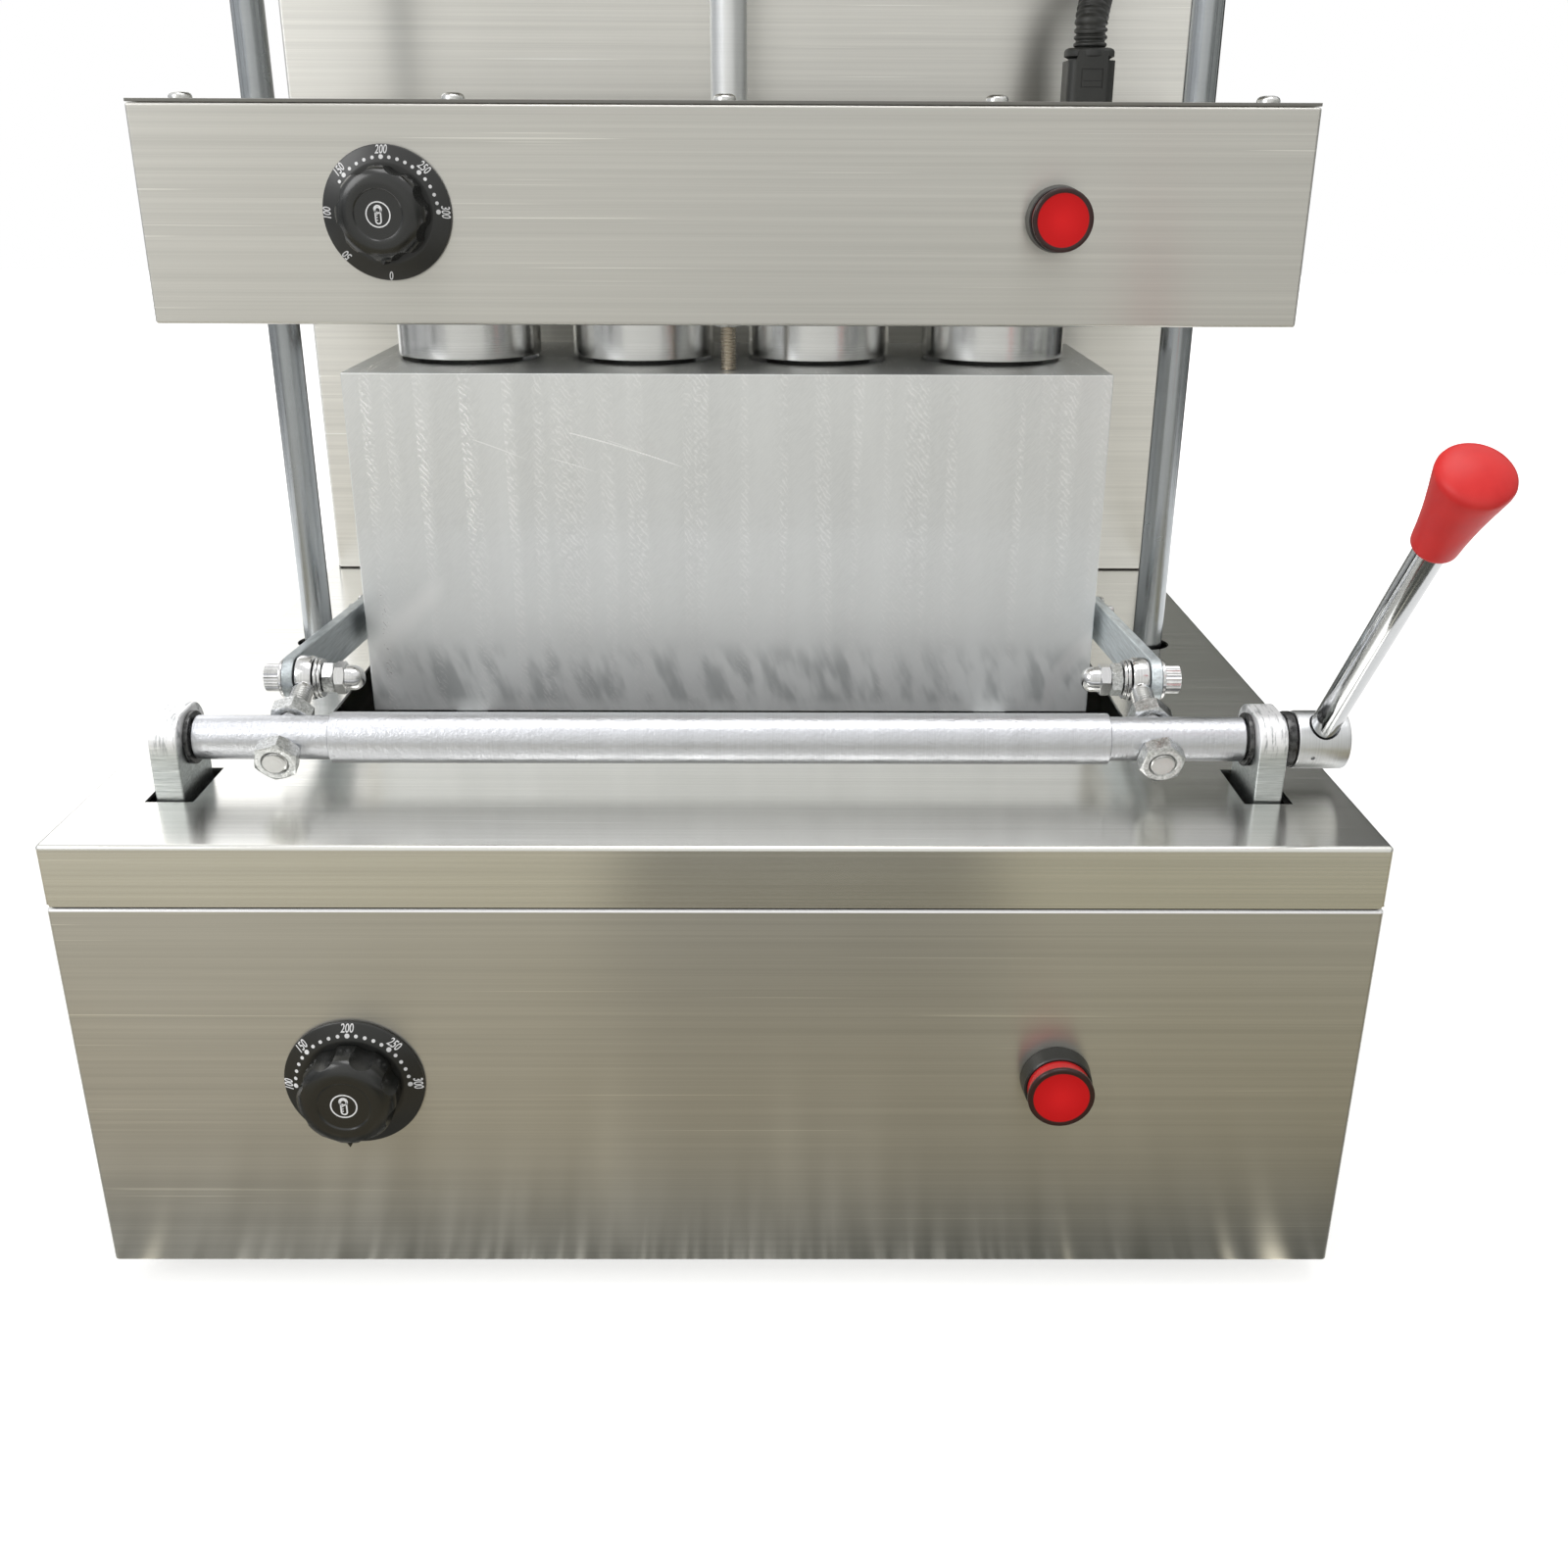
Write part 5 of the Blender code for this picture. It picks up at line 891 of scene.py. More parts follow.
# %% Column and top housing
column_low, column_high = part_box("column_shell")
column = folded_box("column_casing", column_low, column_high, ("top", "bottom", "rear"))
# The column's steel is the sheet steel painted lighter, a lit copy of it, with painted shade along its foot
# where it meets the lid.
steel_piece(column, "base", "column_shell",
            material=brushed_steel("column_steel", (0.80, 0.79, 0.755), dark_foot=column_low.z))

rear_low, rear_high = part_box("column_rear_cover")
rear_cover = as_object("column_back", soften(block(rear_low, rear_high), 0.3 * MM, 2))
VENT_ROWS, VENT_STEP = 7, 12 * MM
VENT = Vector((160 * MM, 20 * MM, 4 * MM))
vents = []
for row in range(VENT_ROWS):
    for middle in (rear_low.x / 2, rear_high.x / 2):
        low = Vector((middle - VENT.x / 2, rear_low.y - 10 * MM, rear_low.z + 300 * MM + row * VENT_STEP))
        vents.append(block(low, low + VENT))
steel_piece(cut(rear_cover, *vents), "base", "column_rear_cover")

housing_low, housing_shell_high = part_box("top_housing")
top_low, top_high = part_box("top_cover")
HOUSING_WALL_TOP = top_low.z - SEAM
housing = folded_box("top_housing_casing", housing_low, (top_high.x, top_high.y, HOUSING_WALL_TOP), ("top",),
                     top_rims=((STEP, 0), (0, housing_shell_high.z - HOUSING_WALL_TOP)), rim_bend=1.2 * MM)
holes = [hole(x, ROD_Y, housing_low.z, radius * MM) for x, radius in ((-ROD_X, 9), (ROD_X, 9), (0, 10))]
# The housing's steel gets painted shade in the seam under the top cover, and a painted highlight on the
# wall's top bend.
steel_piece(cut(housing, *holes, wire_way(housing_low.z)), "base", "top_housing",
            material=brushed_steel("housing_steel", STEEL, dark_above=HOUSING_WALL_TOP + 0.05 * MM))
steel_piece(folded_box("top_cover_plate", top_low, top_high, ("bottom",)), "base", "top_cover")
print("column and top housing up to", round(top_high.z, 4))

# %% [markdown]
# ## The mould block
#
# The block is aluminium, sawn and then face-milled, and split along the middle
# of its cavities. A fly cutter sweeps wide arcs over it, which show as upright
# bands of short slanted strokes, and handling has left a few long scratches. The
# marks come from stretched noise again, this time turned and masked by bands.

# %% Milled marks
def turned_about(tree, vector, turn):
    made = add(tree, "ShaderNodeMapping")
    made.inputs["Rotation"].default_value = turn
    wire(tree, vector, made.inputs["Vector"])
    return made.outputs[0]


FACE_Y = block_low.y
MARKS = ("Strokes", "Clouds", "Waves", "Low", "Height")
milled_group, ins, outs = new_group("milled_marks", [], [(name, "NodeSocketFloat") for name in MARKS])
tree = milled_group
coords = object_place(tree)
apart = axes(tree, coords)
bands = noise_of(tree, scaled(tree, coords, (105, 40, 2.5)), 1.0)
bands = times(tree, ramp(tree, bands, 0.52, 0.64, smooth=True), 0.5)
for place, strength in ((-177, 1.0), (-166, 0.5), (-151, 1.2), (-129, 1.2), (-108, 0.7), (-73.5, 0.4),
                        (-61.5, 0.35), (-20.5, 0.4)):
    away = math_node(tree, "SUBTRACT", apart["X"], place * MM)
    bright = times(tree, ramp(tree, away, -2.2 * MM, -1.6 * MM, 0, strength),
                   ramp(tree, away, 1.2 * MM, 4.5 * MM, 1, 0))
    bands = math_node(tree, "MAXIMUM", bands, bright)
patches = ramp(tree, noise_of(tree, scaled(tree, coords, (16, 16, 11), (3, 1, 2)), 2.0), 0.27, 0.52)
STROKE_STEP = 2.1 * MM
across = add(tree, "ShaderNodeVectorMath", operation="DOT_PRODUCT")
across.inputs[1].default_value = Vector((0.77, 0, 0.64)) * (math.tau / STROKE_STEP)
wire(tree, coords, across.inputs[0])
uneven = times(tree, noise_of(tree, scaled(tree, coords, (260, 100, 150)), 2.0), 13.0)
strokes = math_node(tree, "SINE", math_node(tree, "ADD", across.outputs["Value"], uneven))
strokes = ramp(tree, strokes, 0.1, 0.9, 0.2, 1.15)
chipped = ramp(tree, noise_of(tree, scaled(tree, coords, (420, 100, 520), (2, 7, 4)), 1.0), 0.36, 0.56)
strokes = times(tree, strokes, times(tree, times(tree, bands, patches), chipped))
on_front = ramp(tree, apart["Y"], FACE_Y + 0.2 * MM, FACE_Y + 0.6 * MM, 1.0, 0.0)
for start, end, strength, bow, core, fade in (
        ((-126.5, 340.5), (-98.3, 330.0), 0.8, 0.3, 0.12, 0.40),
        ((-88.6, 331.5), (-63.8, 323.9), 0.8, 0.2, 0.12, 0.40),
        ((-79.3, 343.9), (-21.0, 326.4), 1.0, 0.9, 0.14, 0.45),
        ((-60.5, 340.4), (-44.0, 334.6), 0.6, 0.1, 0.12, 0.40),
        ((-192, 208), (-143, 268), 0.6, 6.0, 1.5, 8.0), ((163, 201), (196, 246), 0.7, 5.0, 2.0, 6.0)):
    start, end, bow = Vector(start) * MM, Vector(end) * MM, bow * MM
    radius = (end - start).length ** 2 / (8 * bow)
    sideways = Vector((end.y - start.y, start.x - end.x)).normalized()
    centre = (start + end) / 2 + sideways * (radius - bow)
    flat = add(tree, "ShaderNodeCombineXYZ")
    wire(tree, math_node(tree, "SUBTRACT", apart["X"], centre.x), flat.inputs["X"])
    wire(tree, math_node(tree, "SUBTRACT", apart["Z"], centre.y), flat.inputs["Z"])
    line = apart_from(tree, length_of(tree, flat.outputs[0]), radius)
    line = ramp(tree, line, core * MM, fade * MM, strength, 0.0)
    line = times(tree, line, ramp(tree, apart["X"], start.x, start.x + 2 * MM))
    line = times(tree, line, ramp(tree, apart["X"], end.x, end.x - 9 * MM))
    strokes = math_node(tree, "MAXIMUM", strokes, times(tree, line, on_front))
wire(tree, strokes, outs.inputs["Strokes"])
wire(tree, noise_of(tree, scaled(tree, coords, (60, 60, 7), (1, 5, 2)), 3.0), outs.inputs["Clouds"])
arcs = turned_about(tree, coords, (0, math.radians(20), 0))
waves = ramp(tree, noise_of(tree, scaled(tree, arcs, (115, 40, 34), (5, 2, 1)), 2.0), 0.38, 0.66, smooth=True)
above_foot = math_node(tree, "SUBTRACT", apart["Z"], block_low.z)
low_zone = times(tree, ramp(tree, above_foot, 42 * MM, 22 * MM, smooth=True),
                 ramp(tree, above_foot, 3 * MM, 9 * MM, 0.3, 1.0, smooth=True))
wire(tree, times(tree, waves, low_zone), outs.inputs["Waves"])
wire(tree, ramp(tree, above_foot, 100 * MM, 25 * MM), outs.inputs["Low"])
slant = turned_about(tree, coords, (0, math.radians(50), 0))
wire(tree, noise_of(tree, scaled(tree, slant, (300, 1500, 2000), (4, 2, 8)), 2.0, 0.6), outs.inputs["Height"])
print("milled marks:", len(milled_group.nodes), "nodes")

# %% Milled aluminium
def milled_aluminium(name, colour, roughness=0.40, metallic=0.8):
    made, tree, shader = new_material(name, colour, roughness, metallic)
    marks = use_group(tree, milled_group)
    tone = blend_colour(tree, ramp(tree, marks.outputs["Clouds"], 0.3, 0.7), tint(colour, 0.95),
                        tint(colour, 1.05))
    tone = blend_colour(tree, ramp(tree, marks.outputs["Height"], 0.3, 0.7, 0, 0.6), tone, tint(colour, 1.12))
    tone = blend_colour(tree, times(tree, marks.outputs["Low"], 0.7), tone, (0.98, 1, 1))
    tone = blend_colour(tree, times(tree, marks.outputs["Waves"], 0.5), tone, (0.30, 0.325, 0.33))
    tone = blend_colour(tree, marks.outputs["Strokes"], tone, (1, 1, 1))
    wire(tree, ramp(tree, marks.outputs["Low"], 0, 1, metallic, metallic - 0.45), shader.inputs["Metallic"])
    wire(tree, tone, shader.inputs["Base Color"])
    wear_and_sheen = ramp(tree, marks.outputs["Clouds"], 0.3, 0.7, roughness - 0.04, roughness + 0.04)
    polished = times(tree, marks.outputs["Strokes"], 0.14)
    wire(tree, math_node(tree, "SUBTRACT", wear_and_sheen, polished), shader.inputs["Roughness"])
    emboss(tree, shader, marks.outputs["Height"], 0.7, 0.04 * MM)
    return made


milled = milled_aluminium("milled_aluminium", (0.74, 0.75, 0.745))
print("milled aluminium:", len(milled.node_tree.nodes), "nodes")

# %% Mould halves
CONE_PITCH = 90.6 * MM
CONE_X = [(index - 1.5) * CONE_PITCH for index in range(4)]
BLOCK_TOP = block_high.z
CAVITY_MOUTH, CAVITY_TIP, CAVITY_DEPTH = 34.5 * MM, 10.5 * MM, 130 * MM
CHAMFER = 0.8 * MM
DOWEL_RADIUS, DOWEL_REACH = 6 * MM, 55 * MM
DOWEL_Z = block_low.z + 27 * MM


def cavity(x):
    made = lathe([(0, 2 * MM), (CAVITY_MOUTH + CHAMFER + 2 * MM, 2 * MM), (CAVITY_MOUTH, -CHAMFER),
                  (CAVITY_TIP, -CAVITY_DEPTH), (0, -CAVITY_DEPTH)], 64)
    bmesh.ops.translate(made, vec=(x, ROD_Y, BLOCK_TOP), verts=made.verts)
    return made


def bore(place, along, radius, depth, steps=32):
    """A drill for a hole that starts 10 mm outside the surface."""
    made = prism(radius, -depth, 10 * MM, steps)
    bmesh.ops.transform(made, matrix=at(place, along, (0, 0, 1) if abs(along[2]) < 0.9 else (1, 0, 0)),
                        verts=made.verts)
    return made


HEATER_INSET, HEATER_RISE, HEATER_BORE, HEATER_DEPTH = 18 * MM, 9 * MM, 5.3 * MM, 375 * MM
for name, node, body, inset in (("front_mould_half", "front_mould", "front_mould", HEATER_INSET),
                                ("rear_mould_half", "rear_mould", "base", -HEATER_INSET)):
    low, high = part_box(node)
    face_y = low.y if inset > 0 else block_high.y
    if inset < 0:
        low = Vector((low.x, ROD_Y + 0.15 * MM, low.z))
    half = as_object(name, soften(block(low, high), 0.7 * MM, 3))
    drills = [cavity(x) for x in CONE_X]
    drills.append(bore((high.x, face_y + inset, low.z + HEATER_RISE), (1, 0, 0), HEATER_BORE, HEATER_DEPTH))
    if inset > 0:
        drills += [bore((sign * CONE_PITCH, high.y, DOWEL_Z), (0, 1, 0), DOWEL_RADIUS + 0.3 * MM, 56 * MM)
                   for sign in (-1, 1)]
    finish_piece(cut(half, *drills), body, "milled_aluminium", milled, node)
print("mould block", [round(value, 4) for value in block_high - block_low])

# %% [markdown]
# ## Turned and plated metal
#
# Anything that comes off a lathe carries fine rings, on its length and on its
# end faces alike. One group makes both: it adds the distance along the axis to
# the distance from it, and feeds the sum to one-dimensional noise. A Mapping
# node first moves the pattern onto the piece's own axis.

# %% Turned marks
turned_group, ins, outs = new_group(
    "turned_marks", [("Vector", "NodeSocketVector", None), ("Lines", "NodeSocketFloat", 2500.0)],
    [("Tone", "NodeSocketFloat"), ("Height", "NodeSocketFloat")])
tree = turned_group
apart = axes(tree, ins.outputs["Vector"])
flat = add(tree, "ShaderNodeCombineXYZ")
wire(tree, apart["X"], flat.inputs["X"])
wire(tree, apart["Y"], flat.inputs["Y"])
reach = math_node(tree, "ADD", apart["Z"], length_of(tree, flat.outputs[0]))
rings = add(tree, "ShaderNodeTexNoise", noise_dimensions="1D", Scale=1.0, Detail=3.0, Roughness=0.6)
wire(tree, times(tree, reach, ins.outputs["Lines"]), rings.inputs["W"])
bands = add(tree, "ShaderNodeTexNoise", noise_dimensions="1D", Scale=1.0, Detail=1.0)
wire(tree, times(tree, reach, times(tree, ins.outputs["Lines"], 0.08)), bands.inputs["W"])
both = math_node(tree, "ADD", times(tree, rings.outputs["Fac"], 0.6), times(tree, bands.outputs["Fac"], 0.4))
wire(tree, both, outs.inputs["Tone"])
wire(tree, rings.outputs["Fac"], outs.inputs["Height"])


def from_axis(tree, place):
    """Each point's place on a piece, seen from the piece's own axis."""
    local = add(tree, "ShaderNodeMapping", vector_type="TEXTURE")
    local.inputs["Location"].default_value = place.to_translation()
    local.inputs["Rotation"].default_value = place.to_euler()
    wire(tree, object_place(tree), local.inputs["Vector"])
    return local.outputs[0]


def turned_metal(name, colour, roughness, place, lines=2500, depth=0.02 * MM, contrast=0.10, chatter=0.0):
    """Metal with the lathe's rings round the +Z of a place, and the ripples that a tool's chatter leaves."""
    made, tree, shader = new_material(name, colour, roughness, 1.0)
    local = from_axis(tree, place)
    marks = use_group(tree, turned_group, Vector=local, Lines=lines)
    smudge = use_group(tree, smudge_group, Size=40.0).outputs["Amount"]
    tone = blend_colour(tree, ramp(tree, marks.outputs["Tone"], 0.3, 0.7), tint(colour, 1 - contrast),
                        tint(colour, 1 + contrast))
    wire(tree, tone, shader.inputs["Base Color"])
    wire(tree, ramp(tree, smudge, 0, 1, roughness * 0.85, roughness * 1.25), shader.inputs["Roughness"])
    emboss(tree, shader, marks.outputs["Height"], 0.6, depth)
    if chatter:
        ripples = noise_of(tree, scaled(tree, local, (480, 480, 560)), 3.0, 0.65)
        emboss(tree, shader, ripples, 0.8, chatter)
    return made


ZINC = (0.66, 0.67, 0.68)
TURNED = (0.74, 0.74, 0.73)
print("turned marks:", len(turned_group.nodes), "nodes")

# %% Cone moulds
cone_low, cone_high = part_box("cone_mould_1")
DISC_RADIUS = (cone_high.x - cone_low.x) / 2
for number, x in enumerate(CONE_X, start=1):
    top, under, tip = cone_high.z, BLOCK_TOP + 2.0 * MM, cone_low.z
    profile = [(0, top), (DISC_RADIUS - 0.4 * MM, top), (DISC_RADIUS, top - 0.4 * MM),
               (DISC_RADIUS, under + 0.5 * MM), (DISC_RADIUS - 0.15 * MM, under + 0.15 * MM),
               (DISC_RADIUS - 0.5 * MM, under), (28.3 * MM, under), (27.3 * MM, under - 0.8 * MM),
               (6.4 * MM, tip + 5.4 * MM), (5.6 * MM, tip + 2.6 * MM), (4.0 * MM, tip + 0.8 * MM),
               (2.2 * MM, tip), (0, tip)]
    place = at((x, ROD_Y, 0))
    cone = as_object(f"cone_{number}", lathe(profile, 96), place)
    finish_piece(cone, "press_head", "turned_aluminium",
                 turned_metal(f"turned_aluminium_{number}", TURNED, 0.21, place, 1500, 0.03 * MM, 0.08),
                 f"cone_mould_{number}")
print("cones reach down to", round(cone_low.z, 4))

# %% [markdown]
# ## Threads and nuts
#
# A thread is a small profile spun round an axis while it climbs by its pitch on
# each turn, which is what Spin does when it is given a step along the axis. The
# ends are then cut off square with two planes and closed. A nut is a hexagonal
# bar that a lathe has faced on both sides: the shape that the bar and a
# chamfered ring have in common.

# %% Threaded rod and nut
def threaded(radius, pitch, start, end, steps=28):
    core = radius - 0.61 * pitch
    turns = math.ceil((end - start) / pitch) + 2
    shares = ((core, 0.0), (radius, 0.36), (radius, 0.50), (core, 0.86), (core, 1.0))
    bm = bmesh.new()
    points = [bm.verts.new((reach, 0, start + pitch * (share - 1))) for reach, share in shares]
    lines = [bm.edges.new(ends) for ends in zip(points, points[1:])]
    bmesh.ops.spin(bm, geom=points + lines, cent=(0, 0, 0), axis=(0, 0, 1), dvec=(0, 0, pitch / steps),
                   angle=math.tau * turns, steps=steps * turns)
    bmesh.ops.remove_doubles(bm, verts=bm.verts, dist=WELD)
    for level, outwards in ((start, -1), (end, 1)):
        bmesh.ops.bisect_plane(bm, geom=bm.verts[:] + bm.edges[:] + bm.faces[:], plane_co=(0, 0, level),
                               plane_no=(0, 0, outwards), clear_outer=True, dist=WELD / 4)
    bmesh.ops.holes_fill(bm, edges=[edge for edge in bm.edges if edge.is_boundary], sides=0)
    bmesh.ops.recalc_face_normals(bm, faces=bm.faces)
    return bm


def nut(name, flats, height, thread, place, turn=0.0, sink=0.6 * MM):
    """A hexagonal nut that stands on its place, with its thread's hole countersunk at both ends."""
    bar = prism(flats / 2 / math.cos(math.pi / 6), -1 * MM, height + 1 * MM, 6, turn)
    edge = flats / 2 * 1.155
    ring = flats / 2 * 0.95
    drop = (edge - ring) * 0.5
    profile = [(thread + sink, 0), (ring, 0), (edge, drop), (edge, height - drop), (ring, height),
               (thread + sink, height), (thread, height - sink), (thread, sink)]
    made = as_object(name, lathe(profile, 48, closed=True))
    combine(made, "INTERSECT", bar)
    made.data.transform(place)
    return soften_piece(made, 0.25 * MM, 2, 20)


def washer(name, radius, inner, thickness, place):
    bm = lathe([(inner, 0), (radius, 0), (radius, thickness), (inner, thickness)], 48, closed=True)
    return as_object(name, soften(bm, thickness * 0.22, 2), place)


def clouded(name, size, dark, light, smooth, rough, metallic=0.0, **values):
    """A material that clouds between two colours and two roughnesses."""
    made, tree, shader = new_material(name, dark, rough, metallic, **values)
    clouds = use_group(tree, smudge_group, Size=size).outputs["Amount"]
    wire(tree, blend_colour(tree, clouds, dark, light), shader.inputs["Base Color"])
    wire(tree, ramp(tree, clouds, 0, 1, smooth, rough), shader.inputs["Roughness"])
    return made, tree, shader, clouds


zinc_nut, tree, shader, frost = clouded("galvanised_nuts", 900.0, (0.42, 0.43, 0.42), (0.86, 0.87, 0.87),
                                        0.22, 0.40, 1.0)
spangle = use_group(tree, smudge_group, Size=160.0).outputs["Amount"]
wire(tree, ramp(tree, spangle, 0, 1, 0.22, 0.40), shader.inputs["Roughness"])
emboss(tree, shader, frost, 0.8, 0.06 * MM)
print("galvanised finish:", len(tree.nodes), "nodes")

# %% Stop stud
stud_low, stud_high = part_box("stop_stud")
stud_place = at((*middle_of("stop_stud")[:2], 0))
stud_steel = turned_metal("stud_steel", (0.62, 0.57, 0.49), 0.30, stud_place, 2500, 0.01 * MM, 0.12)
stud = as_object("stop_stud_thread", threaded(4 * MM, 1.25 * MM, stud_low.z, stud_high.z - 0.2 * MM),
                 stud_place)
finish_piece(stud, "press_head", "zinc_plate", stud_steel, "stop_stud")
stud_nut = nut("stop_stud_nut", 13 * MM, 4 * MM, 3.4 * MM, raised(stud_place, stud_high.z - 4 * MM))
finish_piece(stud_nut, "press_head", "zinc_plate", zinc_nut)
print("stop stud down to", round(stud_low.z, 4))

# %% Guide rods and actuator rod
rod_low, rod_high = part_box("guide_rod_left")
bridge_low, bridge_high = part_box("bridge_plate")
BAR_RADIUS, BAR_CHAMFER = 8 * MM, 0.8 * MM
BAR_NECK = 6 * MM
for side, sign in SIDES:
    place = at((sign * ROD_X, ROD_Y, 0))
    shoulder = bridge_low.z - 0.3 * MM
    profile = [(0, rod_high.z), (BAR_NECK - 0.6 * MM, rod_high.z), (BAR_NECK, rod_high.z - 0.6 * MM),
               (BAR_NECK, shoulder), (BAR_RADIUS - 0.6 * MM, shoulder), (BAR_RADIUS, shoulder - 0.6 * MM),
               (BAR_RADIUS, rod_low.z + BAR_CHAMFER), (BAR_RADIUS - BAR_CHAMFER, rod_low.z), (0, rod_low.z)]
    bar = as_object(f"guide_bar_{side}", lathe(profile, 64), place)
    chrome = turned_metal(f"chrome_bar_{side}", (0.42, 0.44, 0.455), 0.23, place, 900, 0.004 * MM, 0.03)
    finish_piece(bar, "base", "chrome", chrome, f"guide_rod_{side}")
    top_nut = nut(f"guide_bar_nut_{side}", 19 * MM, 10 * MM, 5.4 * MM,
                  raised(place, bridge_high.z + 0.3 * MM))
    finish_piece(top_nut, "base", "chrome", zinc_nut)

low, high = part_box("actuator_rod")
place = at((0, ROD_Y, 0))
actuator_bar = as_object("actuator_bar", lathe(plain_rod(9 * MM, low.z, high.z, BAR_CHAMFER), 64), place)
chrome = turned_metal("chrome_actuator", (0.76, 0.77, 0.77), 0.34, place, 900, 0.004 * MM, 0.03)
finish_piece(actuator_bar, "press_head", "chrome", chrome, "actuator_rod")
print("rods at", round(ROD_X, 4), round(ROD_Y, 4))

# %% Mould dowels
for side, sign in SIDES:
    place = at((sign * CONE_PITCH, ROD_Y, DOWEL_Z), (0, -1, 0))
    profile = [(0, DOWEL_REACH), (DOWEL_RADIUS - 1 * MM, DOWEL_REACH), (DOWEL_RADIUS, DOWEL_REACH - 1.5 * MM),
               (DOWEL_RADIUS, -9 * MM), (0, -9 * MM)]
    finish_piece(as_object(f"mould_dowel_{side}", lathe(profile, 40), place), "base", "milled_aluminium",
                 turned_metal(f"dowel_steel_{side}", (0.60, 0.60, 0.60), 0.2, place))
print("dowels", round(CONE_PITCH, 4), "from the middle")

# %% [markdown]
# ## Cross shaft, posts and lever
#
# The shaft is a turned bar, thicker between the eyebolts, whose necks turn in
# two flat posts. Each post is a sawn flat bar whose upper corners were rounded
# and whose edges were dressed with a file, which left bright strokes. Round the
# crown its colour is also painted brighter and duller, a painted highlight from
# the light above.

# %% Posts
filed, tree, shader = new_material("filed_steel", (0.66, 0.665, 0.66), 0.28, 1.0)
coords = object_place(tree)
file_marks = noise_of(tree, scaled(tree, coords, (60, 500, 900)), 3.0, 0.7)
strokes = noise_of(tree, scaled(tree, coords, (700, 90, 90)), 3.0, 0.7)
# The upper part round the crown is painted brighter and less metallic: partly the file's bright strokes,
# partly a painted highlight from the light above.
wear_and_sheen = ramp(tree, axes(tree, coords)["Z"], SHAFT_Z - 4 * MM, SHAFT_Z + 6 * MM, smooth=True)
sawn = blend_colour(tree, ramp(tree, file_marks, 0.36, 0.64), (0.46, 0.49, 0.49), (0.66, 0.69, 0.69))
bright = blend_colour(tree, ramp(tree, strokes, 0.36, 0.50), (0.45, 0.46, 0.47), (0.97, 0.97, 0.98))
wire(tree, blend_colour(tree, wear_and_sheen, sawn, bright), shader.inputs["Base Color"])
wire(tree, ramp(tree, wear_and_sheen, 0, 1, 0.30, 0.46), shader.inputs["Roughness"])
wire(tree, ramp(tree, wear_and_sheen, 0, 1, 1.0, 0.65), shader.inputs["Metallic"])
emboss(tree, shader, file_marks, 0.9, 0.16 * MM)

NECK_RADIUS = 7.5 * MM
POST_RISE, POST_CORNER = 13.2 * MM, 11.5 * MM
for side, (low, high) in post_boxes.items():
    bm = block(low, (high.x, high.y, SHAFT_Z + POST_RISE))
    corners = [edge for edge in bm.edges
               if all(vert.co.z > SHAFT_Z for vert in edge.verts)
               and abs(edge.verts[0].co.x - edge.verts[1].co.x) > 1 * MM]
    bmesh.ops.bevel(bm, geom=corners, offset=POST_CORNER, segments=14, profile=0.5, affect="EDGES",
                    material=-1)
    post = as_object(f"post_{side}", soften(bm, 0.8 * MM, 3, 50))
    cut(post, bore((high.x, SHAFT_Y, SHAFT_Z), (1, 0, 0), NECK_RADIUS + 0.5 * MM, 40 * MM, 64))
    finish_piece(post, "base", "zinc_plate", filed, f"shaft_post_{side}")
print("posts up to", round(SHAFT_Z + POST_RISE, 4))

# %% Cross shaft
shaft_low, shaft_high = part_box("cross_shaft")
INNER = post_boxes["right"][0].x - 2.6 * MM
CENTRE_HALF = 166 * MM
CENTRE_RADIUS, SHAFT_RADIUS = 11 * MM, 9.5 * MM
shaft_place = at((0, SHAFT_Y, SHAFT_Z), (1, 0, 0), (0, 0, 1))
profile = [(0, shaft_high.x), (NECK_RADIUS - 0.5 * MM, shaft_high.x), (NECK_RADIUS, shaft_high.x - 0.5 * MM),
           (NECK_RADIUS, INNER), (SHAFT_RADIUS - 0.6 * MM, INNER), (SHAFT_RADIUS, INNER - 0.6 * MM),
           (SHAFT_RADIUS, CENTRE_HALF), (CENTRE_RADIUS - 0.35 * MM, CENTRE_HALF),
           (CENTRE_RADIUS, CENTRE_HALF - 0.35 * MM)]
mirrored = [(radius, -reach) for radius, reach in reversed(profile[2:])]
profile += mirrored[:-1] + [(NECK_RADIUS, shaft_low.x + 0.5 * MM), (NECK_RADIUS - 0.5 * MM, shaft_low.x),
                            (0, shaft_low.x)]
shaft = as_object("cross_shaft_bar", lathe(profile, 72), shaft_place)
EYEBOLT_X = 186.7 * MM
CRANK_ANGLE = math.radians(18)
CRANK = Vector((0, math.cos(CRANK_ANGLE), math.sin(CRANK_ANGLE)))
bolt_holes = [bore(Vector((sign * EYEBOLT_X, SHAFT_Y, SHAFT_Z)) + CRANK * 12 * MM, tuple(CRANK), 5.3 * MM,
                   40 * MM) for sign in (-1, 1)]
cut(shaft, *bolt_holes)
finish_piece(shaft, "lever_shaft", "zinc_plate",
             turned_metal("turned_shaft", (0.62, 0.63, 0.66), 0.33, shaft_place, 1300, 0.02 * MM, 0.06,
                          0.3 * MM),
             "cross_shaft")

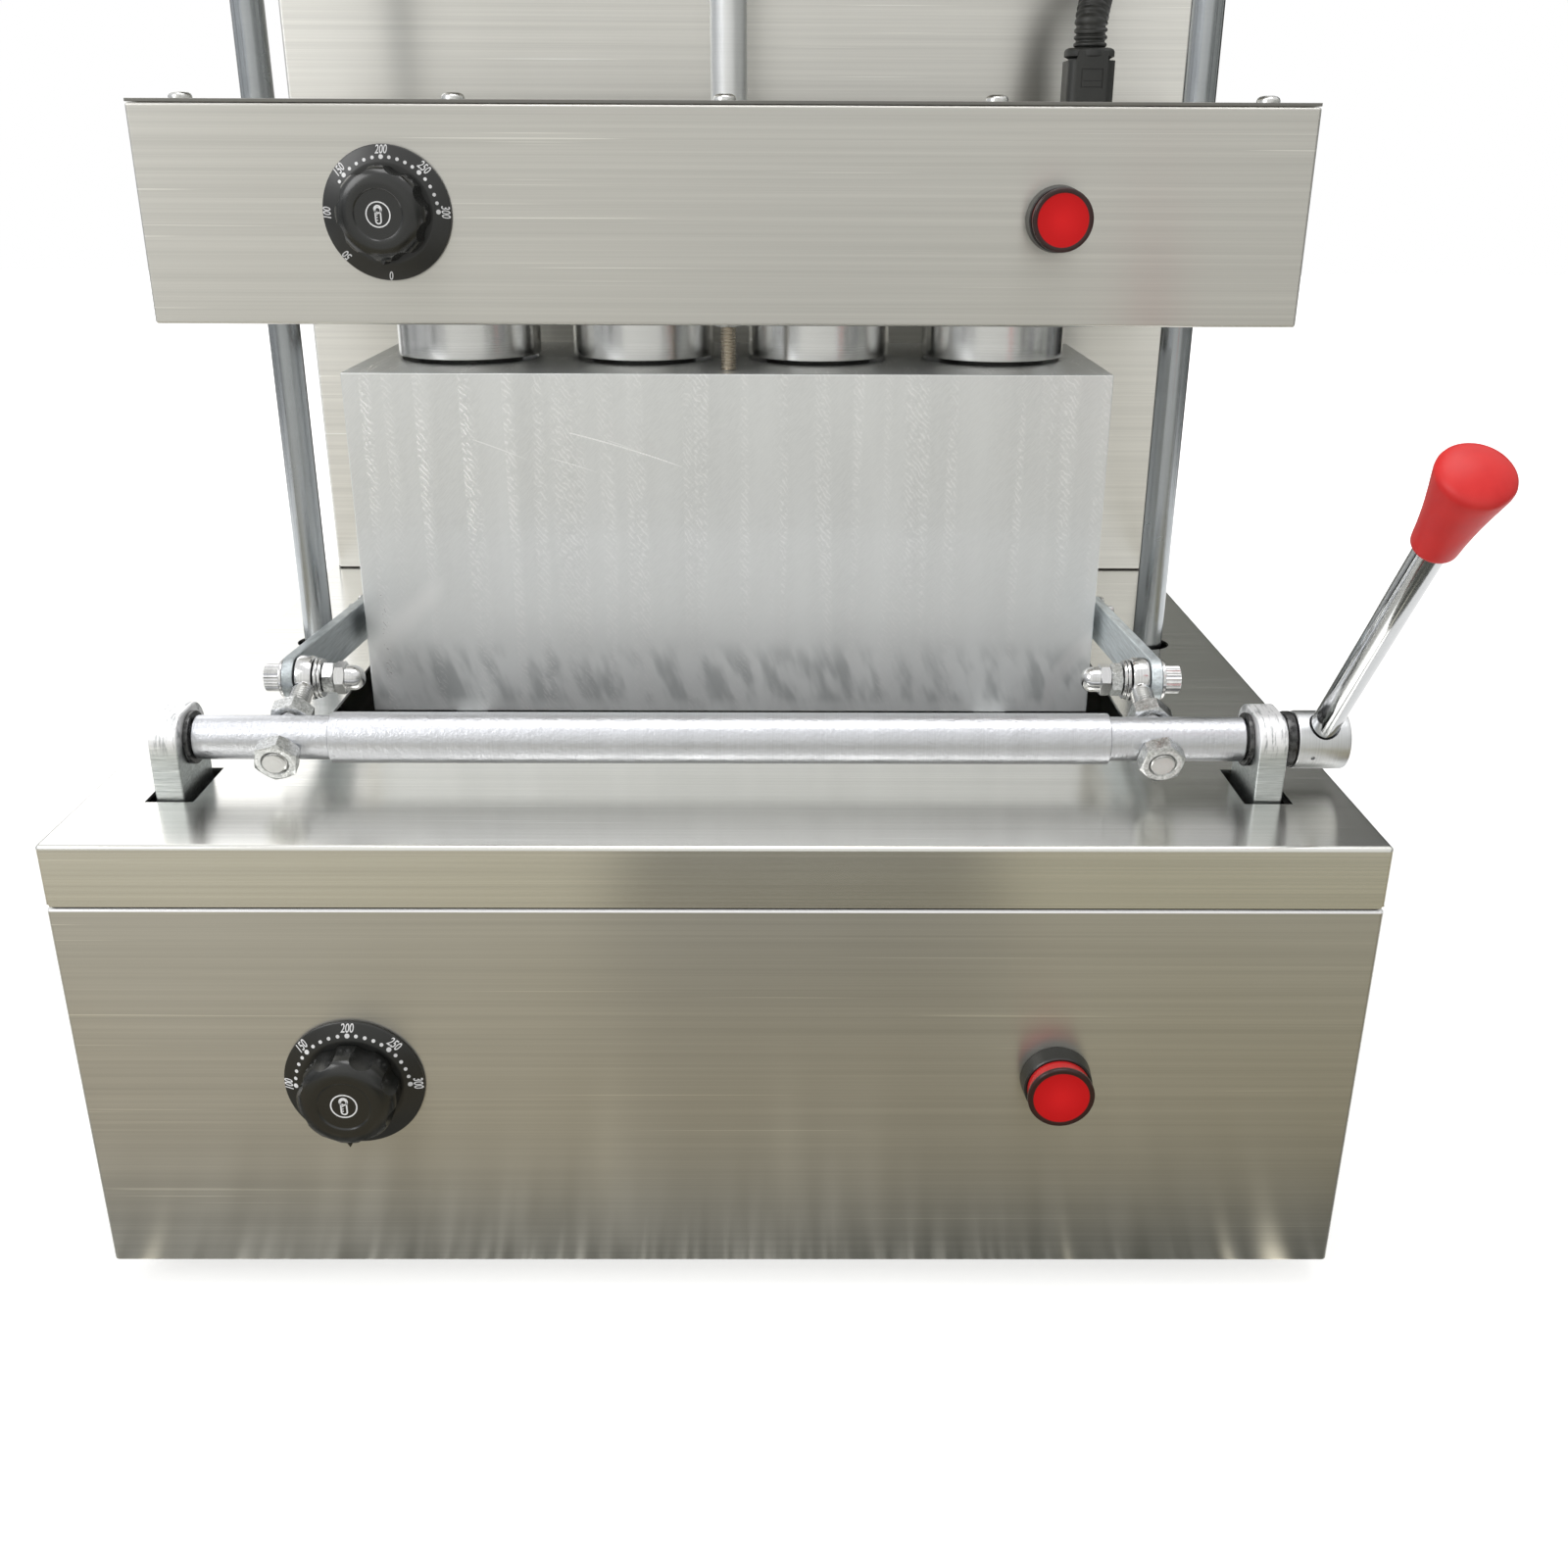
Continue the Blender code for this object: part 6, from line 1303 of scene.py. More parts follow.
# A near-black ring shaped like a washer stands in the gap between each post and the shaft: painted shade of
# that gap, with faint glints.
painted_gap_shade = clouded("gap_shade_steel", 350.0, (0.03, 0.03, 0.03), (0.14, 0.14, 0.14), 0.2, 0.4, 0.9)[0]
for side, sign in SIDES:
    level = sign * post_boxes["right"][0].x
    ring = washer(f"thrust_washer_{side}", 11.5 * MM, NECK_RADIUS + 0.2 * MM, 2.0 * MM,
                  at((level - sign * 2.2 * MM, SHAFT_Y, SHAFT_Z), (sign, 0, 0), (0, 0, 1)))
    finish_piece(ring, "lever_shaft", "zinc_plate", painted_gap_shade)
print("shaft at", round(SHAFT_Y, 4), round(SHAFT_Z, 4))

# %% Lever
boss_low, boss_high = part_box("lever_boss")
LEVER_X = (boss_low.x + boss_high.x) / 2
LEVER_ANGLE = math.radians(51)
LEVER = Vector((0, -math.cos(LEVER_ANGLE), math.sin(LEVER_ANGLE)))
BOSS_HALF = (boss_high.x - boss_low.x) / 2
boss_place = at((LEVER_X, SHAFT_Y, SHAFT_Z), (1, 0, 0), (0, 0, 1))
profile = [(0, BOSS_HALF), (BOSS_RADIUS - 1.2 * MM, BOSS_HALF),
           (BOSS_RADIUS - 0.35 * MM, BOSS_HALF - 0.35 * MM), (BOSS_RADIUS, BOSS_HALF - 1.2 * MM)]
profile += [(radius, -reach) for radius, reach in reversed(profile)]
boss = as_object("lever_hub", lathe(profile, 72), boss_place)
DIMPLE_WAY = Vector((0, -0.94, -0.34))
dimple = Vector((LEVER_X - 4.5 * MM, SHAFT_Y, SHAFT_Z)) + DIMPLE_WAY * (BOSS_RADIUS - 0.8 * MM)
cut(boss, bore((LEVER_X - BOSS_HALF, SHAFT_Y, SHAFT_Z), (-1, 0, 0), NECK_RADIUS + 0.3 * MM, 18.5 * MM, 48),
    bore(Vector((LEVER_X, SHAFT_Y, SHAFT_Z)) + LEVER * BOSS_RADIUS, tuple(LEVER), 6.6 * MM, 6 * MM, 48),
    bore(dimple, DIMPLE_WAY, 0.9 * MM, 1 * MM, 16))
finish_piece(boss, "lever_shaft", "zinc_plate",
             turned_metal("turned_hub", ZINC, 0.33, boss_place, 1500, 0.04 * MM, 0.10, 0.1 * MM),
             "lever_boss")
# Another such ring between the hub and the post: painted shade of the groove there.
ring = washer("thrust_washer_hub", BOSS_RADIUS - 0.3 * MM, NECK_RADIUS + 0.2 * MM, 4.2 * MM,
              at((LEVER_X - BOSS_HALF - 4.4 * MM, SHAFT_Y, SHAFT_Z), (1, 0, 0), (0, 0, 1)))
finish_piece(ring, "lever_shaft", "zinc_plate", painted_gap_shade)

lever_place = at((LEVER_X, SHAFT_Y, SHAFT_Z), LEVER, (1, 0, 0))
KNOB_FOOT = 135.5 * MM
profile = [(0, KNOB_FOOT + 23.7 * MM), (5.5 * MM, KNOB_FOOT + 23.7 * MM), (6 * MM, KNOB_FOOT + 23.2 * MM),
           (6 * MM, 8.7 * MM), (5.4 * MM, 8.1 * MM), (0, 8.1 * MM)]
chrome_lever = turned_metal("chrome_lever", (0.56, 0.57, 0.58), 0.10, lever_place, 900, 0.004 * MM, 0.03)
finish_piece(as_object("lever_bar", lathe(profile, 64), lever_place), "lever_shaft", "chrome", chrome_lever,
             "lever_rod")

red_plastic = clouded("red_knob_plastic", 90.0, (0.68, 0.018, 0.018), (0.76, 0.028, 0.026), 0.36, 0.48,
                      Specular_IOR_Level=0.35)[0]
profile = [(0, 42.0), (3.0, 41.9), (6.0, 41.5), (9.0, 40.8), (11.3, 39.9), (12.7, 39.0), (13.5, 38.1),
           (13.85, 37.1), (13.8, 35.8), (13.4, 33.6), (12.9, 31.0), (12.2, 27.5), (11.5, 23.5),
           (10.8, 19.5), (10.2, 15.5), (9.7, 11.5), (9.25, 7.5), (8.95, 4.0), (8.75, 1.6), (8.6, 0.6),
           (8.2, 0.1), (7.6, 0.0), (6.7, 0.0), (6.3, 0.4), (6.3, 24.0), (0, 24.0)]
profile = [(radius * MM, KNOB_FOOT + reach * MM) for radius, reach in profile]
knob = as_object("lever_grip", lathe(profile, 72), lever_place)
finish_piece(knob, "lever_shaft", "red_knob", red_plastic, "lever_knob", degrees=55)

# %% [markdown]
# ## Eyebolts, pins and link plates
#
# Each eyebolt goes through the shaft between two nuts, and its eye holds a pin
# that carries a link plate. The pin has a knurled head outside, then come the
# plate, the eye, two thin washers, a jam nut and a domed nut. They are shaped
# one by one, as they would be bought, and stacked at the CAD model's places.

# %% Eyebolts
CRANK_RADIUS = 43 * MM
EYE = Vector((0, SHAFT_Y, SHAFT_Z)) + CRANK * CRANK_RADIUS
EYE_RADIUS, EYE_HALF = 10 * MM, 4 * MM
THREAD_START, NECK_START, NECK_END = -18.8 * MM, 32.0 * MM, 36 * MM
NUT_SEAT, NUT_HEIGHT = 9.8 * MM, 8 * MM
for side, sign in SIDES:
    place = at((sign * EYEBOLT_X, SHAFT_Y, SHAFT_Z), CRANK, (1, 0, 0))
    bolt = as_object(f"eyebolt_thread_{side}", threaded(5 * MM, 1.5 * MM, THREAD_START, NECK_START), place)
    finish_piece(bolt, "lever_shaft", "zinc_plate",
                 turned_metal(f"bolt_steel_{side}", (0.62, 0.62, 0.61), 0.22, place, 2500, 0.01 * MM),
                 f"eyebolt_{side}")
    neck = lathe([(0, NECK_START - 1 * MM), (4.0 * MM, NECK_START - 1 * MM),
                  (4.3 * MM, NECK_START + 0.4 * MM), (4.5 * MM, NECK_END - 2 * MM), (4.8 * MM, NECK_END),
                  (0, NECK_END)], 40)
    bmesh.ops.transform(neck, matrix=place, verts=neck.verts)
    rim, waist = EYE_RADIUS, 4.3 * MM
    lower_half = [(waist, 1.2 * MM - EYE_HALF), (waist + 1.2 * MM, -EYE_HALF), (rim - 1.6 * MM, -EYE_HALF),
                  (rim - 0.5 * MM, 0.5 * MM - EYE_HALF), (rim, 1.6 * MM - EYE_HALF)]
    upper_half = [(radius, -level) for radius, level in reversed(lower_half)]
    ring = lathe(lower_half + upper_half, 64, closed=True)
    eye_place = at((sign * EYEBOLT_X, EYE.y, EYE.z), (1, 0, 0), (0, 0, 1))
    eye = as_object(f"eyebolt_eye_{side}", ring, eye_place)
    combine(eye, "UNION", neck)
    finish_piece(eye, "lever_shaft", "zinc_plate",
                 turned_metal(f"eye_steel_{side}", (0.68, 0.68, 0.68), 0.16, eye_place, 1500, 0.01 * MM))
    for name, start in (("rear", NUT_SEAT), ("front", -NUT_SEAT - NUT_HEIGHT)):
        made = nut(f"eyebolt_nut_{name}_{side}", 17 * MM, NUT_HEIGHT, 4.5 * MM, raised(place, start),
                   turn=math.radians(12), sink=1.5 * MM)
        finish_piece(made, "lever_shaft", "zinc_plate", zinc_nut)
print("eyes at", [round(value, 4) for value in EYE])

# %% Knurled cap head
def knurled(radius, start, end, teeth=26, depth=0.45 * MM, edge=0.5 * MM):
    """A round head with straight knurling: every second side of a prism is pressed in a little."""
    bm = prism(radius, start, end, teeth * 2)
    for vert in bm.verts:
        step = round(math.atan2(vert.co.y, vert.co.x) / (math.pi / teeth))
        if step % 2:
            vert.co.xy *= 1 - depth / radius
    caps = [face for face in bm.faces if abs(face.normal.z) > 0.9]
    for cap in caps:
        bmesh.ops.inset_region(bm, faces=[cap], thickness=edge)
        outwards = 1 if cap.normal.z > 0 else -1
        bmesh.ops.translate(bm, vec=(0, 0, outwards * edge * 0.6), verts=cap.verts)
    return bm


def cap_screw(name, radius, start, end, socket, place):
    """A knurled head with a hexagon socket in its outer end."""
    edge = 0.5 * MM
    made = as_object(name, knurled(radius, start + edge * 0.6, end - edge * 0.6))
    cut(made, prism(socket, end - (end - start) * 0.55, end + 2 * MM, 6))
    made.data.transform(place)
    return made


print("cap head ready")

# %% Eye pins
LINK_INNER, LINK_THICKNESS = 191 * MM, 5 * MM
LINK_OUTER = LINK_INNER + LINK_THICKNESS
OUTER_WASHER = LINK_OUTER + 0.3 * MM
PIN_HEAD = OUTER_WASHER + 1.5 * MM
INNER_FACE = EYEBOLT_X - EYE_HALF - 0.3 * MM
DOME_RADIUS, DOME_RISE = 5.7 * MM, 5.2 * MM
for side, sign in SIDES:
    place = at((0, EYE.y, EYE.z), (sign, 0, 0), (0, 0, 1))
    pin_steel = turned_metal(f"pin_steel_{side}", (0.66, 0.66, 0.66), 0.18, place, 2200, 0.01 * MM)
    pin = lathe(plain_rod(4 * MM, INNER_FACE - 15 * MM, PIN_HEAD + 0.5 * MM), 40)
    finish_piece(as_object(f"eye_pin_rod_{side}", pin, place), "lever_shaft", "chrome", pin_steel,
                 f"eye_pin_{side}")
    head = cap_screw(f"eye_pin_head_{side}", 6.2 * MM, PIN_HEAD, PIN_HEAD + 7.5 * MM, 2.9 * MM, place)
    finish_piece(head, "lever_shaft", "chrome", pin_steel, degrees=50)
    for name, radius, thickness, level in (("washer", 9, 1.5 * MM, OUTER_WASHER),
                                           ("thin_washer_1", 9.1, 1.4 * MM, INNER_FACE - 1.5 * MM),
                                           ("thin_washer_2", 8.6, 1.4 * MM, INNER_FACE - 3.0 * MM)):
        ring = washer(f"eye_pin_{name}_{side}", radius * MM, 4.2 * MM, thickness, raised(place, level))
        finish_piece(ring, "lever_shaft", "chrome", pin_steel)
    jam = nut(f"eye_pin_jam_nut_{side}", 13 * MM, 5.2 * MM, 3.9 * MM, raised(place, INNER_FACE - 8.4 * MM),
              turn=math.radians(20))
    finish_piece(jam, "lever_shaft", "chrome", zinc_nut)
    nut_end = INNER_FACE - 13.4 * MM
    acorn = nut(f"eye_pin_domed_nut_{side}", 13 * MM, 4.9 * MM, 3.0 * MM, raised(place, nut_end),
                turn=math.radians(-5))
    finish_piece(acorn, "lever_shaft", "chrome", pin_steel)
    dome = [(DOME_RADIUS * math.cos(angle) ** 0.8, nut_end - 2.6 * MM - DOME_RISE * math.sin(angle))
            for angle in (math.radians(step) for step in range(0, 91, 10))]
    profile = [(0, nut_end + 1 * MM), (DOME_RADIUS, nut_end + 1 * MM)] + dome[:-1] + [(0, dome[-1][1])]
    finish_piece(as_object(f"eye_pin_dome_{side}", lathe(profile, 48), place), "lever_shaft", "chrome",
                 pin_steel)
print("pin heads from", round(PIN_HEAD, 4), "outwards")

# %% Link plates
LINK_DROP = 9.2 * MM
FRONT_PULL_Y = block_low.y + 32.6 * MM
LINK_SPAN = math.hypot(FRONT_PULL_Y - EYE.y, LINK_DROP)
LINK_TILT = math.asin(LINK_DROP / LINK_SPAN)
LINK_WAY = Vector((0, math.cos(LINK_TILT), -math.sin(LINK_TILT)))


def link_steel(side, shade, metallic):
    """Rolled steel with fine strokes along the bar; the shade factor paints a copy paler and the metallic
    value makes it duller, as painted light.
    """
    dark, light = tint((0.33, 0.36, 0.37), shade), tint((0.52, 0.56, 0.58), shade)
    made, tree, shader, _ = clouded(f"link_steel_{side}", 70.0, dark, light, 0.29, 0.44, metallic)
    strokes = noise_of(tree, scaled(tree, object_place(tree), (500, 60, 1100)), 3.0, 0.6)
    wire(tree, blend_colour(tree, ramp(tree, strokes, 0.3, 0.7), dark, light), shader.inputs["Base Color"])
    emboss(tree, shader, strokes, 0.6, 0.05 * MM)
    return made


def stadium(half, length, steps, way):
    """A flat face with round ends: a circle that is pulled apart one way."""
    bm = bmesh.new()
    bmesh.ops.create_circle(bm, segments=steps, radius=half)
    bmesh.ops.rotate(bm, matrix=Matrix.Rotation(math.pi / steps, 3, "Z"), verts=bm.verts)
    bmesh.ops.translate(bm, vec=way * length, verts=[vert for vert in bm.verts if vert.co.dot(way) > 0])
    bmesh.ops.edgeloop_fill(bm, edges=bm.edges)
    return bm


def thicken(bm, thickness):
    grown = bmesh.ops.extrude_face_region(bm, geom=bm.faces[:])["geom"]
    bmesh.ops.translate(bm, vec=(0, 0, thickness),
                        verts=[item for item in grown if isinstance(item, bmesh.types.BMVert)])
    bmesh.ops.recalc_face_normals(bm, faces=bm.faces)
    return bm


def link_plate(name, length, half, thickness, holes):
    """A flat bar with round ends; each of its holes has a place along it and a radius."""
    made = as_object(name, thicken(stadium(half, length, 64, Vector((1, 0, 0))), thickness))
    drills = [hole(along, 0, thickness / 2, radius, reach=thickness / 2 + 5 * MM) for along, radius in holes]
    return soften_piece(cut(made, *drills), 0.5 * MM, 3)


# The right link is the left one's steel painted lighter and duller: a lit copy, painted light.
for side, sign, shade, metallic in (("left", -1, 1.0, 1.0), ("right", 1, 1.65, 0.55)):
    plate = link_plate(f"link_bar_{side}", LINK_SPAN, 10 * MM, LINK_THICKNESS,
                       ((0, 4.3 * MM), (LINK_SPAN, 6.6 * MM)))
    inner = LINK_INNER if sign > 0 else -LINK_OUTER
    plate.data.transform(at((inner, EYE.y, EYE.z), (1, 0, 0), LINK_WAY))
    finish_piece(plate, f"link_{side}", "zinc_plate", link_steel(side, shade, metallic), f"link_{side}")
print("links", round(LINK_SPAN, 4), "long, tilted", round(math.degrees(LINK_TILT), 2))

# %% Link bolts
for side, sign in SIDES:
    place = at((0, FRONT_PULL_Y, EYE.z - LINK_DROP), (sign, 0, 0), (0, 0, 1))
    bolt_steel = turned_metal(f"link_bolt_steel_{side}", (0.64, 0.64, 0.64), 0.2, place, 2200, 0.01 * MM)
    rod = lathe(plain_rod(3 * MM, block_high.x - 20 * MM, PIN_HEAD + 0.5 * MM), 32)
    finish_piece(as_object(f"link_bolt_rod_{side}", rod, place), "front_mould", "zinc_plate", bolt_steel,
                 f"link_bolt_{side}")
    for name, thickness, level in (("spacer", 3.2 * MM, block_high.x + 0.3 * MM),
                                   ("washer", 1.5 * MM, OUTER_WASHER)):
        ring = washer(f"link_bolt_{name}_{side}", 10 * MM, 3.1 * MM, thickness, raised(place, level))
        finish_piece(ring, "front_mould", "zinc_plate", bolt_steel)
    head = cap_screw(f"link_bolt_head_{side}", 5 * MM, PIN_HEAD, PIN_HEAD + 6 * MM, 2.3 * MM, place)
    finish_piece(head, "front_mould", "zinc_plate", bolt_steel, degrees=50)
print("link bolts at", round(FRONT_PULL_Y, 4), round(EYE.z - LINK_DROP, 4))

# %% [markdown]
# ## Small screws
#
# Pan-head screws hold the head's cover, the column's back and the control
# plate. The head is a turned dome, and its cross recess is cut with two crossed
# blocks.

# %% Pan-head screws
def pan_screw(name, radius, place, turn=0.0):
    high = radius * 0.56
    profile = [(0, high), (radius * 0.45, high * 0.985), (radius * 0.72, high * 0.88),
               (radius * 0.9, high * 0.66), (radius * 0.98, high * 0.36), (radius, 0), (0, 0)]
    made = as_object(name, lathe(profile, 32))
    crosses = []
    for quarter in (0, math.pi / 2):
        slot = block((-radius * 0.52, -radius * 0.09, high * 0.45), (radius * 0.52, radius * 0.09, high * 2))
        bmesh.ops.rotate(slot, matrix=Matrix.Rotation(quarter + turn, 3, "Z"), verts=slot.verts)
        crosses.append(slot)
    cut(made, *crosses)
    made.data.transform(place)
    return made


screw_steel = clouded("screw_steel", 400.0, (0.52, 0.52, 0.50), (0.70, 0.70, 0.69), 0.18, 0.32, 1.0)[0]

COVER_SCREW_SHARES = (-0.909, -0.454, 0.0, 0.4555, 0.911)
COVER_SCREW_INSET = 7 * MM
for row, y in (("front", cover_low.y + COVER_SCREW_INSET), ("rear", cover_high.y - COVER_SCREW_INSET)):
    for number, share in enumerate(COVER_SCREW_SHARES, start=1):
        place = at((share * cover_high.x, y, cover_high.z))
        screw = pan_screw(f"cover_screw_{row}_{number}", 5.3 * MM, place, turn=0.5 * number)
        finish_piece(screw, "press_head", "brushed_steel", screw_steel)
BACK_SCREWS, SCREW_INSET, SCREW_EDGE = 4, 14 * MM, 9 * MM
SCREW_STEP = (rear_high.z - rear_low.z - 2 * SCREW_INSET) / (BACK_SCREWS - 1)
for side, x in (("left", rear_low.x + SCREW_EDGE), ("right", rear_high.x - SCREW_EDGE)):
    for number in range(BACK_SCREWS):
        place = at((x, rear_high.y, rear_low.z + SCREW_INSET + number * SCREW_STEP), (0, 1, 0))
        screw = pan_screw(f"back_screw_{side}_{number + 1}", 3.8 * MM, place, turn=0.7 * number)
        finish_piece(screw, "base", "brushed_steel", screw_steel)
print("pan-head screws:", 2 * (len(COVER_SCREW_SHARES) + BACK_SCREWS))

# %% [markdown]
# ## Black plastic
#
# Dials, knobs, bezels and hose fittings are moulded in black plastic with a
# spark-eroded skin. It isn't a flat black: very fine noise roughens it, and
# slow noise makes it a little greyer where fingers have polished it.

# %% Black plastic
def moulded_plastic(name, colour, roughness, grain=2600.0, depth=0.03 * MM):
    made, tree, shader, _ = clouded(name, 45.0, tint(colour, 0.85), tint(colour, 1.25), roughness * 1.12,
                                    roughness * 0.88, Specular_IOR_Level=0.7)
    emboss(tree, shader, use_group(tree, smudge_group, Size=grain).outputs["Amount"], 0.5, depth)
    return made


BLACK = (0.007, 0.0075, 0.0065)
black_plastic = moulded_plastic("black_plastic", BLACK, 0.34)
grip_plastic = moulded_plastic("grip_plastic", BLACK, 0.22, depth=0.01 * MM)
fitting_plastic = moulded_plastic("fitting_plastic", (0.016, 0.017, 0.015), 0.42)
print_white = moulded_plastic("printed_white", (0.80, 0.80, 0.80), 0.5)
print("plastics:", black_plastic.name, grip_plastic.name, fitting_plastic.name, print_white.name)

# %% [markdown]
# ## Dials
#
# A dial is a shallow turned dish, printed with a scale from 0 to 300. The
# figures are text curves, sheared like the printed ones and made a mesh before
# they are laid on the dish's slope. Its knob has a skirt with a small pointer,
# eight finger hollows round the grip, and a shallow dish in the top with a
# printed sign.

# %% Words as meshes
def text_mesh(body, size, thickness, shear=0.0, offset=0.0):
    """A word as a bmesh in its own XY plane, centred on the origin."""
    curve = bpy.data.curves.new("words", "FONT")
    curve.body = body
    curve.size = size
    curve.extrude = thickness / 2
    curve.shear = shear
    curve.offset = offset
    curve.align_x = "CENTER"
    curve.align_y = "CENTER"
    holder = bpy.data.objects.new("words", curve)
    scene.collection.objects.link(holder)
    bpy.context.view_layer.update()
    mesh = bpy.data.meshes.new_from_object(holder.evaluated_get(bpy.context.evaluated_depsgraph_get()))
    bpy.data.objects.remove(holder, do_unlink=True)
    bm = bmesh.new()
    bm.from_mesh(mesh)
    bmesh.ops.remove_doubles(bm, verts=bm.verts, dist=WELD / 2)
    return bm


def gather(name, bms, place):
    """Several bmeshes as one object."""
    whole = bmesh.new()
    for bm in bms:
        loose = bpy.data.meshes.new("loose")
        bm.to_mesh(loose)
        bm.free()
        whole.from_mesh(loose)
        bpy.data.meshes.remove(loose)
    return as_object(name, whole, place)


print("words can be laid on a dial")

# %% Printed scale
DIAL_RADIUS, DIAL_RIM, DIAL_FACE, DIAL_RAISED = 29.4 * MM, 2.1 * MM, 4.3 * MM, 22 * MM
DIAL_SLOPE = math.atan2(DIAL_FACE - DIAL_RIM, DIAL_RADIUS - DIAL_RAISED)
PRINT = 0.06 * MM
FIGURE_CIRCLE, DOT_CIRCLE = 27.0 * MM, 24.0 * MM
LABELS = {0: 180.0, 50: -133.0, 100: -90.5, 150: -47.5, 200: -0.5, 250: 43.5, 300: 88.5}


def on_dial(angle, radius):
    """Where a mark lies on the dish, at a clockwise angle from its top."""
    level = DIAL_FACE - (radius - DIAL_RAISED) * math.tan(DIAL_SLOPE)
    turn = Matrix.Rotation(-math.radians(angle), 4, "Z")
    lean = Matrix.Rotation(-DIAL_SLOPE, 4, "X")
    return turn @ Matrix.Translation((0, radius, level + PRINT / 2)) @ lean


def dial_marks(first_dot):
    """The figures, and a dot for every 10 degrees from the first one on, larger at the figures."""
    marks = []
    for value, angle in LABELS.items():
        word = text_mesh(str(value), 5.5 * MM, PRINT, shear=0.2, offset=0.07 * MM)
        narrow = Matrix.Diagonal((0.66, 1, 1, 1))
        bmesh.ops.transform(word, matrix=on_dial(angle, FIGURE_CIRCLE) @ narrow, verts=word.verts)
        marks.append(word)
    for value in range(first_dot, 301, 10):
        dot = prism((1.05 if value % 50 == 0 else 0.8) * MM, -PRINT / 2, PRINT / 2, 20)
        before = value // 50 * 50
        after = min(before + 50, 300)
        angle = LABELS[before] + (LABELS[after] - LABELS[before]) * (value - before) / 50
        bmesh.ops.transform(dot, matrix=on_dial(angle, DOT_CIRCLE), verts=dot.verts)
        marks.append(dot)
    return marks


print("a scale with", len(LABELS), "figures")

# %% Grip and sign
def scalloped_grip(lobes=8):
    """A thick grip with a rounded front; each finger hollow is the bite of a leaning barrel."""
    profile = in_mm((0, 0), (20.1, 0), (20.4, 0.5), (20.5, 4), (20.5, 9), (20.2, 11.2), (19.4, 12.8),
                    (18.0, 14.0), (16.4, 14.8), (14.6, 15.25), (13.2, 15.3), (12.0, 15.25), (11.3, 15.15),
                    (10.9, 14.8), (10.6, 14.65), (0, 14.5))
    made = as_object("grip", lathe(profile, 96))
    bites = []
    for lobe in range(lobes):
        barrel = prism(8.5 * MM, -30 * MM, 30 * MM, 40)
        bmesh.ops.rotate(barrel, matrix=Matrix.Rotation(math.radians(-4), 3, "Y"), verts=barrel.verts)
        bmesh.ops.translate(barrel, vec=(26.9 * MM, 0, 9 * MM), verts=barrel.verts)
        bmesh.ops.rotate(barrel, matrix=Matrix.Rotation(math.tau * (lobe + 0.5) / lobes, 3, "Z"),
                         verts=barrel.verts)
        bites.append(barrel)
    return cut(made, *bites)


def capsule_outline(half, reach, line, thickness):
    """A line of some thickness round a flat shape with round ends."""
    bm = stadium(half, reach, 24, Vector((0, 1, 0)))
    middle = bm.faces[:]
    bmesh.ops.inset_region(bm, faces=middle, thickness=line, use_boundary=True)
    bmesh.ops.delete(bm, geom=middle, context="FACES")
    return thicken(bm, thickness)


print("grip and sign can be made")

# %% Dials and knobs
KNOB_START = DIAL_FACE + 0.3 * MM
SIGN_LEVEL, SIGN_DEPTH = 14.58 * MM, 2 * PRINT
FORWARD = (0, -1, 0)
PANELS = (("base", "base"), ("head", "press_head"))


def on_panel(where, node):
    """A place on the front of the base or head, in the middle of a node, with +Z forwards and +Y up."""
    x, _, z = middle_of(node)
    return at((x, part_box(f"{where}_shell")[0].y, z), FORWARD)


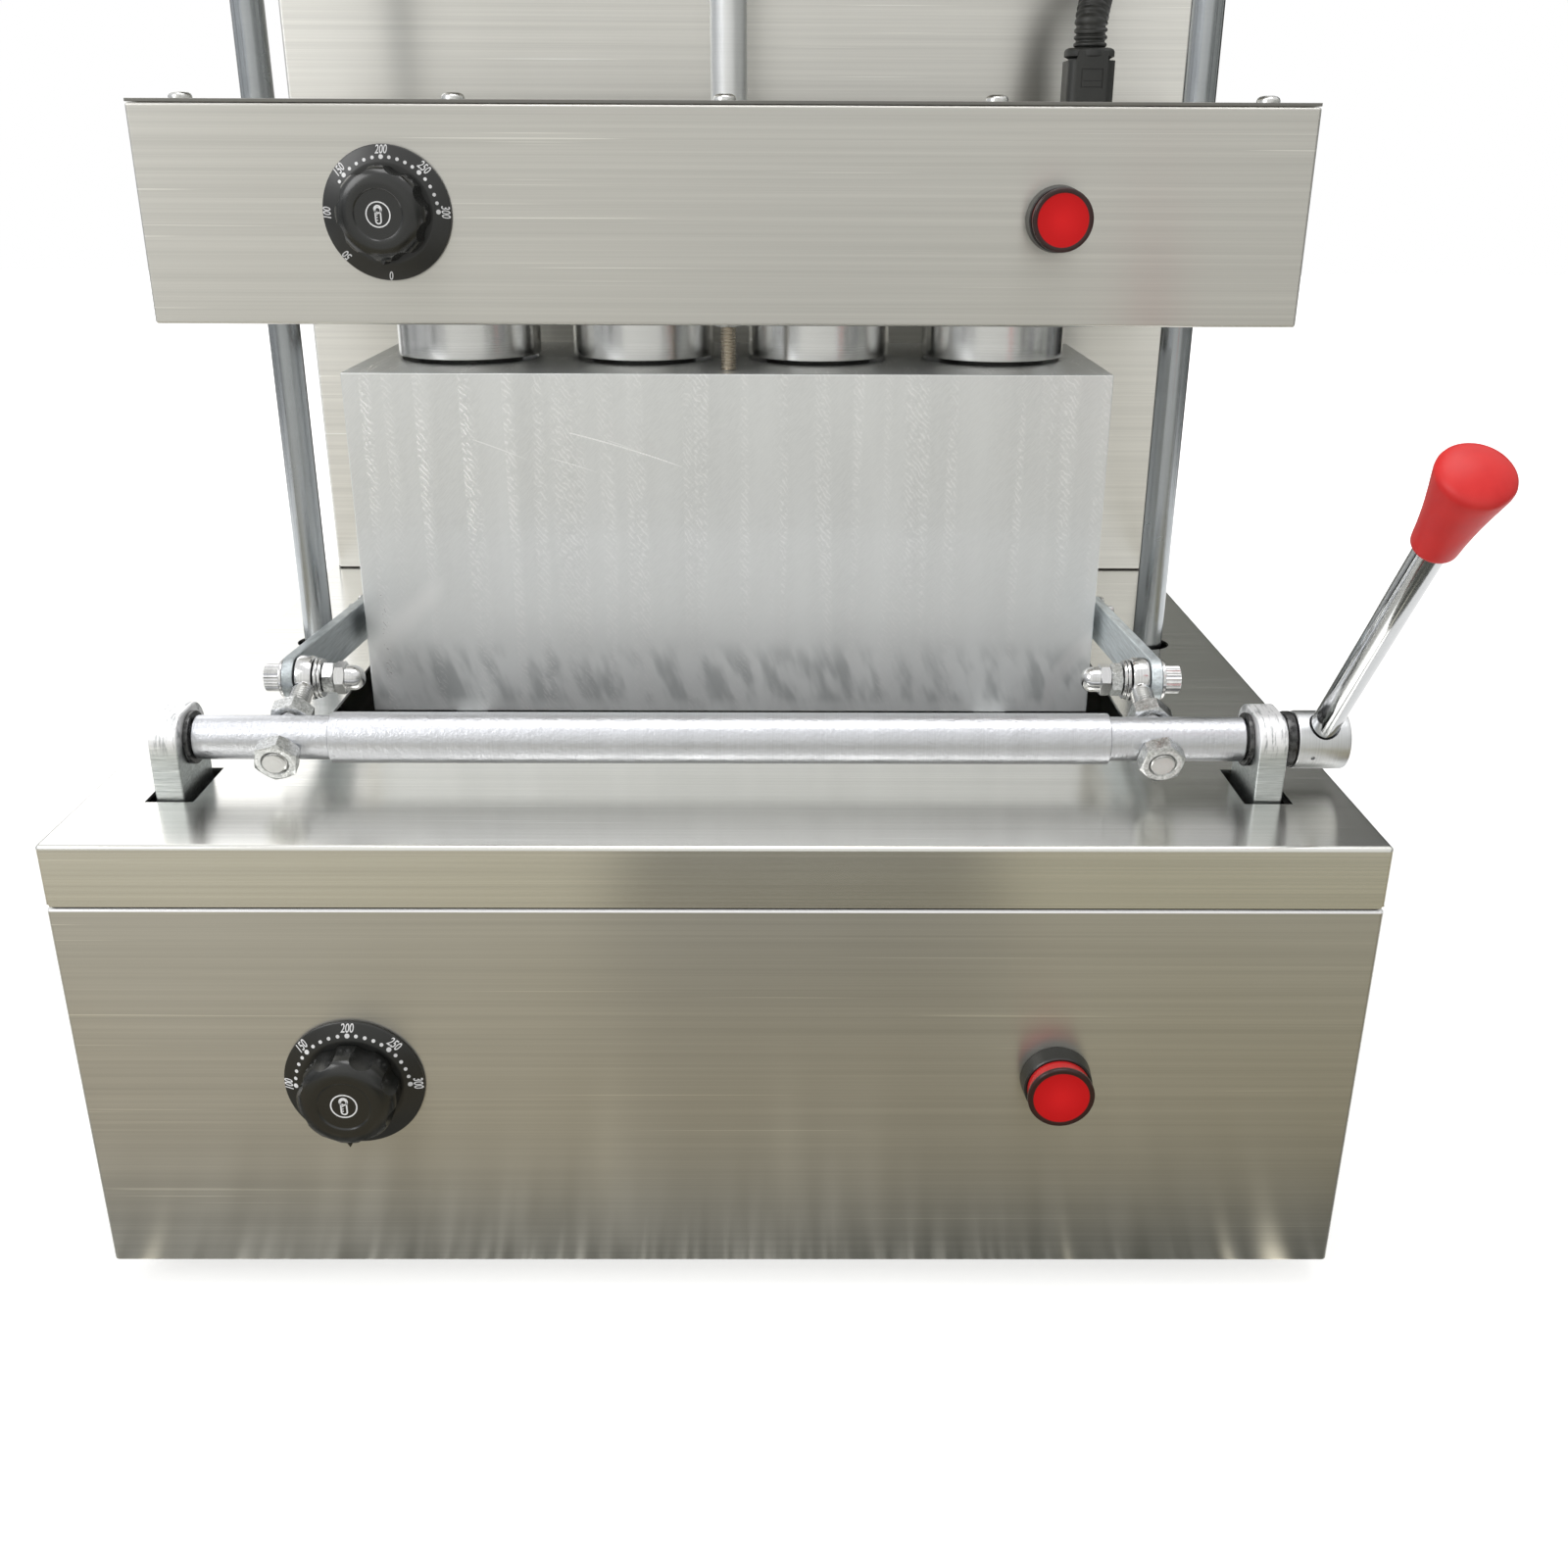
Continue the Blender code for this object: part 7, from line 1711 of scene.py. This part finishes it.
for where, body in PANELS:
    place = on_panel(where, f"{where}_knob")
    profile = [(0, 18.0 * MM), (2.6 * MM, 18.0 * MM), (3 * MM, 17.6 * MM), (3 * MM, DIAL_FACE),
               (21.2 * MM, DIAL_FACE), (DIAL_RAISED + 0.4 * MM, DIAL_FACE - 0.1 * MM),
               (DIAL_RADIUS - 0.5 * MM, DIAL_RIM + 0.1 * MM), (DIAL_RADIUS, DIAL_RIM - 0.4 * MM),
               (DIAL_RADIUS, 0.7 * MM), (DIAL_RADIUS - 0.4 * MM, 0.3 * MM), (5 * MM, 0.3 * MM),
               (5 * MM, -2.5 * MM), (0, -2.5 * MM)]
    dial = as_object(f"{where}_dial", lathe(profile, 96), place)
    finish_piece(dial, body, "black_plastic", black_plastic, f"{where}_thermostat")
    marks = dial_marks(140 if where == "head" else 100)
    finish_piece(gather(f"{where}_dial_scale", marks, place), body, "black_plastic", print_white)
    behind = soften(block((-18 * MM, -18 * MM, -27.8 * MM), (18 * MM, 18 * MM, -1.8 * MM)), 2 * MM, 3)
    finish_piece(as_object(f"{where}_regulator", behind, place), body, "black_plastic", black_plastic)

    knob_place = raised(place, KNOB_START)
    grip = scalloped_grip()
    nub = prism(1.7 * MM, 0.4 * MM, 12.4 * MM, 3, turn=math.pi)
    bmesh.ops.translate(nub, vec=(0, -20.0 * MM, 0), verts=nub.verts)
    combine(grip, "UNION", nub)
    cut(grip, prism(3.3 * MM, -5 * MM, 11 * MM, 32))
    soften_piece(grip, 0.35 * MM, 2, 24)
    grip.data.transform(knob_place)
    grip.name = f"{where}_knob_grip"
    finish_piece(grip, f"{where}_knob", "black_plastic", grip_plastic, f"{where}_knob", degrees=44)
    sign_parts = [lathe([(5.05 * MM, 0), (5.6 * MM, 0), (5.6 * MM, SIGN_DEPTH), (5.05 * MM, SIGN_DEPTH)], 64,
                        closed=True)]
    for half, reach, foot in ((1.5, 4.6, -2.7), (1.9, 0.0, 2.2)):
        outline = capsule_outline(half * MM, reach * MM, 0.6 * MM, SIGN_DEPTH)
        bmesh.ops.translate(outline, vec=(0, foot * MM, 0), verts=outline.verts)
        sign_parts.append(outline)
    for tick in range(4):
        low = Vector((-1.1, -2.6 + 1.15 * tick, 0)) * MM
        sign_parts.append(block(low, low + Vector((0.9 * MM, 0.4 * MM, SIGN_DEPTH))))
    sign = gather(f"{where}_knob_sign", sign_parts, raised(knob_place, SIGN_LEVEL))
    finish_piece(sign, f"{where}_knob", "black_plastic", print_white)
print("dials and knobs on", [where for where, _ in PANELS])

# %% [markdown]
# ## Pilot lamps
#
# A black bezel is screwed to the panel and a red cap is pushed over it. The
# cap's rim is clear red plastic and its middle a diffuser. Both tones are
# painted: a painted dark front on the rim, where nothing lies behind it, and a
# painted glow in the middle, taken from the distance to the lamp's own axis.

# %% Pilot lamps
def lens_material(name, place):
    made, tree, shader = new_material(name, (0.60, 0.02, 0.02), 0.30, 0.0, Specular_IOR_Level=0.12,
                                      Coat_Roughness=0.06)
    apart = axes(tree, from_axis(tree, place))
    away = math_node(tree, "SQRT", math_node(tree, "ADD", math_node(tree, "POWER", apart["X"], 2.0),
                                             math_node(tree, "POWER", apart["Y"], 2.0)))
    rim = ramp(tree, away, 11.5 * MM, 11.8 * MM)
    front = ramp(tree, apart["Z"], 13.6 * MM, 13.9 * MM)
    # Painted glow: the middle is painted brighter towards the axis, as if the diffuser were lit.
    glow = blend_colour(tree, ramp(tree, away, 0, 11.6 * MM, smooth=True), (0.80, 0.014, 0.016),
                        (0.66, 0.008, 0.010))
    tone = blend_colour(tree, rim, glow, (0.62, 0.016, 0.018))
    # Painted dark on the rim's front, where clear plastic would show the dark behind it.
    tone = blend_colour(tree, times(tree, rim, front), tone, (0.035, 0.010, 0.009))
    wire(tree, tone, shader.inputs["Base Color"])
    wire(tree, ramp(tree, rim, 0, 1, 0.0, 0.6), shader.inputs["Coat Weight"])
    return made


for where, body in PANELS:
    place = on_panel(where, f"{where}_lamp_lens")
    profile = in_mm((0, 8.4), (13.8, 8.4), (14.3, 7.9), (14.8, 1.5), (14.8, 0.3), (11, 0.3), (11, -29),
                    (10, -30), (0, -30))
    finish_piece(as_object(f"{where}_lamp_bezel", lathe(profile, 72), place), body, "black_plastic",
                 black_plastic, f"{where}_lamp_body")
    profile = in_mm((0, 15.7), (11.5, 15.7), (11.8, 16.0), (12.9, 16.1), (13.6, 15.9), (13.9, 15.3),
                    (13.9, 14.3), (13.5, 13.8), (13.1, 13.7), (13.1, 8.5), (0, 8.5))
    finish_piece(as_object(f"{where}_lamp_cap", lathe(profile, 72), place), body, "red_lens",
                 lens_material(f"{where}_lens_red", place), f"{where}_lamp_lens", degrees=50)
print("lamps ready")

# %% [markdown]
# ## Conduit hose
#
# A ribbed nylon hose carries the head's wires to the column. It could be lofted
# ring by ring along its route, but it is easier to turn it straight, bore and
# ribs together, and then to bend it with a Curve modifier, just as the real
# one is moulded straight and bent by hand.

# %% Hose fittings
def hose_fitting(name, place):
    """A snap-in fitting: a square body with round corners, a notch, a flange, and latch pads on its sides."""
    side, shoulder, flange = 12.5 * MM, 23.8 * MM, 30 * MM
    made = as_object(name, round_edges(block((-side, -side, 0.3 * MM), (side, side, shoulder)), 2, 5 * MM, 6))
    collar = lathe([(0, 20 * MM), (side - 0.8 * MM, 20 * MM), (side - 1.6 * MM, 24.8 * MM),
                    (13.2 * MM, 25.9 * MM), (13.2 * MM, 28.3 * MM), (12.6 * MM, 29.4 * MM),
                    (11.4 * MM, flange), (0, flange)], 64)
    pad = block((-8 * MM, -side + 0.02 * MM, 12 * MM), (8 * MM, side - 0.02 * MM, 28.2 * MM))
    stem = prism(8 * MM, -10 * MM, 2 * MM, 48)
    combine(made, "UNION", collar, pad, stem)
    windows, tongues = [], []
    for sign in (-1, 1):
        face = sign * side
        window = block((-5.8 * MM, face - 0.7 * MM, 10.4 * MM), (5.8 * MM, face + 0.7 * MM, 19.8 * MM))
        windows.append(window)
        for low, high, sink in ((11.1, 13.5, 0.10), (14.0, 19.1, 0.30)):
            tongue = block((-5.1 * MM, face - 1.4 * MM, low * MM), (5.1 * MM, face + 1.4 * MM, high * MM))
            bmesh.ops.translate(tongue, vec=(0, -sign * (1.4 + sink) * MM, 0), verts=tongue.verts)
            tongues.append(tongue)
    cut(made, *windows, prism(6 * MM, -20 * MM, 22 * MM, 48), prism(8.9 * MM, 21 * MM, 40 * MM, 48))
    combine(made, "UNION", *tongues)
    soften_piece(made, 0.25 * MM, 2, 30)
    made.data.transform(place)
    return made


HOSE_HEAD = Vector((hose_x, hose_y, cover_high.z))
fit_x, _, fit_z = middle_of("column_hose_fitting")
HOSE_COLUMN = Vector((fit_x, column_low.y, fit_z))
finish_piece(hose_fitting("head_conduit_fitting", at(HOSE_HEAD)), "press_head", "black_plastic",
             fitting_plastic, "head_hose_fitting")
finish_piece(hose_fitting("column_conduit_fitting", at(HOSE_COLUMN, (0, -1, 0))), "base", "black_plastic",
             fitting_plastic, "column_hose_fitting")
print("fittings at", [round(value, 4) for value in (*HOSE_HEAD, *HOSE_COLUMN)])

# %% Hose
HOSE_RADIUS, HOSE_ROOT, HOSE_BORE, HOSE_PITCH = 8.7 * MM, 7.6 * MM, 6.2 * MM, 3.5 * MM
HOSE_SEAT, LEVEL_END = 26.3 * MM, 17.4 * MM
hose_start = HOSE_HEAD + Vector((0, 0, HOSE_SEAT))
hose_end = HOSE_COLUMN - Vector((0, HOSE_SEAT, 0))
rise = Vector((0, 0, LEVEL_END))
back = Vector((0, LEVEL_END, 0))
route = [hose_start, hose_start + rise / 2, hose_start + rise,
         (hose_start + rise).lerp(hose_end - back, 0.5) + rise / 4,
         hose_end - back, hose_end - back / 2, hose_end]
curve = bpy.data.curves.new("hose_route", "CURVE")
curve.dimensions = "3D"
curve.resolution_u = 24
curve.twist_mode = "MINIMUM"
spline = curve.splines.new("BEZIER")
spline.bezier_points.add(len(route) - 1)
for knot, point in zip(spline.bezier_points, route):
    knot.co = point
    knot.handle_left_type = knot.handle_right_type = "AUTO"
hose_route = bpy.data.objects.new("hose_route", curve)
scene.collection.objects.link(hose_route)
bpy.context.view_layer.update()
line = bpy.data.meshes.new_from_object(hose_route.evaluated_get(bpy.context.evaluated_depsgraph_get()))
hose_path = [vert.co.copy() for vert in line.vertices]
HOSE_LENGTH = sum((b - a).length for a, b in zip(hose_path, hose_path[1:]))
RIBS = round(HOSE_LENGTH / HOSE_PITCH)
pitch = HOSE_LENGTH / RIBS
rib_shares = ((0.0, 0.0), (0.10, 0.0), (0.22, 0.35), (0.32, 0.85), (0.42, 1.0), (0.62, 1.0), (0.72, 0.85),
              (0.84, 0.35), (0.94, 0.0))
outer = [(HOSE_ROOT + (HOSE_RADIUS - HOSE_ROOT) * swell, (rib + share) * pitch)
         for rib in range(RIBS) for share, swell in rib_shares] + [(HOSE_ROOT, HOSE_LENGTH)]
inner = [(HOSE_BORE, HOSE_LENGTH * (1 - step / 60)) for step in range(61)]
hose = as_object("ribbed_hose", lathe(outer + inner, 40, closed=True))
hose.data.transform(Matrix.Rotation(math.pi / 2, 4, "Y"))
bend = hose.modifiers.new("bend", "CURVE")
bend.object = hose_route
bend.deform_axis = "POS_X"
settle(hose)
bpy.data.objects.remove(hose_route, do_unlink=True)

hose_nylon = clouded("hose_nylon", 130.0, (0.028, 0.029, 0.027), (0.050, 0.051, 0.047), 0.32, 0.46)[0]
hose.data.shade_smooth()
hose.data.materials.clear()
hose.data.materials.append(hose_nylon)
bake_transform(hose)
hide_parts("conduit_hose")
print("hose", round(HOSE_LENGTH, 4), "long with", RIBS, "ribs, box",
      [round(value, 4) for value in (*hose.bound_box[0], *hose.bound_box[6])])

# %% [markdown]
# ## Controls, gland and feet
#
# Nothing in the photograph shows these, so they follow common parts: a plate
# with a green and a red push button for raising and lowering the head, a cable
# gland at the rear, and four rubber feet.

# %% Control plate and buttons
plate_low, plate_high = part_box("control_plate")
PLATE_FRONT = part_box("top_housing")[0].y - 2.3 * MM
PLATE_Z = middle_of("control_plate")[2]
BUTTON_X = middle_of("lower_button")[0]
panel = block((plate_low.x, PLATE_FRONT, plate_low.z), (plate_high.x, PLATE_FRONT + 2 * MM, plate_high.z))
panel = as_object("control_panel", soften(round_edges(panel, 1, 5 * MM, 6), 0.4 * MM, 2))
button_holes = [bore((sign * BUTTON_X, PLATE_FRONT, PLATE_Z), FORWARD, 13.5 * MM, 12 * MM, 48)
                for sign in (-1, 1)]
cut(panel, *button_holes)
finish_piece(panel, "base", "black_plastic", black_plastic, "control_plate")
for corner_x in (-1, 1):
    for corner_z in (-1, 1):
        spot = (corner_x * (plate_high.x - 7 * MM), PLATE_FRONT, PLATE_Z + corner_z * 21 * MM)
        name = f"panel_screw_{'left' if corner_x < 0 else 'right'}_{'low' if corner_z < 0 else 'high'}"
        screw = pan_screw(name, 3 * MM, at(spot, FORWARD), turn=0.4 + corner_z)
        finish_piece(screw, "base", "brushed_steel", screw_steel)

button_colours = {"raise": (0.03, 0.30, 0.07), "lower": (0.55, 0.025, 0.02)}
for name, sign in (("raise", -1), ("lower", 1)):
    place = at((sign * BUTTON_X, PLATE_FRONT, PLATE_Z), FORWARD)
    bezel = lathe(in_mm((10.3, -34), (13.4, -34), (13.4, 0), (14.5, 0), (14.5, 2.8), (13.9, 3.7), (13.0, 4),
                        (11.0, 4), (10.3, 3.4)), 64, closed=True)
    finish_piece(as_object(f"{name}_button_bezel", bezel, place), "base", "black_plastic", black_plastic)
    cap = lathe(in_mm((0, 9.5), (5, 9.55), (8.2, 9.8), (9.2, 10), (9.8, 9.7), (10, 9.0), (10, -6), (0, -6)),
                64)
    colour = moulded_plastic(f"{name}_button_plastic", button_colours[name], 0.32)
    finish_piece(as_object(f"{name}_button_cap", cap, place), f"{name}_button",
                 "green_button" if name == "raise" else "red_button", colour, f"{name}_button", degrees=50)
    arrow = prism(3.4 * MM, 9.5 * MM, 9.62 * MM, 3, turn=0.0 if name == "raise" else math.pi)
    finish_piece(as_object(f"{name}_button_arrow", arrow, place), f"{name}_button", "black_plastic",
                 print_white)
print("buttons", round(BUTTON_X, 4), "from the middle")

# %% Gland and feet
gland_x, _, gland_z = middle_of("mains_gland")
place = at((gland_x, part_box("mains_gland")[1].y - 22 * MM, gland_z), (0, 1, 0))
gland = as_object("cable_gland", lathe(
    in_mm((4, -10), (9.6, -10), (9.6, 0.3), (10.5, 0.3), (10.5, 15.5), (10.1, 17.2), (9.0, 19.2), (7.4, 21),
          (6.4, 21.7), (5.2, 22), (4, 21.2)), 64, closed=True))
GLAND_FLATS, GLAND_FLUTES, FLUTE_CIRCLE = 24 * MM, 12, 11.3 * MM
collar = prism(GLAND_FLATS / math.cos(math.pi / 6) / 2, 0.3 * MM, 6.3 * MM, 6)
combine(gland, "UNION", soften(collar, 0.5 * MM, 2))
flutes = []
for step in range(GLAND_FLUTES):
    turn = math.tau * step / GLAND_FLUTES
    spot = (math.cos(turn) * FLUTE_CIRCLE, math.sin(turn) * FLUTE_CIRCLE, 23 * MM)
    flutes.append(bore(spot, (0, 0, 1), 1.1 * MM, 14 * MM, 12))
cut(gland, prism(4 * MM, -12 * MM, 24 * MM, 48), *flutes)
gland.data.transform(place)
finish_piece(gland, "base", "black_plastic", black_plastic, "mains_gland")

rubber = moulded_plastic("foot_rubber", (0.022, 0.022, 0.022), 0.75, grain=900.0, depth=0.1 * MM)
for node in ("foot_front_left", "foot_front_right", "foot_rear_left", "foot_rear_right"):
    low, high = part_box(node)
    place = at((*middle_of(node)[:2], low.z))
    tall = high.z - low.z
    foot = lathe([(5 * MM, tall), (18.6 * MM, tall), (19 * MM, tall - 0.5 * MM), (18.7 * MM, tall - 3 * MM),
                  (16.4 * MM, 2.2 * MM), (16 * MM, 0.9 * MM), (15.2 * MM, 0), (7 * MM, 0),
                  (6.5 * MM, 0.5 * MM), (6.5 * MM, 6 * MM), (5 * MM, 6.5 * MM)], 64, closed=True)
    finish_piece(as_object(f"rubber_{node}", foot, place), "base", "black_rubber", rubber, node)
print("controls, gland and feet ready")

# %% [markdown]
# ## Inner parts
#
# Frame, pan, bridge, heaters, bushes and the actuator are hidden or barely seen.
# Their CAD solids have the right shape already, so they stay and only get a
# finish of their own.

# %% Finishes for the inner parts
def mottled(name, colour, roughness, metallic, size):
    made, tree, shader, clouds = clouded(name, size, tint(colour, 0.88), tint(colour, 1.12), roughness - 0.05,
                                         roughness + 0.05, metallic)
    emboss(tree, shader, clouds, 0.5, 0.04 * MM)
    return made


inner_finishes = {
    mottled("frame_steel", (0.42, 0.43, 0.43), 0.42, 0.85, 90.0): ("main_frame", "bridge_plate"),
    mottled("pan_steel", (0.52, 0.52, 0.50), 0.4, 1.0, 60.0): ("base_pan",),
    mottled("sintered_bronze", (0.55, 0.36, 0.16), 0.4, 1.0, 900.0): ("guide_bush_left", "guide_bush_right"),
    mottled("heater_sheath", (0.30, 0.27, 0.24), 0.45, 1.0, 200.0): ("front_heater", "rear_heater"),
    moulded_plastic("motor_plastic", (0.04, 0.04, 0.042), 0.5, grain=1200.0): ("actuator",),
    milled: ("head_heater_plate",),
}
for finish, nodes in inner_finishes.items():
    for node in nodes:
        piece = next(item for item in bpy.data.objects if item.name == node)
        piece.data.materials.clear()
        piece.data.materials.append(finish)
print("finishes for", sum(len(nodes) for nodes in inner_finishes.values()), "inner parts;", made_count,
      "new pieces")

# %% Count of pieces
print("pieces made:", made_count)
